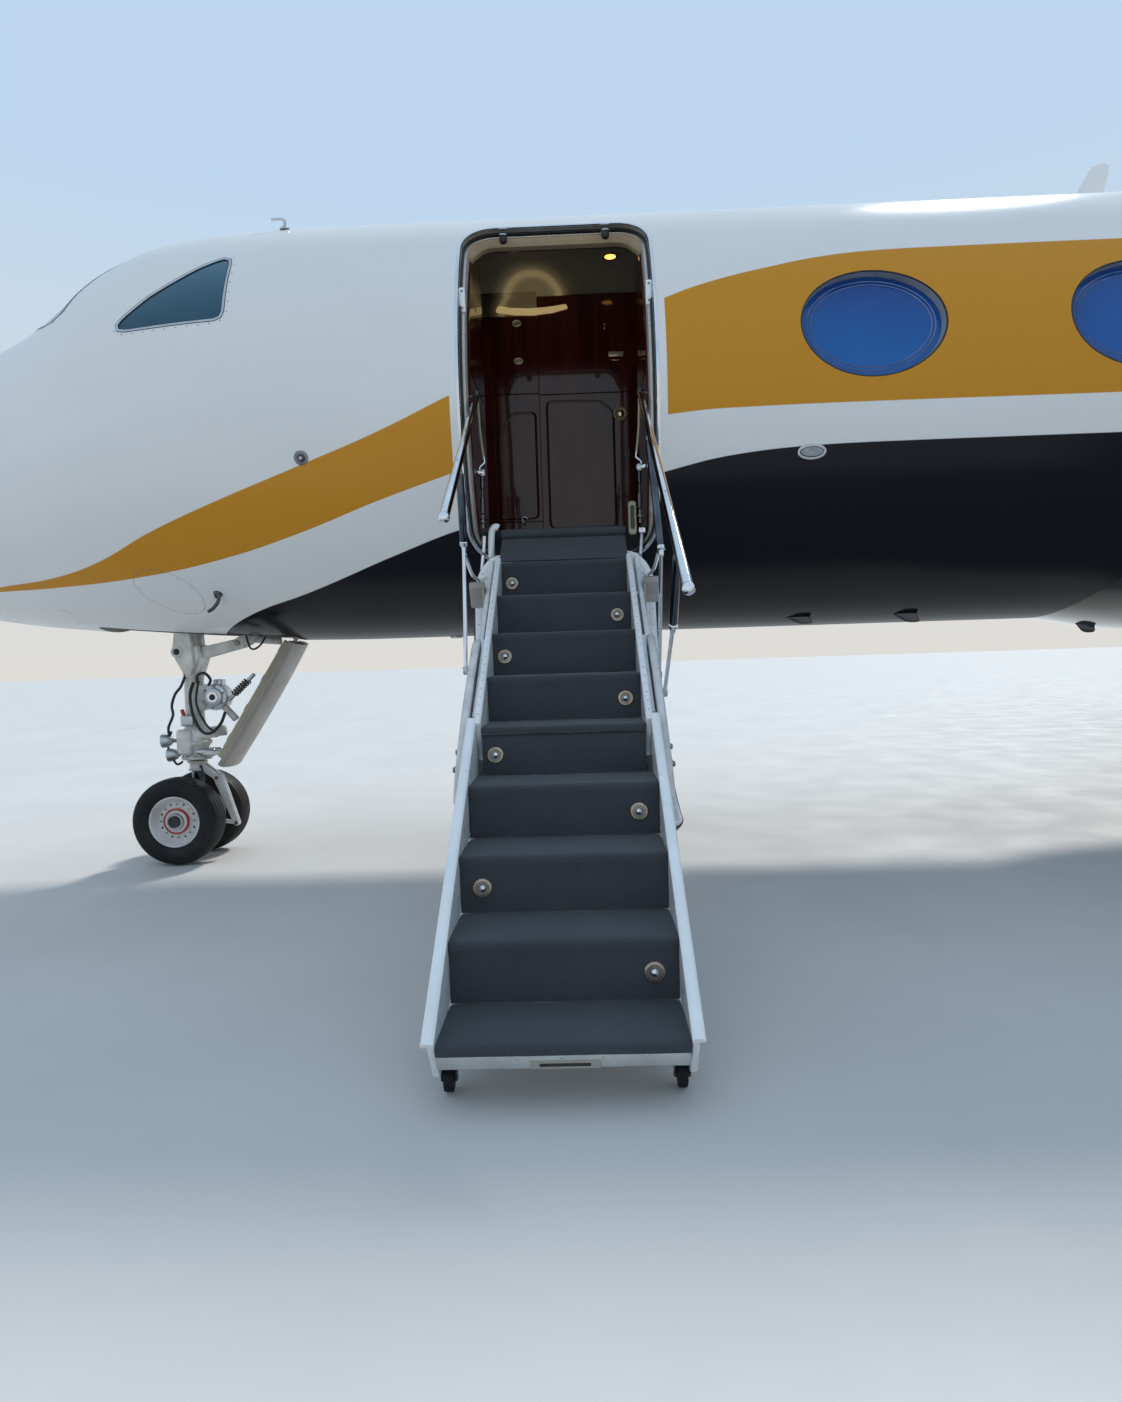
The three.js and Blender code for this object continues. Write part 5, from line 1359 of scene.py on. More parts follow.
def makeDoor():
    s = doorShell
    put = lambda x, z, deep: hullSide(x, z, -1, deep)
    line = evenlySpaced(doorOutline(s["clear"], 10), .03)
    shell = newForm()
    skinPatch(shell, offsetOutline(line, .004), 0.0, put, "livery", 16)
    skinStrip(shell, line, [(.004, 0.0, None), (.001, .0015, "bright"), (0.0, .006, "bright"),
        (0.0, .012, "jamb")], put)
    outside = len(shell["faces"])
    skinStrip(shell, line, [(0.0, .012, None), (-.004, .016, "seal"), (-.005, .022, "seal"),
        (0.0, .028, "seal"), (.004, s["skin"], "alloy")], put)
    skinStrip(shell, line, [(.004, s["skin"], None), (.012, s["skin"] + .004, "stairWhite"),
        (.03, s["skin"] + .004, "stairWhite"), (.036, s["skin"], "stairWhite")], put)
    skinPatch(shell, offsetOutline(line, .036), s["skin"], put, "stairWhite", 16)
    facedOut(shell)
    for i in range(outside, len(shell["faces"])):
        shell["faces"][i] = tuple(reversed(shell["faces"][i]))
    for offset in (.021, .06):
        for u, v in evenlySpaced(offsetOutline(line, offset), s["rivetEvery"]):
            deep = s["skin"] + (.004 if offset < .03 else 0.0)
            at = Vector(put(u, v, deep))
            add(shell, domeShape(at, -hullNormal(*at), .0035, .0016, 8), "steel")
    arc = [hullSide(doorSet["x"], z, -1, s["skin"] * .8)[1:]
        for z in spaced(doorSet["foot"] + .02, doorSet["head"] - .02, .05)]
    for side in (-1, 1):
        add(shell, slabShape([tuple(p) for p in arc], "x", doorSet["x"] + side * s["ribX"][0],
            doorSet["x"] + side * s["ribX"][1], .003), "stairWhite")
        face = doorSet["x"] + side * s["ribX"][1]
        for k in range(1, len(arc) - 1, 1):
            y, z = arc[k]
            reach = Vector((0, 2.53)) - Vector((y, z))
            inner = Vector((y, z)) + reach.normalized() * .022
            rivetRow(shell, [(face, inner.x, inner.y)], (side, 0, 0), .004)
    piece = bpy.data.objects.new("airstairDoor", formMesh("airstairDoor", shell, 40))
    piece.matrix_world = doorSwing()
    bpy.context.collection.objects.link(piece)
    ridePiece(piece, "airframe", ["door_skin"])

    fittings = newForm()
    x0 = doorSet["x"]
    panel = [(-.892, 1.683), onStair(1, -.062), onStair(3, -.066), onStair(5, -.118), (-2.066, .524),
        (-1.002, 1.538)]
    for side in (-1, 1):
        add(fittings, slabShape(softCorners(panel, .03), "x", x0 + side * .3632, x0 + side * .3838, .003),
            "stairWhite")
        face = x0 + side * .3838
        for step in spaced(1.3, 4.8, .22):
            rivetRow(fittings, [(face, *onStair(step, -.09 - .012 * step)), (face, *onStair(step, -.17))],
                (side, 0, 0), .0036)
        for step, lift in ((1.6, -.09), (2.6, -.14), (4.2, -.14)):
            y, z = onStair(step, lift)
            a, b = sorted((x0 + side * .3345, x0 + side * .3632))
            add(fittings, barShape((a, y, z), (b, y, z), .014), "alloy")
            add(fittings, turnedBetween((x0 + side * .3838, y, z), (x0 + side * .395, y, z),
                [(0, .015), (.003, .015), (.004, .009), (.009, .0085), (.0105, .006)], 6), "steel")
    y, z = doorShell["hinge"]
    add(fittings, barShape((x0 - .4, y, z), (x0 + .4, y, z), .0185), "steel")
    for x in spaced(x0 - .36, x0 + .36, .12):  # hinge knuckles
        add(fittings, turnedShape([(-.025, .018), (-.023, .0235), (.023, .0235), (.025, .018)], "x", (x, y, z),
            24), "alloy")
    makePiece("doorFittings", fittings, crease=40)


makeDoor()

linkSet = {"tubeR": .0125, "rodR": .0065}


# lifting links, gooseneck tubes and brackets on both sides of the sill
def makeSillLinks():
    form = newForm()
    r, thin = linkSet["tubeR"], linkSet["rodR"]
    add(form, pipeShape([(-8.985, -.865, 1.6), (-8.98, -.868, 1.7), (-8.976, -.87, 1.82),
        (-8.968, -.872, 1.858), (-8.952, -.872, 1.872), (-8.936, -.872, 1.866)], .0175, 24, 6), "stairWhite")
    add(form, pipeShape([(-9.014, -.868, 1.825), (-9.022, -.875, 1.72), (-9.036, -.89, 1.585)], r, 20, 3),
        "bright")
    add(form, turnedBetween((-8.98, -.869, 1.715), (-8.984, -.867, 1.63),
        [(0, .0175), (.002, .021), (.08, .021), (.083, .0175)], 24), "bright")
    for x in (-8.99, -8.215):
        add(form, slabShape(softCorners([(x - .05, 1.56), (x + .045, 1.56), (x + .03, 1.625),
            (x - .035, 1.625)], .012), "y", -.925, -.905, .002), "alloy")
    # swan-necked lever on the other side
    add(form, pipeShape([(-8.192, -.875, 1.835), (-8.198, -.88, 1.76), (-8.206, -.89, 1.68),
        (-8.19, -.91, 1.625), (-8.172, -.93, 1.59), (-8.196, -.95, 1.555), (-8.236, -.96, 1.545)], .011, 18, 6),
        "alloy")
    add(form, blockShape((-8.212, -.895, 1.812), (-8.172, -.858, 1.842), .006, 3), "bright")
    add(form, slabShape(softCorners([(-8.262, 1.802), (-8.222, 1.802), (-8.222, 1.972), (-8.262, 1.972)], .018),
        "y", -.925, -.900, .004), "cream")
    add(form, slabShape(softCorners([(-8.252, 1.83), (-8.232, 1.83), (-8.232, 1.95), (-8.252, 1.95)], .009),
        "y", -.930, -.92, .001), "darkPlastic")
    for side, x, topZ in ((-1, -9.008, 2.55), (1, -8.2, 2.545)):
        way = -side
        # slim upper link, its hook and clamp, and the strut below
        add(form, pipeShape([(x + side * .012, -.905, topZ), (x + side * .004, -.912, 2.35),
            (x + way * .012, -.918, 2.215)], thin, 16, 2), "cream")
        add(form, pipeShape([(x + way * .012, -.918, 2.222), (x + way * .014, -.92, 2.195),
            (x - side * .002, -.922, 2.183), (x + side * .012, -.922, 2.168), (x + side * .008, -.92, 2.15)],
            thin, 16, 5), "chrome")
        add(form, barShape((x + side * .035, -.918, 2.146), (x + way * .016, -.918, 2.142), .0145), "bright")
        add(form, blockShape((x - .012, -.932, 2.122), (x + .018, -.906, 2.16), .007, 3), "alloy")
        add(form, turnedBetween((x, -.92, 2.125), (x - .004, -.92, 1.93),
            [(0, .006), (.004, .0105), (.06, .0105), (.064, .0055), (.110, .0055), (.113, .0115), (.19, .0115),
            (.194, .005)], 24), "darkChrome")
        add(form, ballShape((x - .003, -.92, 1.895), .0125, 18), "steel")
        add(form, barShape((x - .003, -.92, 1.93), (x - .003, -.92, 1.86), .005), "steel")
        # beige angle bracket at the stair's head
        inner, outer = sorted((doorSet["x"] + side * .386, doorSet["x"] + side * .462))
        profile = [(-1.185, 1.56), (-1.15, 1.566), (-1.098, 1.475), (-1.098, 1.44), (-1.138, 1.44),
            (-1.15, 1.475), (-1.192, 1.535)]
        add(form, slabShape(softCorners(profile, .008), "x", inner, outer, .004), "panelGrey")
        a, b = sorted((doorSet["x"] + side * .386, doorSet["x"] + side * .398))
        add(form, slabShape(softCorners([(-1.2, 1.53), (-1.1, 1.53), (-1.06, 1.3), (-1.2, 1.36)], .02), "x", a,
            b, .003), "panelGrey")
        rivetRow(form, [(b if side > 0 else a, -1.15, 1.49), (b if side > 0 else a, -1.13, 1.4)], (side, 0, 0),
            .006)
        # bright arm from the post's foot back to the sill
        add(form, pipeShape([(doorSet["x"] + side * .437, -1.5, 1.64 if side > 0 else 1.66),
            (doorSet["x"] + side * .43, -1.3, 1.585), (doorSet["x"] + side * .41, -1.12, 1.575),
            (doorSet["x"] + side * .40, -.97, 1.6)], .0085, 16, 5), "bright")
    makePiece("sillLinks", form, crease=40)


makeSillLinks()
print("door and links made")

cabinSet = {"floor": 1.853, "cabinetFace": .38, "cabinetX": (-9.458, -7.722), "cabinetTop": 3.349,
    "split": -8.752, "doors": [(-9.455, -9.05, 1.95, 3.345), (-9.05, -8.752, 2.915, 3.42),
    (-9.05, -8.752, 2.085, 2.915), (-9.05, -8.752, 1.95, 2.085), (-8.752, -8.02, 2.905, 3.54),
    (-8.752, -8.02, 1.95, 2.905), (-8.02, -7.725, 1.95, 3.345), (-9.455, -7.725, 1.86, 1.95)], "cheekEnd": -.15,
    "pinsForward": [(-.297, 3.204, .005), (-.305, 3.176, .005), (-.313, 3.147, .005), (-.322, 3.118, .005),
    (-.330, 3.09, .005), (-.547, 3.108, .013), (-.612, 2.998, .010), (-.591, 2.809, .019)],
    "pinsAft": [(-.475, 3.058, .011), (-.700, 2.97, .011), (-.30, 2.93, .012), (-.50, 2.86, .012)]}


# closed (y, z) outline between two heights, with one straight side and the lining as the other
def liningOutline(y, low, high, side=1, inset=.108, count=12):
    curve = [hullSide(-8.0, low + (high - low) * k / count, side, inset)[1:] for k in range(count + 1)]
    return [(side * y, low)] + curve + [(side * y, high)]


# veneered door with a groove round it
def cabinetDoor(form, x0, x1, z0, z1, y, look="veneer", radius=.012, proud=.008):
    add(form, slabShape(roundedRect((x0 + x1) / 2, (z0 + z1) / 2, (x1 - x0) / 2 - .002, (z1 - z0) / 2 - .002,
        radius, 5), "y", y - proud, y + .004, .002), look)


def makeGalley():
    s = cabinSet
    form = newForm()
    y = s["cabinetFace"]
    add(form, slabShape(liningOutline(y + .004, s["floor"] + .002, s["cabinetTop"]), "x", *s["cabinetX"], .002),
        "veneerDark")
    for outline, start, end, look in ((liningOutline(y + .004, s["cabinetTop"], 3.424), s["cabinetX"][0],
            s["split"], "veneerDark"), (liningOutline(y + .004, s["cabinetTop"], 3.545), s["split"],
            s["cabinetX"][1], "veneerDark"), (liningOutline(y + .006, 3.424, 3.56), s["cabinetX"][0],
            s["split"], "ceilingDark")):
        add(form, slabShape(outline, "x", start, end, .002), look)
    for x0, x1, z0, z1 in s["doors"]:
        cabinetDoor(form, x0, x1, z0, z1, y)
    put = lambda u, v, d: (u, y - .008 + d, v)
    corners = [(-8.712, 2.03), (-8.262, 2.03), (-8.262, 2.78), (-8.345, 2.858), (-8.712, 2.872)]
    bead = [(0, .002), (.002, -.005), (.008, -.008), (.014, -.006), (.017, .002)]
    arch = softCorners(corners, .05, 8)
    add(form, sweptBand(arch, bead, put), "veneer")
    leaf = softCorners([(-9.03, 2.1), (-8.772, 2.1), (-8.772, 2.8), (-8.93, 2.8), (-8.99, 2.72), (-9.03, 2.62)],
        .04, 8)
    add(form, sweptBand(leaf, bead, put), "veneer")
    face = y - .008
    for x, z in ((-8.88, 3.129), (-8.885, 3.371)):
        add(form, sweptBand(ellipseLine(x, z, .031, .0225, 32),
            [(.0, .002), (.001, -.004), (.006, -.006), (.012, -.004), (.014, .002)], put), "plateCream")
        skinPatch(form, ellipseLine(x, z, .020, .012, 24), -.001, put, "brass", 3)
        add(form, blockShape((x - .007, face - .009, z - .004), (x + .007, face, z + .004), .003), "plateCream")
    add(form, turnedShape([(.003, .020), (-.012, .020), (-.016, .010), (-.016, .0)], "y", (-8.222, face, 2.765),
        24), "brass")
    add(form, sweptBand(ellipseLine(-8.227, 2.765, .048, .046, 40),
        [(.0, 0), (.002, -.006), (.009, -.012), (.017, -.006), (.020, 0), (.010, .004)], put), "plateCream")
    add(form, blockShape((-8.292, face - .006, 3.132), (-8.195, face + .003, 3.165), .003), "plateCream")
    add(form, pipeShape([(-8.288, face - .004, 3.118), (-8.27, face - .016, 3.106),
        (-8.215, face - .016, 3.106), (-8.198, face - .004, 3.118)], .004, 12, 4), "brass")
    add(form, pipeShape([(-8.872, face + .002, 2.062), (-8.872, face - .022, 2.066),
        (-8.888, face - .028, 2.098), (-8.872, face - .028, 2.112), (-8.85, face - .028, 2.1)], .0045, 12, 5),
        "chrome")
    add(form, blockShape((-8.874, face - .012, 1.99), (-8.852, face + .002, 2.035), .005), "darkPlastic")
    add(form, blockShape((-8.318, face - .010, 3.31), (-8.306, face + .002, 3.345), .002), "brass")
    makePiece("galleyCabinet", form, standsFor=["galley_cabinet"], crease=40)


def makeVestibule():
    s = cabinSet
    form = newForm()
    put = lambda x, z, deep: hullSide(x, z, -1, deep)
    # veneered cheeks from the doorway to the aisle, with small brass fittings
    for x, way, fitted in ((doorSet["x"] - doorSet["half"] - .012, 1, s["pinsForward"]),
            (doorSet["x"] + doorSet["half"] + .012, -1, s["pinsAft"])):
        a, b = sorted((x, x + way * .030))
        curve = [hullSide(x, z, -1, .152)[1:] for z in spaced(1.856, 3.2, .1)]
        curve += [(y, hullTop(x, y, .115)[2]) for y in spaced(-.70, s["cheekEnd"], .05)]
        add(form, slabShape(curve + [(s["cheekEnd"], 1.856)], "x", a, b, .003), "veneer")
        edge = x + way * .030
        for y, z, radius in fitted:
            add(form, turnedShape([(-.002 * way, radius), (way * .004, radius * .93), (way * .006, radius * .6),
                (way * .006, 0)], "x", (edge, y, z), 20), "brass")
        a, b = sorted((edge - way * .002, edge + way * .004))
        add(form, slabShape(softCorners([(-.90, 1.95), (-.24, 1.95), (-.24, 2.62), (-.88, 2.62)], .04), "x", a,
            b, .002), "veneerDark")
        add(form, slabShape(softCorners([(-.88, 2.68), (-.24, 2.68), (-.24, 3.3), (-.62, 3.3), (-.82, 3.08)],
            .04), "x", a, b, .002), "veneerDark")
    # cream head lining whose ends come down the corners
    line = [p for p in evenlySpaced(doorOutline(-.001, 12), .012) if p[1] > 3.235]
    left = sorted([p for p in line if p[0] < doorSet["x"] - .3], key=lambda p: p[1])
    middle = sorted([p for p in line if abs(p[0] - doorSet["x"]) <= .3])
    right = sorted([p for p in line if p[0] > doorSet["x"] + .3], key=lambda p: -p[1])
    line = left + middle + right
    rings = []
    for inward, deep in ((.027, .054), (.029, .058), (.042, .07), (.054, .088), (.061, .096), (.063, .104),
            (.06, .13)):
        ring = []
        for i, (u, v) in enumerate(line):
            a, b = Vector(line[max(i - 1, 0)]), Vector(line[min(i + 1, len(line) - 1)])
            along = (b - a).normalized()
            end = min(1.0, min(i, len(line) - 1 - i) / 7)
            reach = inward * (.35 + .65 * end ** .5)
            ring.append(put(u + along.y * reach, v - along.x * reach, deep))
        rings.append(ring)
    add(form, ringSkin(rings, (False, False), False), "creamPanel")
    for x, z, yy in ((-8.869, 3.374, -.78), (-8.335, 3.377, -.78)):
        add(form, turnedShape([(.024, .014), (.014, .016), (.01, .02), (0.0, .0215), (-.01, .02), (-.017, .015),
            (-.021, .008), (-.022, 0)], "z", (x, yy, z), 28), "seal")
        add(form, turnedShape([(.026, .017), (.022, .023), (.017, .024), (.013, .019)], "z", (x, yy, z), 28),
            "bright")
    makePiece("vestibuleLining", form, crease=40)

    lamps = newForm()
    at = Vector((-8.278, .025, hullTop(-8.278, .025, .104)[2]))
    below = at - Vector((0, 0, 1))
    add(lamps, turnedBetween(at, below, [(-.01, .052), (.004, .052), (.008, .047), (.004, .036)], 32), "brass")
    add(lamps, turnedBetween(at, below, [(-.01, .036), (.0035, .036), (.008, .020), (.009, 0)], 28), "warmGlow")
    bar = [(-9.02, 3.447), (-8.9, 3.425), (-8.775, 3.418), (-8.65, 3.428), (-8.545, 3.452), (-8.56, 3.476),
        (-8.68, 3.462), (-8.8, 3.458), (-8.92, 3.466), (-9.0, 3.482)]
    add(lamps, slabShape(softCorners(bar, .01), "y", s["cabinetFace"] - .03, s["cabinetFace"] + .002, .006),
        "softGlow")
    makePiece("vestibuleLamps", lamps, crease=40)


def glowLook(name, color, strength, base=(.3, .25, .15)):
    look = workedLook(name, base, tuple(.8 * c for c in base), .4, scale=8, fine=120)
    shader = look.node_tree.nodes["Principled BSDF"]
    shader.inputs["Emission Color"].default_value = (*color, 1)
    shader.inputs["Emission Strength"].default_value = strength
    return look


washSet = {"x": -8.775, "z": 3.448, "halfX": .205, "tall": .165, "wallTop": 3.545, "wallY": .368,
    "ceilingFall": 2.6, "color": (1.0, .74, .34), "strength": .15,
    "byReach": ((0.0, .42), (.5, .36), (.6, .45), (.685, .95), (.72, .98), (.78, .52), (.88, .14), (1.0, 0.0))}


# soft arch of lamp light, laid over a finish by its place on the wall and the ceiling
def lampWash(look):
    w = washSet
    where = wire(look, "ShaderNodeSeparateXYZ", i0=wire(look, "ShaderNodeTexCoord").outputs["Object"]).outputs
    overWall = mathNode(look, "MAXIMUM", mathNode(look, "DIVIDE",
        mathNode(look, "SUBTRACT", w["wallY"], where[1]), w["ceilingFall"]))
    height = mathNode(look, "ADD", mathNode(look, "MINIMUM", where[2], w["wallTop"]), overWall)
    u = mathNode(look, "DIVIDE", mathNode(look, "SUBTRACT", where[0], w["x"]), w["halfX"])
    v = mathNode(look, "DIVIDE", mathNode(look, "SUBTRACT", height, w["z"]), w["tall"])
    reach = mathNode(look, "SQRT", mathNode(look, "ADD", mathNode(look, "MULTIPLY", u, u),
        mathNode(look, "MULTIPLY", v, v)))
    curve = wire(look, "ShaderNodeFloatCurve",
        Value=mathNode(look, "MINIMUM", mathNode(look, "MULTIPLY", reach, .7), 1.0))
    line = curve.mapping.curves[0]
    line.points[0].location, line.points[1].location = w["byReach"][0], w["byReach"][-1]
    for share in w["byReach"][1:-1]:
        line.points.new(*share)
    curve.mapping.update()
    lit = mathNode(look, "MULTIPLY", curve.outputs[0], w["strength"])
    lit = mathNode(look, "MULTIPLY", lit, crisp(look, mathNode(look, "SUBTRACT", height, w["z"] - .03), .03))
    shader = look.node_tree.nodes["Principled BSDF"]
    shader.inputs["Emission Color"].default_value = (*w["color"], 1)
    look.node_tree.links.new(lit, shader.inputs["Emission Strength"])


looks["ceilingDark"] = workedLook("ceilingSuede", (.06, .048, .028), (.045, .036, .021), .7, scale=4, fine=300,
    bump=.2)
looks["veneerDark"] = workedLook("darkVeneer", (.06, .011, .008), (.026, .006, .006), .16, coat=.4,
    Specular_IOR_Level=.2, scale=6, fine=60, stretch=(4, 4, .4))
looks["creamPanel"] = workedLook("creamPanel", (.46, .35, .22), (.39, .29, .18), .5, scale=3, fine=300, bump=.2)
looks["warmGlow"] = glowLook("warmLampGlow", (1.0, .46, .1), 2.6)
looks["softGlow"] = glowLook("softLampGlow", (1.0, .72, .3), .34)
for name in ("cream", "ceilingDark", "veneerDark"):
    lampWash(looks[name])
makeGalley()
makeVestibule()
print("doorway interior made")


seatSet = {"rows": (-6.1, -5.0, -3.6, -2.4, -1.0, .2), "y": .56, "floor": 1.853, "seamR": .0035,
    "pilotX": -10.55, "pilotY": .47}


# crowned pad whose sides pull in between its corners; it faces along the axis, way +1 or -1
def cushionShape(form, low, high, axis, way=1, crown=.014, pinch=.035, look="seatLeather"):
    low, high = Vector(low), Vector(high)
    centre, half = (low + high) / 2, (high - low) / 2
    first, second, third = {"x": (1, 2, 0), "y": (2, 0, 1), "z": (0, 1, 2)}[axis]
    a, b, h = half[first], half[second], half[third]
    corner = min(.05, .6 * a, .6 * b)
    outline = evenlySpaced(roundedRect(0, 0, a, b, corner, 6), .03)
    outline = [(u * (1 - pinch * (1 - (v / b) ** 2)), v * (1 - pinch * (1 - (u / a) ** 2))) for u, v in outline]
    c = min(crown, .4 * h)
    levels = [(.04, -h), (.8, -h), (.94, -h * .92), (.985, -h * .72), (1, -h * .35), (1, .1 * h),
        (.985, h - c * 1.9), (.94, h - c * 1.3), (.86, h - c * .85), (.7, h - c * .5), (.4, h - c * .15),
        (.04, h)]

    def ring(share, level):
        made = []
        for u, v in outline:
            p = centre.copy()
            p[first] += u * share
            p[second] += v * share
            p[third] += level * way
            made.append(tuple(p))
        return made

    add(form, ringSkin([ring(share, level) for share, level in levels]), look)
    for level in (-.5 * h, .35 * h):
        seam = ring(1.002, level)
        add(form, pipeShape(seam + seam[:1], seatSet["seamR"], 6), look)


# cushions of one seat, its back towards +x when facing is 1
def seatCushions(x, y, facing, half, look):
    form = newForm()
    floor = seatSet["floor"]

    def pad(u0, u1, v0, v1, z0, z1, axis="z", way=1, **more):
        a, b = sorted((x + facing * u0, x + facing * u1))
        cushionShape(form, (a, y + v0, floor + z0), (b, y + v1, floor + z1), axis, way, look=look, **more)

    arm = .058
    pad(-.258, .175, -half + arm, half - arm, .3, .435, crown=.022)
    pad(.165, .3, -half + .045, half - .045, .42, .7, "x", -facing, crown=.02)
    pad(.17, .305, -half + .045, half - .045, .7, .945, "x", -facing, crown=.024)
    pad(.175, .29, -half + .12, half - .12, .955, 1.12, "x", -facing, crown=.026)
    for side in (-1, 1):
        v0, v1 = sorted((side * half, side * (half - arm)))
        pad(-.2, .2, v0, v1, .565, .615, crown=.008, pinch=.01)
    return form


def seatFrame(form, x, y, facing, half):
    floor = seatSet["floor"]

    def block(u0, u1, v0, v1, z0, z1, bevel, look):
        a, b = sorted((x + facing * u0, x + facing * u1))
        add(form, blockShape((a, y + v0, floor + z0), (b, y + v1, floor + z1), bevel, 3), look)

    block(-.17, .17, -.18, .18, .002, .15, .02, "darkPlastic")
    block(-.235, .22, -half + .05, half - .05, .14, .31, .03, "seatLeather")
    block(.255, .328, -half + .03, half - .03, .31, 1.05, .03, "seatLeather")
    for side in (-1, 1):
        v0, v1 = sorted((side * half, side * (half - .05)))
        block(-.205, .22, v0, v1, .3, .575, .018, "seatLeather")
        v0, v1 = sorted((side * (half + .002), side * (half - .01)))
        block(-.17, .18, v0, v1, .34, .4, .004, "veneer")


def makeSeats():
    s = seatSet
    for name, side in (("Left", -1), ("Right", 1)):
        frames = newForm()
        for i, x in enumerate(s["rows"]):
            facing = 1 if i % 2 else -1
            seatFrame(frames, x, side * s["y"], facing, .29)
            piece = makePiece(f"cabinCushions{name}{i + 1}",
                seatCushions(x, side * s["y"], facing, .29, "seatLeather"), crease=50)
        for v in (-.12, .12):
            add(frames, slabShape([(side * s["y"] + v - .016, s["floor"] + .0005),
                (side * s["y"] + v + .016, s["floor"] + .0005), (side * s["y"] + v + .012, s["floor"] + .01),
                (side * s["y"] + v - .012, s["floor"] + .01)], "x", -6.4, .6, .001), "alloy")
        for x in (-5.55, -3.0, -.4):  # side ledge tables between facing seats
            add(frames, slabShape(roundedRect(x, side * .8, .2, .21, .04, 5), "z", 2.52, 2.545, .006), "veneer")
            add(frames, blockShape((x - .05, min(side * .9, side * .98), s["floor"] + .002),
                (x + .05, max(side * .9, side * .98), 2.525), .012), "veneerDark")
        makePiece(f"cabinSeatFrames{name}", frames, standsFor=[f"cabin_seats_{name.lower()}"],
            crease=45)
        pilot = newForm()
        seatFrame(pilot, s["pilotX"], side * s["pilotY"], 1, .25)
        makePiece(f"pilotSeatFrame{name}", pilot, standsFor=[f"pilot_seat_{name.lower()}"],
            crease=45)
        piece = makePiece(f"pilotCushions{name}",
            seatCushions(s["pilotX"], side * s["pilotY"], 1, .25, "darkLeather"),
            crease=50)


def makeFlightDeck():
    form = newForm()
    floor = seatSet["floor"]
    right = [hullSide(-11.5, floor + .002 + (1.08 * k) / 10, 1, .112)[1:] for k in range(11)]
    outline = right + [(-y, z) for y, z in reversed(right)]
    add(form, slabShape(outline, "x", -11.515, -11.41, .004), "darkPlastic")
    hood = [(-11.45, 2.862), (-11.19, 2.868), (-11.183, 2.885), (-11.25, 2.925), (-11.4, 2.945), (-11.48, 2.94)]
    add(form, slabShape(hood, "y", -.74, .74, .008), "darkLeather")
    add(form, slabShape([(-11.42, floor + .002), (-10.87, floor + .002), (-10.86, 2.25), (-10.9, 2.3),
        (-11.22, 2.4), (-11.42, 2.445)], "y", -.155, .155, .012), "darkPlastic")
    for y in (-.52, -.18, .18, .52):
        add(form, sweptBand(roundedRect(y, 2.66, .145, .115, .012, 4),
            [(0, .002), (.001, -.007), (.008, -.007), (.011, .001)], lambda u, v, d: (-11.409 - d, u, v)),
            "darkPlastic")
        add(form, slabShape(roundedRect(y, 2.66, .136, .106, .008, 4), "x", -11.411, -11.4065, .001),
            "cockpitScreen")
        for k in range(5):
            add(form, turnedShape([(-.001, .008), (.006, .0075), (.008, .005), (.008, 0)], "x",
                (-11.41, y - .08 + .04 * k, 2.5), 14), "steel")
    for y, lean in ((-.045, .05), (0.0, .03), (.045, .05)):
        add(form, barShape((-11.05, y, 2.33), (-11.05 + lean, y, 2.47), .006), "alloy")
        add(form, blockShape((-11.07 + lean, y - .018, 2.462), (-11.03 + lean, y + .018, 2.495), .008, 3),
            "darkPlastic")
    for y in (-.47, .47):
        add(form, barShape((-11.42, y, 2.42), (-11.14, y, 2.47), .022), "darkPlastic")
        horn = [(-11.14, y - .15, 2.6), (-11.13, y - .155, 2.52), (-11.13, y - .12, 2.46), (-11.14, y, 2.455),
            (-11.13, y + .12, 2.46), (-11.13, y + .155, 2.52), (-11.14, y + .15, 2.6)]
        add(form, pipeShape(horn, .014, 12, 4), "darkPlastic")
    makePiece("instrumentPanel", form, standsFor=["instrument_panel"], crease=40)


def dress(node, look):
    for held in frame["nodes"][node].material_slots:
        held.material = looks[look]


looks["cockpitScreen"] = workedLook("displayGlass", (.01, .022, .035), (.018, .035, .05), .08, coat=1.0,
    scale=12, fine=90)
makeSeats()
makeFlightDeck()
dress("cabin_floor", "carpet")
dress("cockpit_bulkhead", "veneer")
dress("cabin_bulkhead", "veneer")
print("seats and flight deck made")


# radius is the axle's height too; track is each tyre's distance from its leg's middle
wheelSet = {
    "nose": {"x": -11.01, "radius": .26422, "half": .092, "rim": .15, "track": .2, "axle": .032, "bolts": 8},
    "main": {"x": .6, "radius": .42632, "half": .1175, "rim": .215, "track": .19, "axle": .052, "bolts": 10},
    }
legSet = {"noseX": -10.97, "mainY": 2.085}
tyreSide = [(.6, -.07), (.74, -.005), (.8, .035), (.8, .065), (.9, .15), (.975, .34), (1.0, .5), (.985, .64),
    (.955, .71), (.945, .715), (.935, .745), (.9, .82), (.84, .89), (.76, .935), (.66, .962)]
tyreGrooves = (.5, .17, -.17, -.5)


def tyreShape(kind, y):
    w = wheelSet[kind]
    tall = w["radius"] - w["rim"]
    crown = lambda u: 1.0 - .07 * u ** 2
    line = list(tyreSide)
    for g in tyreGrooves:
        line += [(g + .045, crown(g + .045)), (g + .034, crown(g) - .045), (g - .034, crown(g) - .045),
            (g - .045, crown(g - .045))]
        if g > -.4:
            line += [(g - .165, crown(g - .165))]
    line += [(-u, share) for u, share in reversed(tyreSide)]
    section = [(tall * (1 - share), u * w["half"]) for u, share in line]
    return sweptBand(ellipseLine(w["x"], w["radius"], w["radius"], w["radius"], 112), section, lambda a, b,
        d: (a, y + d, b))


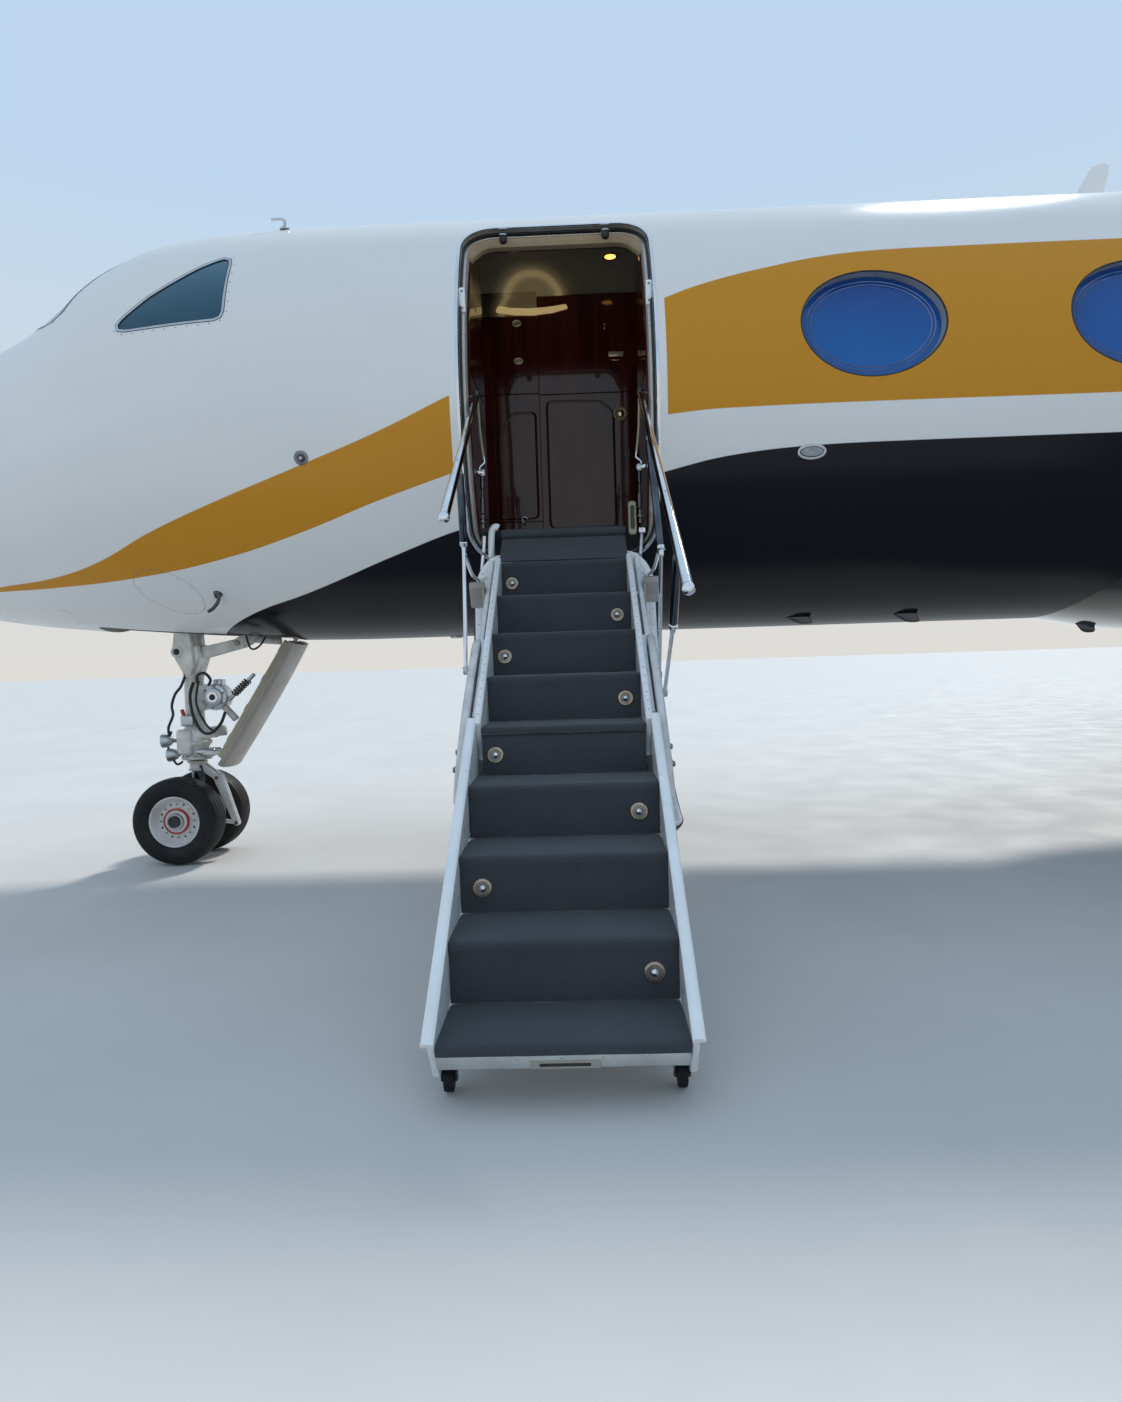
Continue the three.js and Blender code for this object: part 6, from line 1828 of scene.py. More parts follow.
# rim, bolts and cap of one wheel; out is the side that faces away from the leg
def addRim(form, kind, y, out):
    w = wheelSet[kind]
    r, h = w["rim"], w["half"]
    at = Vector((w["x"], y, w["radius"]))

    def turned(profile, look, sides=64):
        ends = [(along * h * out, radius * r) for along, radius in profile]
        add(form, turnedShape(ends, "y", at, sides), look)

    turned([(-.25, 0.0), (-.25, .66), (-.6, .86), (-.7, .97), (-.7, 1.0), (-.6, .985), (.6, .985), (.7, 1.0),
        (.79, 1.035), (.845, 1.02), (.85, .985), (.8, .955), (.72, .93), (.52, .875), (.34, .82), (.25, .76),
        (.24, .6), (.3, .545), (.48, .5), (.53, .47), (.53, 0.0)], "strutWhite", 96)
    turned([(.4, .44), (.56, .452), (.585, .47), (.58, .505), (.53, .525), (.4, .525)], "red")
    turned([(.5, .345), (.74, .335), (.79, .315), (.79, .27), (.72, .26), (.68, 0.0)], "alloy", 40)
    turned([(.66, .235), (.86, .23), (.9, .21), (.89, .17), (.84, .16), (.83, 0.0)], "darkPlastic", 32)
    for k in range(w["bolts"]):
        for turn, radius, size, look, tall in ((0.0, .68, .032, "steel", .13), (.5, .7, .045, "seal", .012)):
            a = 2 * math.pi * (k + turn) / w["bolts"]
            spot = at + Vector((math.cos(a) * radius * r, 0, math.sin(a) * radius * r))
            ends = [((.22) * h * out, size * r), ((.24 + tall) * h * out, size * r),
                ((.245 + tall) * h * out, size * .7 * r), ((.245 + tall) * h * out, 0)]
            add(form, turnedShape(ends, "y", spot, 6 if turn == 0 else 16), look)
    a = .7
    spot = at + Vector((math.cos(a) * .88 * r, .52 * h * out, math.sin(a) * .88 * r))
    add(form, barShape(spot, spot + Vector((-.02, .018 * out, -.014)), .0045), "brass")


# disc brakes between a main wheel and its leg
def addBrake(form, kind, y, out):
    w = wheelSet[kind]
    r = w["rim"]
    at = (w["x"], y, w["radius"])
    add(form, turnedShape([(0, .4 * r), (0, .8 * r), (.012, .84 * r), (.05, .84 * r), (.06, .8 * r),
        (.06, .4 * r)], "y", (at[0], y - .03, at[2]), 48), "steel")
    for k in range(5):
        a = 2 * math.pi * k / 5 + .3
        spot = Vector(at) + Vector((math.cos(a) * .6 * r, -.045 * out, math.sin(a) * .6 * r))
        add(form, turnedBetween(spot, spot - Vector((0, .03 * out, 0)),
            [(-.012, .026), (.012, .026), (.02, .018), (.022, 0)], 20), "alloy")


# flat link plate in the x-z plane, from a thick end to a thin one, bored at both
def linkPlate(form, a, b, wideA, wideB, y0, y1, look):
    a, b = Vector(a), Vector(b)
    y0, y1 = sorted((y0, y1))
    along = (b - a).normalized()
    start = math.atan2(along.y, along.x)
    outline = []
    for centre, wide, first in ((b, wideB, -90), (a, wideA, 90)):
        outline += [(centre.x + wide * math.cos(start + math.radians(first + 22.5 * k)),
            centre.y + wide * math.sin(start + math.radians(first + 22.5 * k))) for k in range(9)]
    add(form, slabShape(outline, "y", y0, y1, .004), look)
    for centre, wide in ((a, wideA), (b, wideB)):
        add(form, turnedShape([(y0 - .004, 0.0), (y0 - .004, wide * .42), (y0 - .001, wide * .5),
            (y1 + .001, wide * .5), (y1 + .004, wide * .42), (y1 + .004, 0.0)], "y", (centre.x, 0, centre.y),
            24), "steel")


def makeNoseLeg():
    enamel, x = "strut", legSet["noseX"]
    leg = newForm()
    add(leg, turnedShape([(.612, .048), (.616, .086), (.624, .094), (.634, .092), (.64, .078), (.66, .074),
        (.7, .078), (.715, .094), (.728, .096), (.738, .084), (.8, .08), (.815, .07), (.83, .062), (.9, .056),
        (.94, .058), (1.02, .056), (1.1, .056), (1.16, .062), (1.22, .07), (1.3, .072), (1.38, .066),
        (1.5, .06), (1.79, .06)], "z", (x, 0, 0), 48), enamel)
    add(leg, barShape((x, -.196, 1.44), (x, .196, 1.44), .042), enamel)
    # trunnion yoke with its bored lugs
    for side in (-1, 1):
        y0, y1 = sorted((side * .07, side * .105))
        outline = [(-11.055, 1.3), (-11.045, 1.345), (-11.03, 1.45), (-10.935, 1.45), (-10.915, 1.2),
            (-10.94, 1.14), (-10.99, 1.16), (-11.035, 1.245)]
        add(leg, slabShape(softCorners(outline, .02), "y", y0, y1, .008), enamel)
        add(leg, turnedShape([(y0 - .006, .02), (y0 - .006, .036), (y1 + .006, .036), (y1 + .006, .02)], "y",
            (-11.018, 0, 1.292), 28), "strutWhite")
        add(leg, turnedShape([(y0 - .0075, 0.0), (y0 - .0075, .02), (y1 + .0075, .02), (y1 + .0075, 0.0)], "y",
            (-11.018, 0, 1.292), 24), "seal")
    add(leg, slabShape(softCorners([(-10.99, 1.13), (-10.99, 1.3), (-10.9, 1.34), (-10.88, 1.27),
        (-10.93, 1.13)], .02), "y", -.085, .085, .012), enamel)
    # folding drag brace up to the bay's rear wall
    for side in (-1, 1):
        linkPlate(leg, (-10.925, 1.275), (-10.655, 1.335), .036, .03, side * .018, side * .044, enamel)
        linkPlate(leg, (-10.655, 1.335), (-10.372, 1.496), .03, .036, side * .046, side * .066, enamel)
    add(leg, barShape((-10.925, -.05, 1.275), (-10.925, .05, 1.275), .019), "steel")
    add(leg, barShape((-10.655, -.075, 1.335), (-10.655, .075, 1.335), .016), "steel")
    add(leg, barShape((-10.37, -.197, 1.5), (-10.37, .197, 1.5), .026), enamel)
    add(leg, barShape((-10.6, 0.0, 1.36), (-10.4, 0.0, 1.34), .022), enamel)
    add(leg, barShape((-10.78, 0.0, 1.3), (-10.6, 0.0, 1.36), .011), "bright")
    # steering motor on its bracket
    add(leg, slabShape(softCorners([(-10.965, .93), (-10.965, 1.11), (-10.87, 1.07), (-10.85, .96),
        (-10.9, .92)], .015), "y", -.05, .05, .008), enamel)
    motor = Vector((-10.822, 0, 1.005))
    for profile, sides, look in (([(-.08, .05), (-.076, .056), (-.062, .058), (-.058, .078), (-.04, .084),
            (.04, .084), (.058, .078), (.062, .058), (.08, .05)], 40, "alloy"),
            ([(-.083, .02), (-.083, .032), (-.075, .034), (.075, .034), (.083, .03), (.083, 0.0)], 28,
            "bright"), ([(-.0845, 0.0), (-.0845, .019), (-.07, .02)], 24, "seal")):
        add(leg, turnedShape(profile, "y", motor, sides), look)
    for k in range(6):
        a = math.pi * k / 3 + .4
        spot = motor + Vector((.066 * math.cos(a), -.058, .066 * math.sin(a)))
        add(leg, turnedShape([(.004, .008), (-.006, .008), (-.007, .005), (-.007, 0)], "y", spot, 6), "steel")
    add(leg, blockShape((-10.83, -.045, 1.075), (-10.775, .03, 1.115), .01, 3), "alloy")
    add(leg, barShape((-10.78, -.02, .95), (-10.7, -.02, .86), .022), enamel)
    # steering collar with its lugs and rack
    for side in (-1, 1):
        add(leg, barShape((x + .015, side * .045, .775), (x + .165, side * .075, .79), .034), enamel)
        add(leg, barShape((x + .02, side * .05, .665), (x + .14, side * .06, .66), .022), "alloy")
    add(leg, blockShape((x - .085, -.105, .65), (x + .01, -.06, .81), .018, 3), enamel)
    add(leg, blockShape((x - .05, -.11, .83), (x + .035, -.045, .9), .014, 3), "alloy")
    add(leg, barShape((x - .03, -.08, .88), (x - .045, -.085, .935), .012), "red")
    for k in range(10):
        a = 2 * math.pi * k / 10
        add(leg, turnedShape([(0.0, .008), (.007, .008), (.008, .005), (.008, 0)], "z",
            (x + .084 * math.cos(a), .084 * math.sin(a), .634), 6), "steel")
    # twin lamps on the front
    for at, size in (((-11.135, -.085, .742), .043), ((-11.098, -.095, .655), .041)):
        ahead = Vector(at) + Vector((-1, -.12, -.05))
        add(leg, turnedBetween(at, ahead, [(-.055, .012), (-.045, .026), (-.02, size * .93), (0.0, size),
            (.012, size), (.014, size * .9)], 32), "alloy")
        add(leg, turnedBetween(at, ahead, [(.008, size * .9), (.014, size * .86), (.022, size * .5), (.024, 0)],
            28), "lampGlass")
        add(leg, barShape(Vector(at) + Vector((.04, .01, 0)), (x - .07, -.07, at[2]), .012), "steel")
    for points, radius in (([(-10.925, -.05, 1.1), (-10.9, -.095, 1.145), (-10.85, -.108, 1.155),
            (-10.82, -.1, 1.115), (-10.84, -.085, 1.08)], .009),
            ([(-10.945, -.062, 1.1), (-10.955, -.095, 1.02), (-10.935, -.112, .9), (-10.885, -.115, .8),
                (-10.83, -.108, .785), (-10.77, -.1, .84), (-10.75, -.07, .91)], .0095),
            ([(-10.9, -.085, 1.11), (-10.915, -.102, 1.0), (-10.9, -.105, .92), (-10.85, -.11, .83),
                (-10.82, -.1, .8)], .007),
            ([(-10.99, -.055, 1.16), (-11.012, -.085, 1.08), (-11.05, -.09, 1.03), (-11.075, -.088, .96),
                (-11.07, -.09, .9), (-11.105, -.085, .82), (-11.1, -.075, .75)], .0085),
            ([(-11.09, -.08, .8), (-11.115, -.078, .7), (-11.06, -.1, .6), (-11.02, -.095, .612)], .007),
            ([(-10.93, .06, 1.2), (-10.96, .09, 1.05), (-10.98, .09, .9), (-10.93, .1, .78)], .009),
            ([(-10.6, -.08, 1.42), (-10.56, -.1, 1.3), (-10.5, -.09, 1.32), (-10.46, -.06, 1.41)], .006)):
        add(leg, pipeShape(points, radius, 12, 6), "hose")
    makePiece("noseLeg", leg, standsFor=["nose_gear_leg"], crease=40)


def makeNoseLower():
    enamel, x, axle = "strut", legSet["noseX"], wheelSet["nose"]["radius"]
    low = newForm()
    add(low, turnedShape([(axle + .03, .034), (axle + .04, .036), (.606, .036), (.608, .034)], "z", (x, 0, 0),
        36), "darkChrome")
    add(low, turnedShape([(.545, .036), (.546, .056), (.552, .06), (.556, .05), (.592, .048), (.596, .062),
        (.606, .062), (.608, .04)], "z", (x, 0, 0), 36), enamel)
    add(low, barShape((x, 0, axle + .085), (-11.01, 0, axle), .048, .052), enamel)
    add(low, turnedShape([(-.062, .036), (-.06, .05), (-.04, .056), (.04, .056), (.06, .05), (.062, .036)], "y",
        (-11.01, 0, axle), 36), enamel)
    for side in (-1, 1):
        linkPlate(low, (x + .035, .572), (-10.838, .498), .022, .018, side * .022, side * .038, "strutWhite")
        linkPlate(low, (-10.838, .498), (-10.735, .205), .032, .018, side * .004, side * .02, "strutWhite")
    add(low, barShape((-10.838, -.046, .498), (-10.838, .046, .498), .011), "steel")
    add(low, slabShape(softCorners([(-10.852, .49), (-10.815, .51), (-10.722, .205), (-10.748, .192)], .008),
        "y", -.01, .01, .003), "strutWhite")
    add(low, barShape((-10.735, -.026, .205), (-10.735, .026, .205), .013), "steel")
    for side in (-1, 1):
        add(low, barShape((-10.74, side * .014, .208), (-10.985, side * .02, .238), .01), enamel)
    # tow fitting on the front of the axle
    y = .024
    add(low, slabShape(softCorners([(-11.118, axle - .019), (-11.118, axle + .019), (-11.05, axle + .03),
        (-11.04, axle - .03)], .008), "y", -y, y, .004), "steel")
    add(low, pipeShape([(-10.93, -.05, .58), (-10.9, -.07, .5), (-10.915, -.06, .42), (-10.96, -.05, .33)],
        .006, 10, 6), "hose")
    makePiece("noseLegLower", low, "nose_steering", ["nose_gear_lower"], 40)

    hub = newForm()
    for side in (-1, 1):
        addRim(hub, "nose", side * wheelSet["nose"]["track"], side)
    add(hub, barShape((-11.01, -.2, axle), (-11.01, .2, axle), wheelSet["nose"]["axle"]), "steel")
    makePiece("noseRims", hub, "nose_wheels", ["nose_hub"], 36)
    for name, side in (("Left", -1), ("Right", 1)):
        tyre = newForm()
        add(tyre, tyreShape("nose", side * wheelSet["nose"]["track"]), "tyre")
        makePiece(f"noseTyre{name}", tyre, "nose_wheels", [f"nose_tyre_{name.lower()}"], 30)


def makeNoseDoor():
    form = newForm()
    a, b = Vector((-10.79, .602)), Vector((-10.315, 1.345))
    along = (b - a).normalized()
    back = Vector((along.y, -along.x))

    def strip(t0, t1, d0, d1, y0, y1, bevel, look):
        corners = [a.lerp(b, t0) + back * d0, a.lerp(b, t1) + back * d0, a.lerp(b, t1) + back * d1,
            a.lerp(b, t0) + back * d1]
        add(form, slabShape([tuple(p) for p in corners], "y", y0, y1, bevel), look)

    # curved outer skin: the middle stands a little further back than the sides
    rings = []
    for k in range(21):
        y = -.165 + .33 * k / 20
        bulge = .02 * (1 - (y / .165) ** 2)
        flare = 1.0 if 0 < k < 20 else .4
        ring = []
        for t, depth in ((0.0, .012), (0.0, .046 + bulge), (.25, .052 + bulge), (.5, .054 + bulge),
                (.75, .052 + bulge), (1.0, .042 + bulge), (1.0, .012), (.75, .02), (.5, .02), (.25, .02)):
            middle = .03 + bulge * .5
            p = a.lerp(b, t) + back * (middle + (depth - middle) * flare)
            ring.append((p.x, y, p.y))
        rings.append(ring)
    add(form, ringSkin(rings), "panelGrey")
    for y in (-.145, .145):
        strip(.05, .99, -.012, .026, y - .013, y + .013, .005, "cream")
    for t in (.12, .3, .48, .66, .84):
        strip(t, t + .014, -.004, .024, -.13, .13, .003, "cream")
    for t in (.18, .42, .66, .9):
        strip(t, t + .05, -.016, -.006, -.152, -.138, .002, "steel")
    for y in (-.1, .1):
        add(form, barShape((-10.745, y, .66), (-10.9, y * .7, .655), .012), "strut")
        add(form, barShape((-10.745, y, .64), (-10.745, y, .69), .018), "steel")
    add(form, barShape((-10.274, -.15, 1.362), (-10.274, .15, 1.362), .014), "steel")
    # sprung stay between leg and door
    add(form, barShape((-10.74, -.03, .98), (-10.56, -.06, 1.14), .012), "alloy")
    spring = []
    start, end = Vector((-10.7, -.04, 1.02)), Vector((-10.6, -.055, 1.105))
    line = (end - start).normalized()
    first = line.orthogonal().normalized()
    second = line.cross(first)
    for k in range(7 * 12 + 1):
        angle = 2 * math.pi * k / 12
        spring.append(tuple(start.lerp(end, k / 84)
            + (first * math.cos(angle) + second * math.sin(angle)) * .021))
    add(form, pipeShape(spring, .0042, 8), "seal")
    add(form, pipeShape([(-10.33, 0.0, 1.3), (-10.29, 0.0, 1.4), (-10.27, 0.0, 1.5)], .013, 12, 4), "strut")
    makePiece("noseGearDoor", form, standsFor=["nose_gear_door"], crease=36)


# primed frames, lines and the door edges inside the nose bay
def makeNoseBay():
    form = newForm()
    (x0, _, _), (x1, _, z1) = bayBox
    for x in spaced(x0 + .1, x1 - .1, .165):
        for side in (-1, 1):
            a, b = sorted((side * .197, side * .165))
            add(form, blockShape((x - .012, a, hullTop(x, .19, 0, False)[2] + .02), (x + .012, b, z1 - .003),
                .004), "inside")
        add(form, blockShape((x - .012, -.19, z1 - .04), (x + .012, .19, z1 - .003), .004), "inside")
    for side in (-1, 1):
        for z, r in ((1.47, .009), (1.52, .006), (1.62, .012)):
            add(form, pipeShape([(x0 + .05, side * .155, z), (-10.9, side * .15, z + .02),
                (x1 - .06, side * .155, z - .01)], r, 12, 6), "alloy" if z > 1.5 else "hose")
        put = lambda x, y, deep: hullTop(x, y, deep, False)
        edge = [(x0 + .02, side * .204), (x1 - .02, side * .204), (x1 - .02, side * .226),
            (x0 + .02, side * .226)]
        edge = edge if side > 0 else list(reversed(edge))
        skinPatch(form, evenlySpaced(edge, .03), -.0012, put, "seal", 2)
    makePiece("noseBayLining", form, crease=36)


def makeMainGear():
    w = wheelSet["main"]
    axle, x = w["radius"], w["x"]
    for name, side in (("Left", -1), ("Right", 1)):
        y = side * legSet["mainY"]
        leg = newForm()
        for profile, axis, centre, sides, look in (([(axle + .03, .045), (axle + .04, .05), (.872, .05),
                (.875, .046)], "z", (x, y, 0), 40, "chrome"),
                ([(.86, .05), (.862, .074), (.872, .08), (.9, .08), (.91, .068), (1.08, .066), (1.1, .076),
                (1.15, .076), (1.17, .066), (1.45, .068), (1.52, .085), (1.62, .09), (1.648, .085)], "z",
                (x, y, 0), 44, "strut"), ([(-.066, .054), (-.064, .078), (-.05, .084), (.05, .084),
                (.064, .078), (.066, .054)], "y", (x, y, axle), 44, "strut")):
            add(leg, turnedShape(profile, axis, centre, sides), look)
        add(leg, barShape((x, y, 1.12), (x, side * 1.372, 1.592), .04, .034), "strut")
        add(leg, ballShape((x, y - side * .07, 1.15), .052, 24), "strut")
        add(leg, barShape((x + .03, y - side * .02, 1.5), (x + .03, side * 1.42, 1.53), .022), "alloy")
        for dy in (-.03, .03):
            linkPlate(leg, (x + .055, .875), (x + .225, .685), .032, .022, y + dy - .009, y + dy + .009,
                "strut")
            linkPlate(leg, (x + .225, .685), (x + .06, axle + .065), .022, .032, y + dy * .4 - .006,
                y + dy * .4 + .006, "strut")
        for dy in (-.05, .05):
            add(leg, pipeShape([(x - .05, y + dy, 1.45), (x - .085, y + dy, 1.15), (x - .09, y + dy, .9),
                (x - .12, y + dy * 1.3, .68), (x - .09, y + dy * 1.7, axle + .07)], .009, 12, 6), "hose")
        for z in (.95, 1.3):
            add(leg, turnedShape([(z, .067), (z + .002, .071), (z + .022, .071), (z + .024, .067)], "z",
                (x, y, 0), 36), "steel")
        # leg door hung on the outer side
        out = [(x - .19, .98), (x + .2, .98), (x + .25, 1.2), (x + .24, 1.6), (x - .24, 1.62), (x - .24, 1.2)]
        rings = []
        for share, level in ((.02, .012), (.55, .011), (.9, .008), (.98, .004), (1, 0), (1, -.01), (.98, -.014),
                (.5, -.012), (.02, -.012)):
            ring = []
            for u, v in evenlySpaced(softCorners(out, .05), .05):
                ring.append((x + (u - x) * share, y + side * (.115 + level), 1.3 + (v - 1.3) * share))
            rings.append(ring)
        add(leg, ringSkin(rings), "white")
        for z in (1.08, 1.42):
            add(leg, barShape((x, y + side * .05, z), (x, y + side * .108, z), .016), "strut")
        makePiece(f"mainLeg{name}", leg, standsFor=[f"main_gear_leg_{name.lower()}"],
            crease=40)
        hub = newForm()
        for way in (-1, 1):
            middle = y + way * w["track"]
            addRim(hub, "main", middle, way)
        add(hub, barShape((x, y - w["track"], axle), (x, y + w["track"], axle), w["axle"]), "steel")
        makePiece(f"mainRims{name}", hub, f"main_wheels_{name.lower()}", [f"main_hub_{name.lower()}"],
            36)
        brakes = newForm()
        for way in (-1, 1):
            addBrake(brakes, "main", y + way * .105, way)
        makePiece(f"mainBrakes{name}", brakes, crease=36)
        for place, way in (("inner", -side), ("outer", side)):
            tyre = newForm()
            add(tyre, tyreShape("main", y + way * w["track"]), "tyre")
            makePiece(f"mainTyre{name}{place.capitalize()}", tyre, f"main_wheels_{name.lower()}",
                [f"main_tyre_{name.lower()}_{place}"], 30)


makeNoseLeg()
makeNoseLower()
makeNoseDoor()
makeNoseBay()
makeMainGear()
print("landing gear made")


# surfaces as stations: x, y and z of the leading edge, chord, thickness share, cant in degrees
wingSet = {"root": (-4.73, 1.68), "chord": (5.94, 2.04), "tipY": 11.3, "sweep": 31.5, "dihedral": 3,
    "thick": (.125, .035), "edge": .075, "flap": (1.5, 8.2, .76), "aileron": (8.3, 10.9, .78),
    "winglet": [(2.4, 11.56, 2.325, 1.84, .085, 25), (2.62, 11.74, 2.48, 1.6, .085, 60),
    (2.96, 11.8, 2.9, 1.24, .085, 80), (3.42, 11.85, 3.55, .76, .0845, 82)]}
finSet = {"root": (7.0, 3.15), "topZ": 7.33, "chord": (4.45, 2.95), "sweep": 39, "thick": .1,
    "rudder": (4.35, 7.05, .7)}
stabSet = {"z": 7.43, "chord": (2.75, 1.02), "half": 4.9, "sweep": 30, "thick": .09, "tipX": 13.6,
    "elevator": (.62, 4.65, .68)}
slope = lambda degrees: math.tan(math.radians(degrees))


def wingStation(y):
    w = wingSet
    share = y / w["tipY"]
    return (w["root"][0] + y * slope(w["sweep"]), y, w["root"][1] + y * slope(w["dihedral"]),
        w["chord"][0] + (w["chord"][1] - w["chord"][0]) * share, w["thick"][0] - w["thick"][1] * share, 0)


def finStation(z):
    f = finSet
    share = (z - f["root"][1]) / (f["topZ"] - f["root"][1])
    return (f["root"][0] + (z - f["root"][1]) * slope(f["sweep"]), 0, z,
        f["chord"][0] + (f["chord"][1] - f["chord"][0]) * share, f["thick"], 90)


def stabStation(y):
    s = stabSet
    share = abs(y) / s["half"]
    rootX = s["tipX"] - s["chord"][1] - s["half"] * slope(s["sweep"])
    return (rootX + abs(y) * slope(s["sweep"]), y, s["z"],
        s["chord"][0] + (s["chord"][1] - s["chord"][0]) * share, s["thick"], 0)


# half thickness of the section over its chord
def foilHalf(share, thick):
    return 5 * thick * (.2969 * math.sqrt(share) - .126 * share - .3516 * share ** 2 + .2843 * share ** 3
        - .1034 * share ** 4)


def foilPoint(station, share, across):
    x, y, z, chord, _, cant = station
    lean = math.radians(cant)
    return (x + share * chord, y - across * chord * math.sin(lean), z + across * chord * math.cos(lean))


# section from the start share of the chord to the end share; a start past 0 gets a round nose
def foilRing(station, start=0.0, end=.998, count=26):
    thick = station[4]
    if start == 0.0:
        shares = [end * (1 - math.cos(math.pi / 2 * k / count)) for k in range(count + 1)]
        line = [(s, foilHalf(s, thick)) for s in reversed(shares)] + [(s, -foilHalf(s, thick))
            for s in shares[1:]]
        return [foilPoint(station, s, h) for s, h in line]
    shares = [start + (end - start) * k / 8 for k in range(9)]
    nose = foilHalf(start, thick)
    line = [(s, foilHalf(s, thick)) for s in reversed(shares)]
    line += [(start - .3 * nose * math.sin(a), nose * math.cos(a))
        for a in [math.pi * k / 8 for k in range(1, 8)]]
    line += [(s, -foilHalf(s, thick)) for s in shares]
    return [foilPoint(station, s, h) for s, h in line]


def between(first, last, count):
    return [first + (last - first) * k / count for k in range(count + 1)]


def foilBody(form, stations, look, start=0.0, end=.998, mirror=False):
    shape = outward(ringSkin([foilRing(s, start, end) for s in stations]))
    add(form, mirroredShape(shape) if mirror else shape, look)


# polished strip that wraps a leading edge, over the skin
def leadingStrip(form, stations, share, mirror, look, lift=.0012):
    rings = []
    for s in stations:
        count = 12
        shares = [share * (1 - math.cos(math.pi / 2 * k / count)) for k in range(count + 1)]
        out = lift / s[3]
        line = [(t, foilHalf(t, s[4]) + out) for t in reversed(shares)] + [(t, -foilHalf(t, s[4]) - out)
            for t in shares[1:]]
        rings.append([foilPoint(s, t - out, h) for t, h in line])
    shape = ringSkin(rings, (False, False), False)
    add(form, mirroredShape(shape) if mirror else shape, look)


# static discharge wick on a trailing edge
def addWick(form, at, mirror, length=.11):
    x, y, z = at
    y = -y if mirror else y
    add(form, barShape((x - .03, y, z), (x + .02, y, z), .006), "seal")
    add(form, turnedBetween((x + .015, y, z), (x + .015 + length, y, z),
        [(0, .0035), (length * .9, .0022), (length, .0008)], 10), "seal")


def makeWing(name, side):
    w = wingSet
    left = side < 0
    wing = newForm()
    f0, f1, fs = w["flap"]
    a0, a1, hingeShare = w["aileron"]
    for y0, y1, cutAt, steps in ((.7, f0, .998, 3), (f0, f1, fs - .003, 12), (f1, a0, .998, 1),
            (a0, a1, hingeShare - .006, 6)):
        foilBody(wing, [wingStation(y) for y in between(y0, y1, steps)], "wingSkin", end=cutAt, mirror=left)
    straight = [wingStation(y) for y in between(a1, w["tipY"], 2)]
    corners = straight + w["winglet"]
    smooth = []
    for i in range(2, len(corners) - 1):
        p0, p1, p2, p3 = (Vector(corners[min(max(i + k, 0), len(corners) - 1)]) for k in (-1, 0, 1, 2))
        for k in range(6):
            t = k / 6
            smooth.append(tuple(.5 * (2 * p1 + (p2 - p0) * t + (2 * p0 - 5 * p1 + 4 * p2 - p3) * t ** 2
                + (3 * p1 - p0 - 3 * p2 + p3) * t ** 3)))
    foilBody(wing, straight[:2] + smooth + [corners[-1]], "wingSkin", mirror=left)
    polished = [wingStation(y) for y in between(1.3, w["tipY"], 10)]
    leadingStrip(wing, polished, w["edge"], left, "bright")
    leadingStrip(wing, smooth + [corners[-1]], w["edge"], left, "bright")
    # flap track fairings under the wing
    for y in (2.9, 5.0, 7.1):
        s = wingStation(y)
        x, z = s[0] + .7 * s[3], s[2] - foilHalf(.7, s[4]) * s[3]
        rings = []
        for k in range(15):
            t = k / 14
            size = math.sin(math.pi * min(max(t, .01), .99)) ** .6
            rings.append([(x - .45 + 1.25 * t, y + .055 * size * math.cos(a),
                z + .03 * t * .4 - .02 + .085 * size * math.sin(a) * (1.0 if math.sin(a) < 0 else .5))
                for a in turns(20)])
        shape = outward(ringSkin(rings))
        add(wing, mirroredShape(shape) if left else shape, "wingSkin")
    # position lamp let into the tip's leading edge, and wicks
    lamp = []
    for y in between(10.98, 11.26, 4):
        lamp.append(wingStation(y))
    leadingStrip(wing, lamp, .035, left, "redGlass" if left else "greenGlass", .004)
    for s in (wingStation(11.1), w["winglet"][1], w["winglet"][3]):
        addWick(wing, foilPoint(s, .99, 0.0), left, .09)
    makePiece(f"wing{name}", wing, standsFor=[f"wing_{name.lower()}"], crease=35)

    flap = newForm()
    for y0, y1 in ((f0 + .012, 4.6), (4.612, f1 - .012)):
        foilBody(flap, [wingStation(y) for y in between(y0, y1, 6)], "wingSkin", start=fs + .006, mirror=left)
    makePiece(f"flap{name}", flap, standsFor=[f"flap_{name.lower()}"], crease=35)
    aileron = newForm()
    foilBody(aileron, [wingStation(y) for y in between(a0 + .015, a1 - .015, 5)], "wingSkin",
        start=hingeShare + .008, mirror=left)
    for y in (8.7, 9.4, 10.1, 10.7):
        addWick(aileron, foilPoint(wingStation(y), .992, 0.0), left)
    tab = [wingStation(y) for y in between(8.6, 9.5, 2)]
    for s in (tab[0], tab[-1]):
        a, b = foilPoint(s, .93, foilHalf(.93, s[4]) + .0004), foilPoint(s, .99, foilHalf(.99, s[4]) + .0004)
        flip = lambda p: (p[0], -p[1] if left else p[1], p[2])
        add(aileron, barShape(flip(a), flip(b), .003, sides=8), "jointLine")
    makePiece(f"aileron{name}", aileron, f"aileron_{name.lower()}", [f"aileron_{name.lower()}"],
        35)


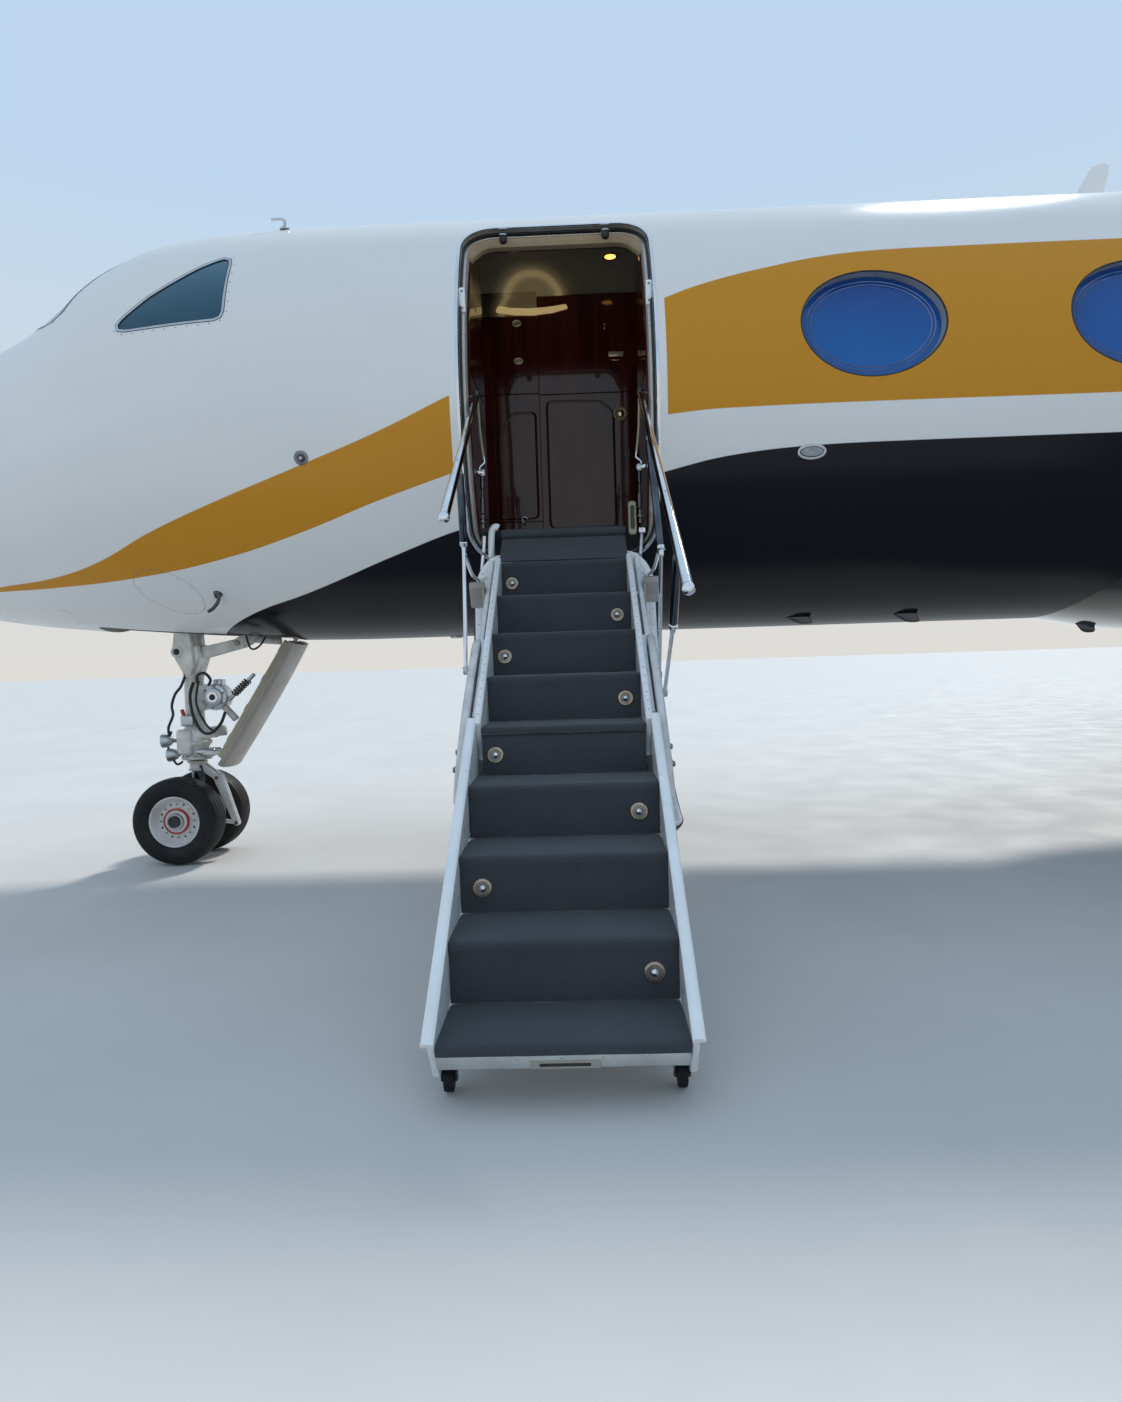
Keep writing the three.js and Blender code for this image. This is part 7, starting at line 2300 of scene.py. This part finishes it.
def makeFairing():
    table = [(-5.9, .5, 1.35), (-5.3, .9, 1.26), (-4.4, 1.13, 1.175), (-3.0, 1.235, 1.122), (0.0, 1.235, 1.117),
        (1.5, 1.15, 1.137), (2.7, .85, 1.23), (3.5, .5, 1.35)]
    wide, top = 1.65, 1.86
    rings = []
    for i in range(len(table) - 1):
        p0, p1, p2, p3 = (Vector(table[min(max(i + k, 0), len(table) - 1)]) for k in (-1, 0, 1, 2))
        steps = 6 if i < len(table) - 2 else 7
        for k in range(steps):
            t = k / 6
            x, half, bottom = .5 * (2 * p1 + (p2 - p0) * t + (2 * p0 - 5 * p1 + 4 * p2 - p3) * t ** 2
                + (3 * p1 - p0 - 3 * p2 + p3) * t ** 3)
            rings.append([(p1.x + (p2.x - p1.x) * t, half * math.cos(a),
                wide + (top - wide if math.sin(a) > 0 else wide - bottom) * math.sin(a)) for a in turns(72)])
    form = newForm()
    add(form, outward(ringSkin(rings)), "black")
    # main wheel wells, closed by their doors, shown only as two small bright plates each side
    for side in (-1, 1):
        for x in (-3.9, -3.55):
            add(form, slabShape(softCorners([(x, side * .98), (x + .22, side * .98), (x + .22, side * 1.04),
                (x, side * 1.04)], .02), "z", 1.2, 1.235, .004), "alloy")
    makePiece("bellyFairing", form, standsFor=["belly_fairing"], crease=40)
    pads = newForm()
    for x, y, z in ((-9.3, 0, 1.325), (-.98, -3.4, 1.565), (-.98, 3.4, 1.565)):
        add(pads, turnedShape([(0.0, .028), (0.0, .038), (.002, .04), (.012, .04), (.016, .052), (.04, .056)],
            "z", (x, y, z), 40), "alloy")
        add(pads, turnedShape([(0.0, .028), (.003, .024), (.003, 0)], "z", (x, y, z), 40), "darkPlastic")
    makePiece("jackPads", pads, crease=40)


def makeTail():
    f, t = finSet, stabSet
    fin = newForm()
    r0, r1, rs = f["rudder"]
    for z0, z1, cutAt, steps in ((f["root"][1], r0, .998, 3), (r0, r1, rs - .006, 8),
            (r1, f["topZ"] - .001, .998, 1)):
        foilBody(fin, [finStation(z) for z in between(z0, z1, steps)], "tailSkin", end=cutAt)
    leadingStrip(fin, [finStation(z) for z in between(3.75, f["topZ"] - .05, 8)], .05, False, "bright")
    # dorsal fillet that runs forward onto the hull
    rings = []
    for k in range(17):
        s = k / 16
        x = 5.6 + 2.6 * s
        base = hullTop(x, 0)[2]
        tall = .02 + .62 * s ** 1.8
        half = .035 + .11 * s
        rings.append([(x, half * math.cos(a),
            base - .06 + (tall + .06) * max(0.0, math.sin(a)) ** .8 - .05 * max(0.0, -math.sin(a)))
            for a in turns(24)])
    add(fin, outward(ringSkin(rings)), "tailSkin")
    makePiece("fin", fin, standsFor=["fin"], crease=35)
    rudder = newForm()
    foilBody(rudder, [finStation(z) for z in between(r0 + .04, r1 - .044, 6)], "tailSkin", start=rs + .012)
    for z in (5.2, 6.0, 6.8):
        addWick(rudder, foilPoint(finStation(z), .99, 0.0), False)
    makePiece("rudder", rudder, "rudder", ["rudder"], 35)

    stab = newForm()
    e0, e1, es = t["elevator"]
    for mirror in (False, True):
        for y0, y1, cutAt, steps in ((0.0, e0, .998, 1), (e0, e1, es - .006, 8),
                (e1, t["half"] - .06, .998, 1)):
            foilBody(stab, [stabStation(y) for y in between(y0, y1, steps)], "tailSkin", end=cutAt,
                mirror=mirror)
        cap = []
        for k in range(7):
            a = math.pi / 2 * k / 6
            s = stabStation(t["half"] - .06 + .06 * math.sin(a))
            cap.append(s[:4] + (s[4] * max(math.cos(a), .04), 0))
        foilBody(stab, cap, "tailSkin", mirror=mirror)
        leadingStrip(stab, [stabStation(y) for y in between(.3, t["half"] - .08, 6)], .06, mirror, "bright")
        elevator = newForm()
        foilBody(elevator, [stabStation(y) for y in between(e0 + .015, e1 - .015, 6)], "tailSkin",
            start=es + .012, mirror=mirror)
        for y in (2.0, 2.8, 3.6, 4.3):
            addWick(elevator, foilPoint(stabStation(y), .99, 0.0), mirror, .07)
        side = "Left" if mirror else "Right"
        makePiece(f"elevator{side}", elevator, f"elevator_{side.lower()}", [f"elevator_{side.lower()}"],
            35)
    profile = [(9.2, 0.0), (9.22, .022), (9.28, .045), (9.35, .07), (9.55, .104), (9.8, .13), (10.3, .149),
        (11.0, .159), (11.8, .151), (12.5, .129), (12.9, .098), (13.2, .06), (13.33, .032), (13.4, 0.0)]
    add(stab, turnedShape(profile, "x", (0, 0, t["z"]), 40), "tailSkin")
    add(stab, turnedShape([(13.375, 0.0), (13.38, .018), (13.4, .022), (13.415, .018), (13.42, 0)], "x",
        (0, 0, t["z"]), 20), "lampGlass")
    makePiece("stabilizer", stab, standsFor=["stabilizer"], crease=35)


engineSet = {"y": 2.05, "z": 3.08, "fanX": 4.2, "fanR": .503, "blades": 22}


def makeEngines():
    e = engineSet
    for name, side in (("Left", -1), ("Right", 1)):
        at = (0, side * e["y"], e["z"])
        cowl = newForm()
        lip = [(3.62, .503), (3.55, .5), (3.46, .502), (3.4, .51), (3.355, .524), (3.318, .545), (3.301, .568),
            (3.301, .583), (3.318, .6), (3.36, .616), (3.42, .628), (3.5, .64)]
        outer = [(3.502, .6398), (3.504, .6385), (3.508, .6385), (3.51, .6415), (3.65, .656), (3.8, .667),
            (4.3, .681), (4.86, .688), (4.862, .6865), (4.868, .6865), (4.87, .688), (5.4, .6885), (6.0, .674),
            (6.398, .654), (6.4, .6525), (6.406, .6525), (6.408, .653), (6.9, .606), (7.4, .541), (7.8, .484),
            (8.19, .4275), (8.2, .425)]
        inner = [(8.2, .405), (8.0, .42), (7.5, .455), (6.9, .5185), (4.62, .5185), (4.3, .515), (4.0, .522),
            (3.8, .512), (3.62, .503)]

        def hoop(profile, look):
            rings = []
            for along, radius in profile:
                rings.append([(along, at[1] + radius * math.cos(a), at[2] + radius * math.sin(a))
                    for a in turns(96)])
            return ringSkin(rings, (False, False)), look

        # rings run from the throat round the lip, aft outside and forward again inside
        for profile, look in ((lip, "bright"), ([lip[-1]] + outer, "cowlSkin"),
                ([outer[-1]] + inner[:1], "hotMetal"), (inner[:3], "hotMetal"), (inner[2:6], "darkPlastic"),
                (inner[5:], "acoustic")):
            add(cowl, *hoop(profile, look))
        for k in range(5):
            a = math.radians(205 + 32 * k)
            spot = Vector((5.6, at[1] + .6865 * math.cos(a), at[2] + .6865 * math.sin(a)))
            add(cowl, blockShape(spot - Vector((.05, .012, .012)), spot + Vector((.05, 0.0, 0.0)), .003),
                "alloy")
        makePiece(f"nacelle{name}", cowl, standsFor=[f"nacelle_{name.lower()}"], crease=30)

        core = newForm()
        add(core, turnedShape([(4.625, .062), (4.625, .5), (4.66, .515), (4.7, .517), (6.88, .517), (7.1, .38),
            (7.5, .345), (7.9, .3), (7.98, .245), (7.98, .19), (8.0, .165), (8.2, .105), (8.42, .045),
            (8.54, .014), (8.55, 0)], "x", at, 64), "hotMetal")
        for k in range(24):  # guide vanes behind the fan
            a = 2 * math.pi * k / 24
            out = Vector((0, math.cos(a), math.sin(a)))
            across = Vector((0, -math.sin(a), math.cos(a)))
            rings = []
            for r in (.19, .35, .512):
                centre = Vector(at) + out * r + Vector((4.69, 0, 0))
                rings.append([tuple(centre + Vector((.055 * math.cos(t), 0, 0)) + across * (.006 * math.sin(t)))
                    for t in turns(10)])
            add(core, ringSkin(rings), "alloy")
        makePiece(f"engineCore{name}", core, standsFor=[f"engine_core_{name.lower()}"],
            crease=35)

        fan = newForm()
        middle = Vector((e["fanX"], at[1], at[2]))
        add(fan, turnedShape([(-.328, 0.0), (-.322, .014), (-.3, .038), (-.24, .078), (-.15, .12), (-.06, .148),
            (0.0, .16), (.1, .166), (.22, .168), (.22, .05), (.4, .05), (.41, 0.0)], "x", middle, 48),
            "darkPlastic")
        spiral = [tuple(middle + Vector((-.326 + .3 * s, (.012 + .142 * s ** .75) * math.cos(5.2 * s),
            (.012 + .142 * s ** .75) * math.sin(5.2 * s)))) for s in between(.02, .95, 40)]
        add(fan, pipeShape(spiral, .0065, 8), "white")
        for k in range(e["blades"]):
            a = 2 * math.pi * k / e["blades"]
            out = Vector((0, math.cos(a), math.sin(a)))
            across = Vector((0, -math.sin(a), math.cos(a)))
            rings = []
            for j in range(9):
                t = j / 8
                r = .158 + (e["fanR"] - .158) * t
                twist = math.radians(28 + 34 * t)
                chord = .075 + .055 * math.sin(math.pi * min(1.0, t * .9 + .1))
                sweep = .03 * math.sin(math.pi * t) + .02 * t
                direction = Vector((math.cos(twist), 0, 0)) + across * math.sin(twist)
                normal = direction.cross(out).normalized()
                centre = middle + out * r + Vector((.04 - sweep, 0, 0))
                ring = []
                for m in range(14):
                    b = 2 * math.pi * m / 14
                    ring.append(tuple(centre + direction * (chord * math.cos(b))
                        + normal * ((.006 - .003 * t) * math.sin(b) + .012 * (1 - math.cos(b) ** 2) * .6)))
                rings.append(ring)
            add(fan, outward(ringSkin(rings)), "fanMetal")
        makePiece(f"fan{name}", fan, f"fan_{name.lower()}", [f"fan_{name.lower()}"], 35)

        pylon = newForm()
        stations = [(4.3, y, 3.02, 3.5, .085, 0) for y in between(.7, 1.578, 5)]
        foilBody(pylon, stations, "cowlSkin", mirror=side < 0)
        makePiece(f"pylon{name}", pylon, standsFor=[f"pylon_{name.lower()}"], crease=35)


looks["wingSkin"] = workedLook("wingPaint", (.7, .71, .71), (.62, .63, .63), .36, coat=.25, scale=1.3, fine=3.0,
    bump=.04, depth=.0004, Coat_Roughness=.15)
looks["tailSkin"] = workedLook("tailPaint", paints["gold"], (.52, .225, .016), .2, coat=1.0, scale=1.3,
    fine=3.0, bump=.2, depth=.001)
looks["cowlSkin"] = workedLook("cowlPaint", paints["white"], (.72, .72, .71), .18, coat=1.0, scale=1.6,
    fine=3.0, bump=.2, depth=.001)
looks["acoustic"] = workedLook("inletLiner", (.3, .3, .3), (.16, .16, .16), .45, .6, scale=60, fine=400)
looks["fanMetal"] = workedLook("fanTitanium", (.34, .35, .37), (.2, .21, .23), .26, 1.0, scale=12, fine=140,
    stretch=(1, 1, 1))
looks["greenGlass"] = workedLook("greenLens", (.01, .3, .1), (.006, .18, .06), .1, coat=1.0, scale=30, fine=120,
    bump=.3)
makeFairing()
for name, side in (("Left", -1), ("Right", 1)):
    makeWing(name, side)
makeTail()
makeEngines()
print("wings, tail and engines made")
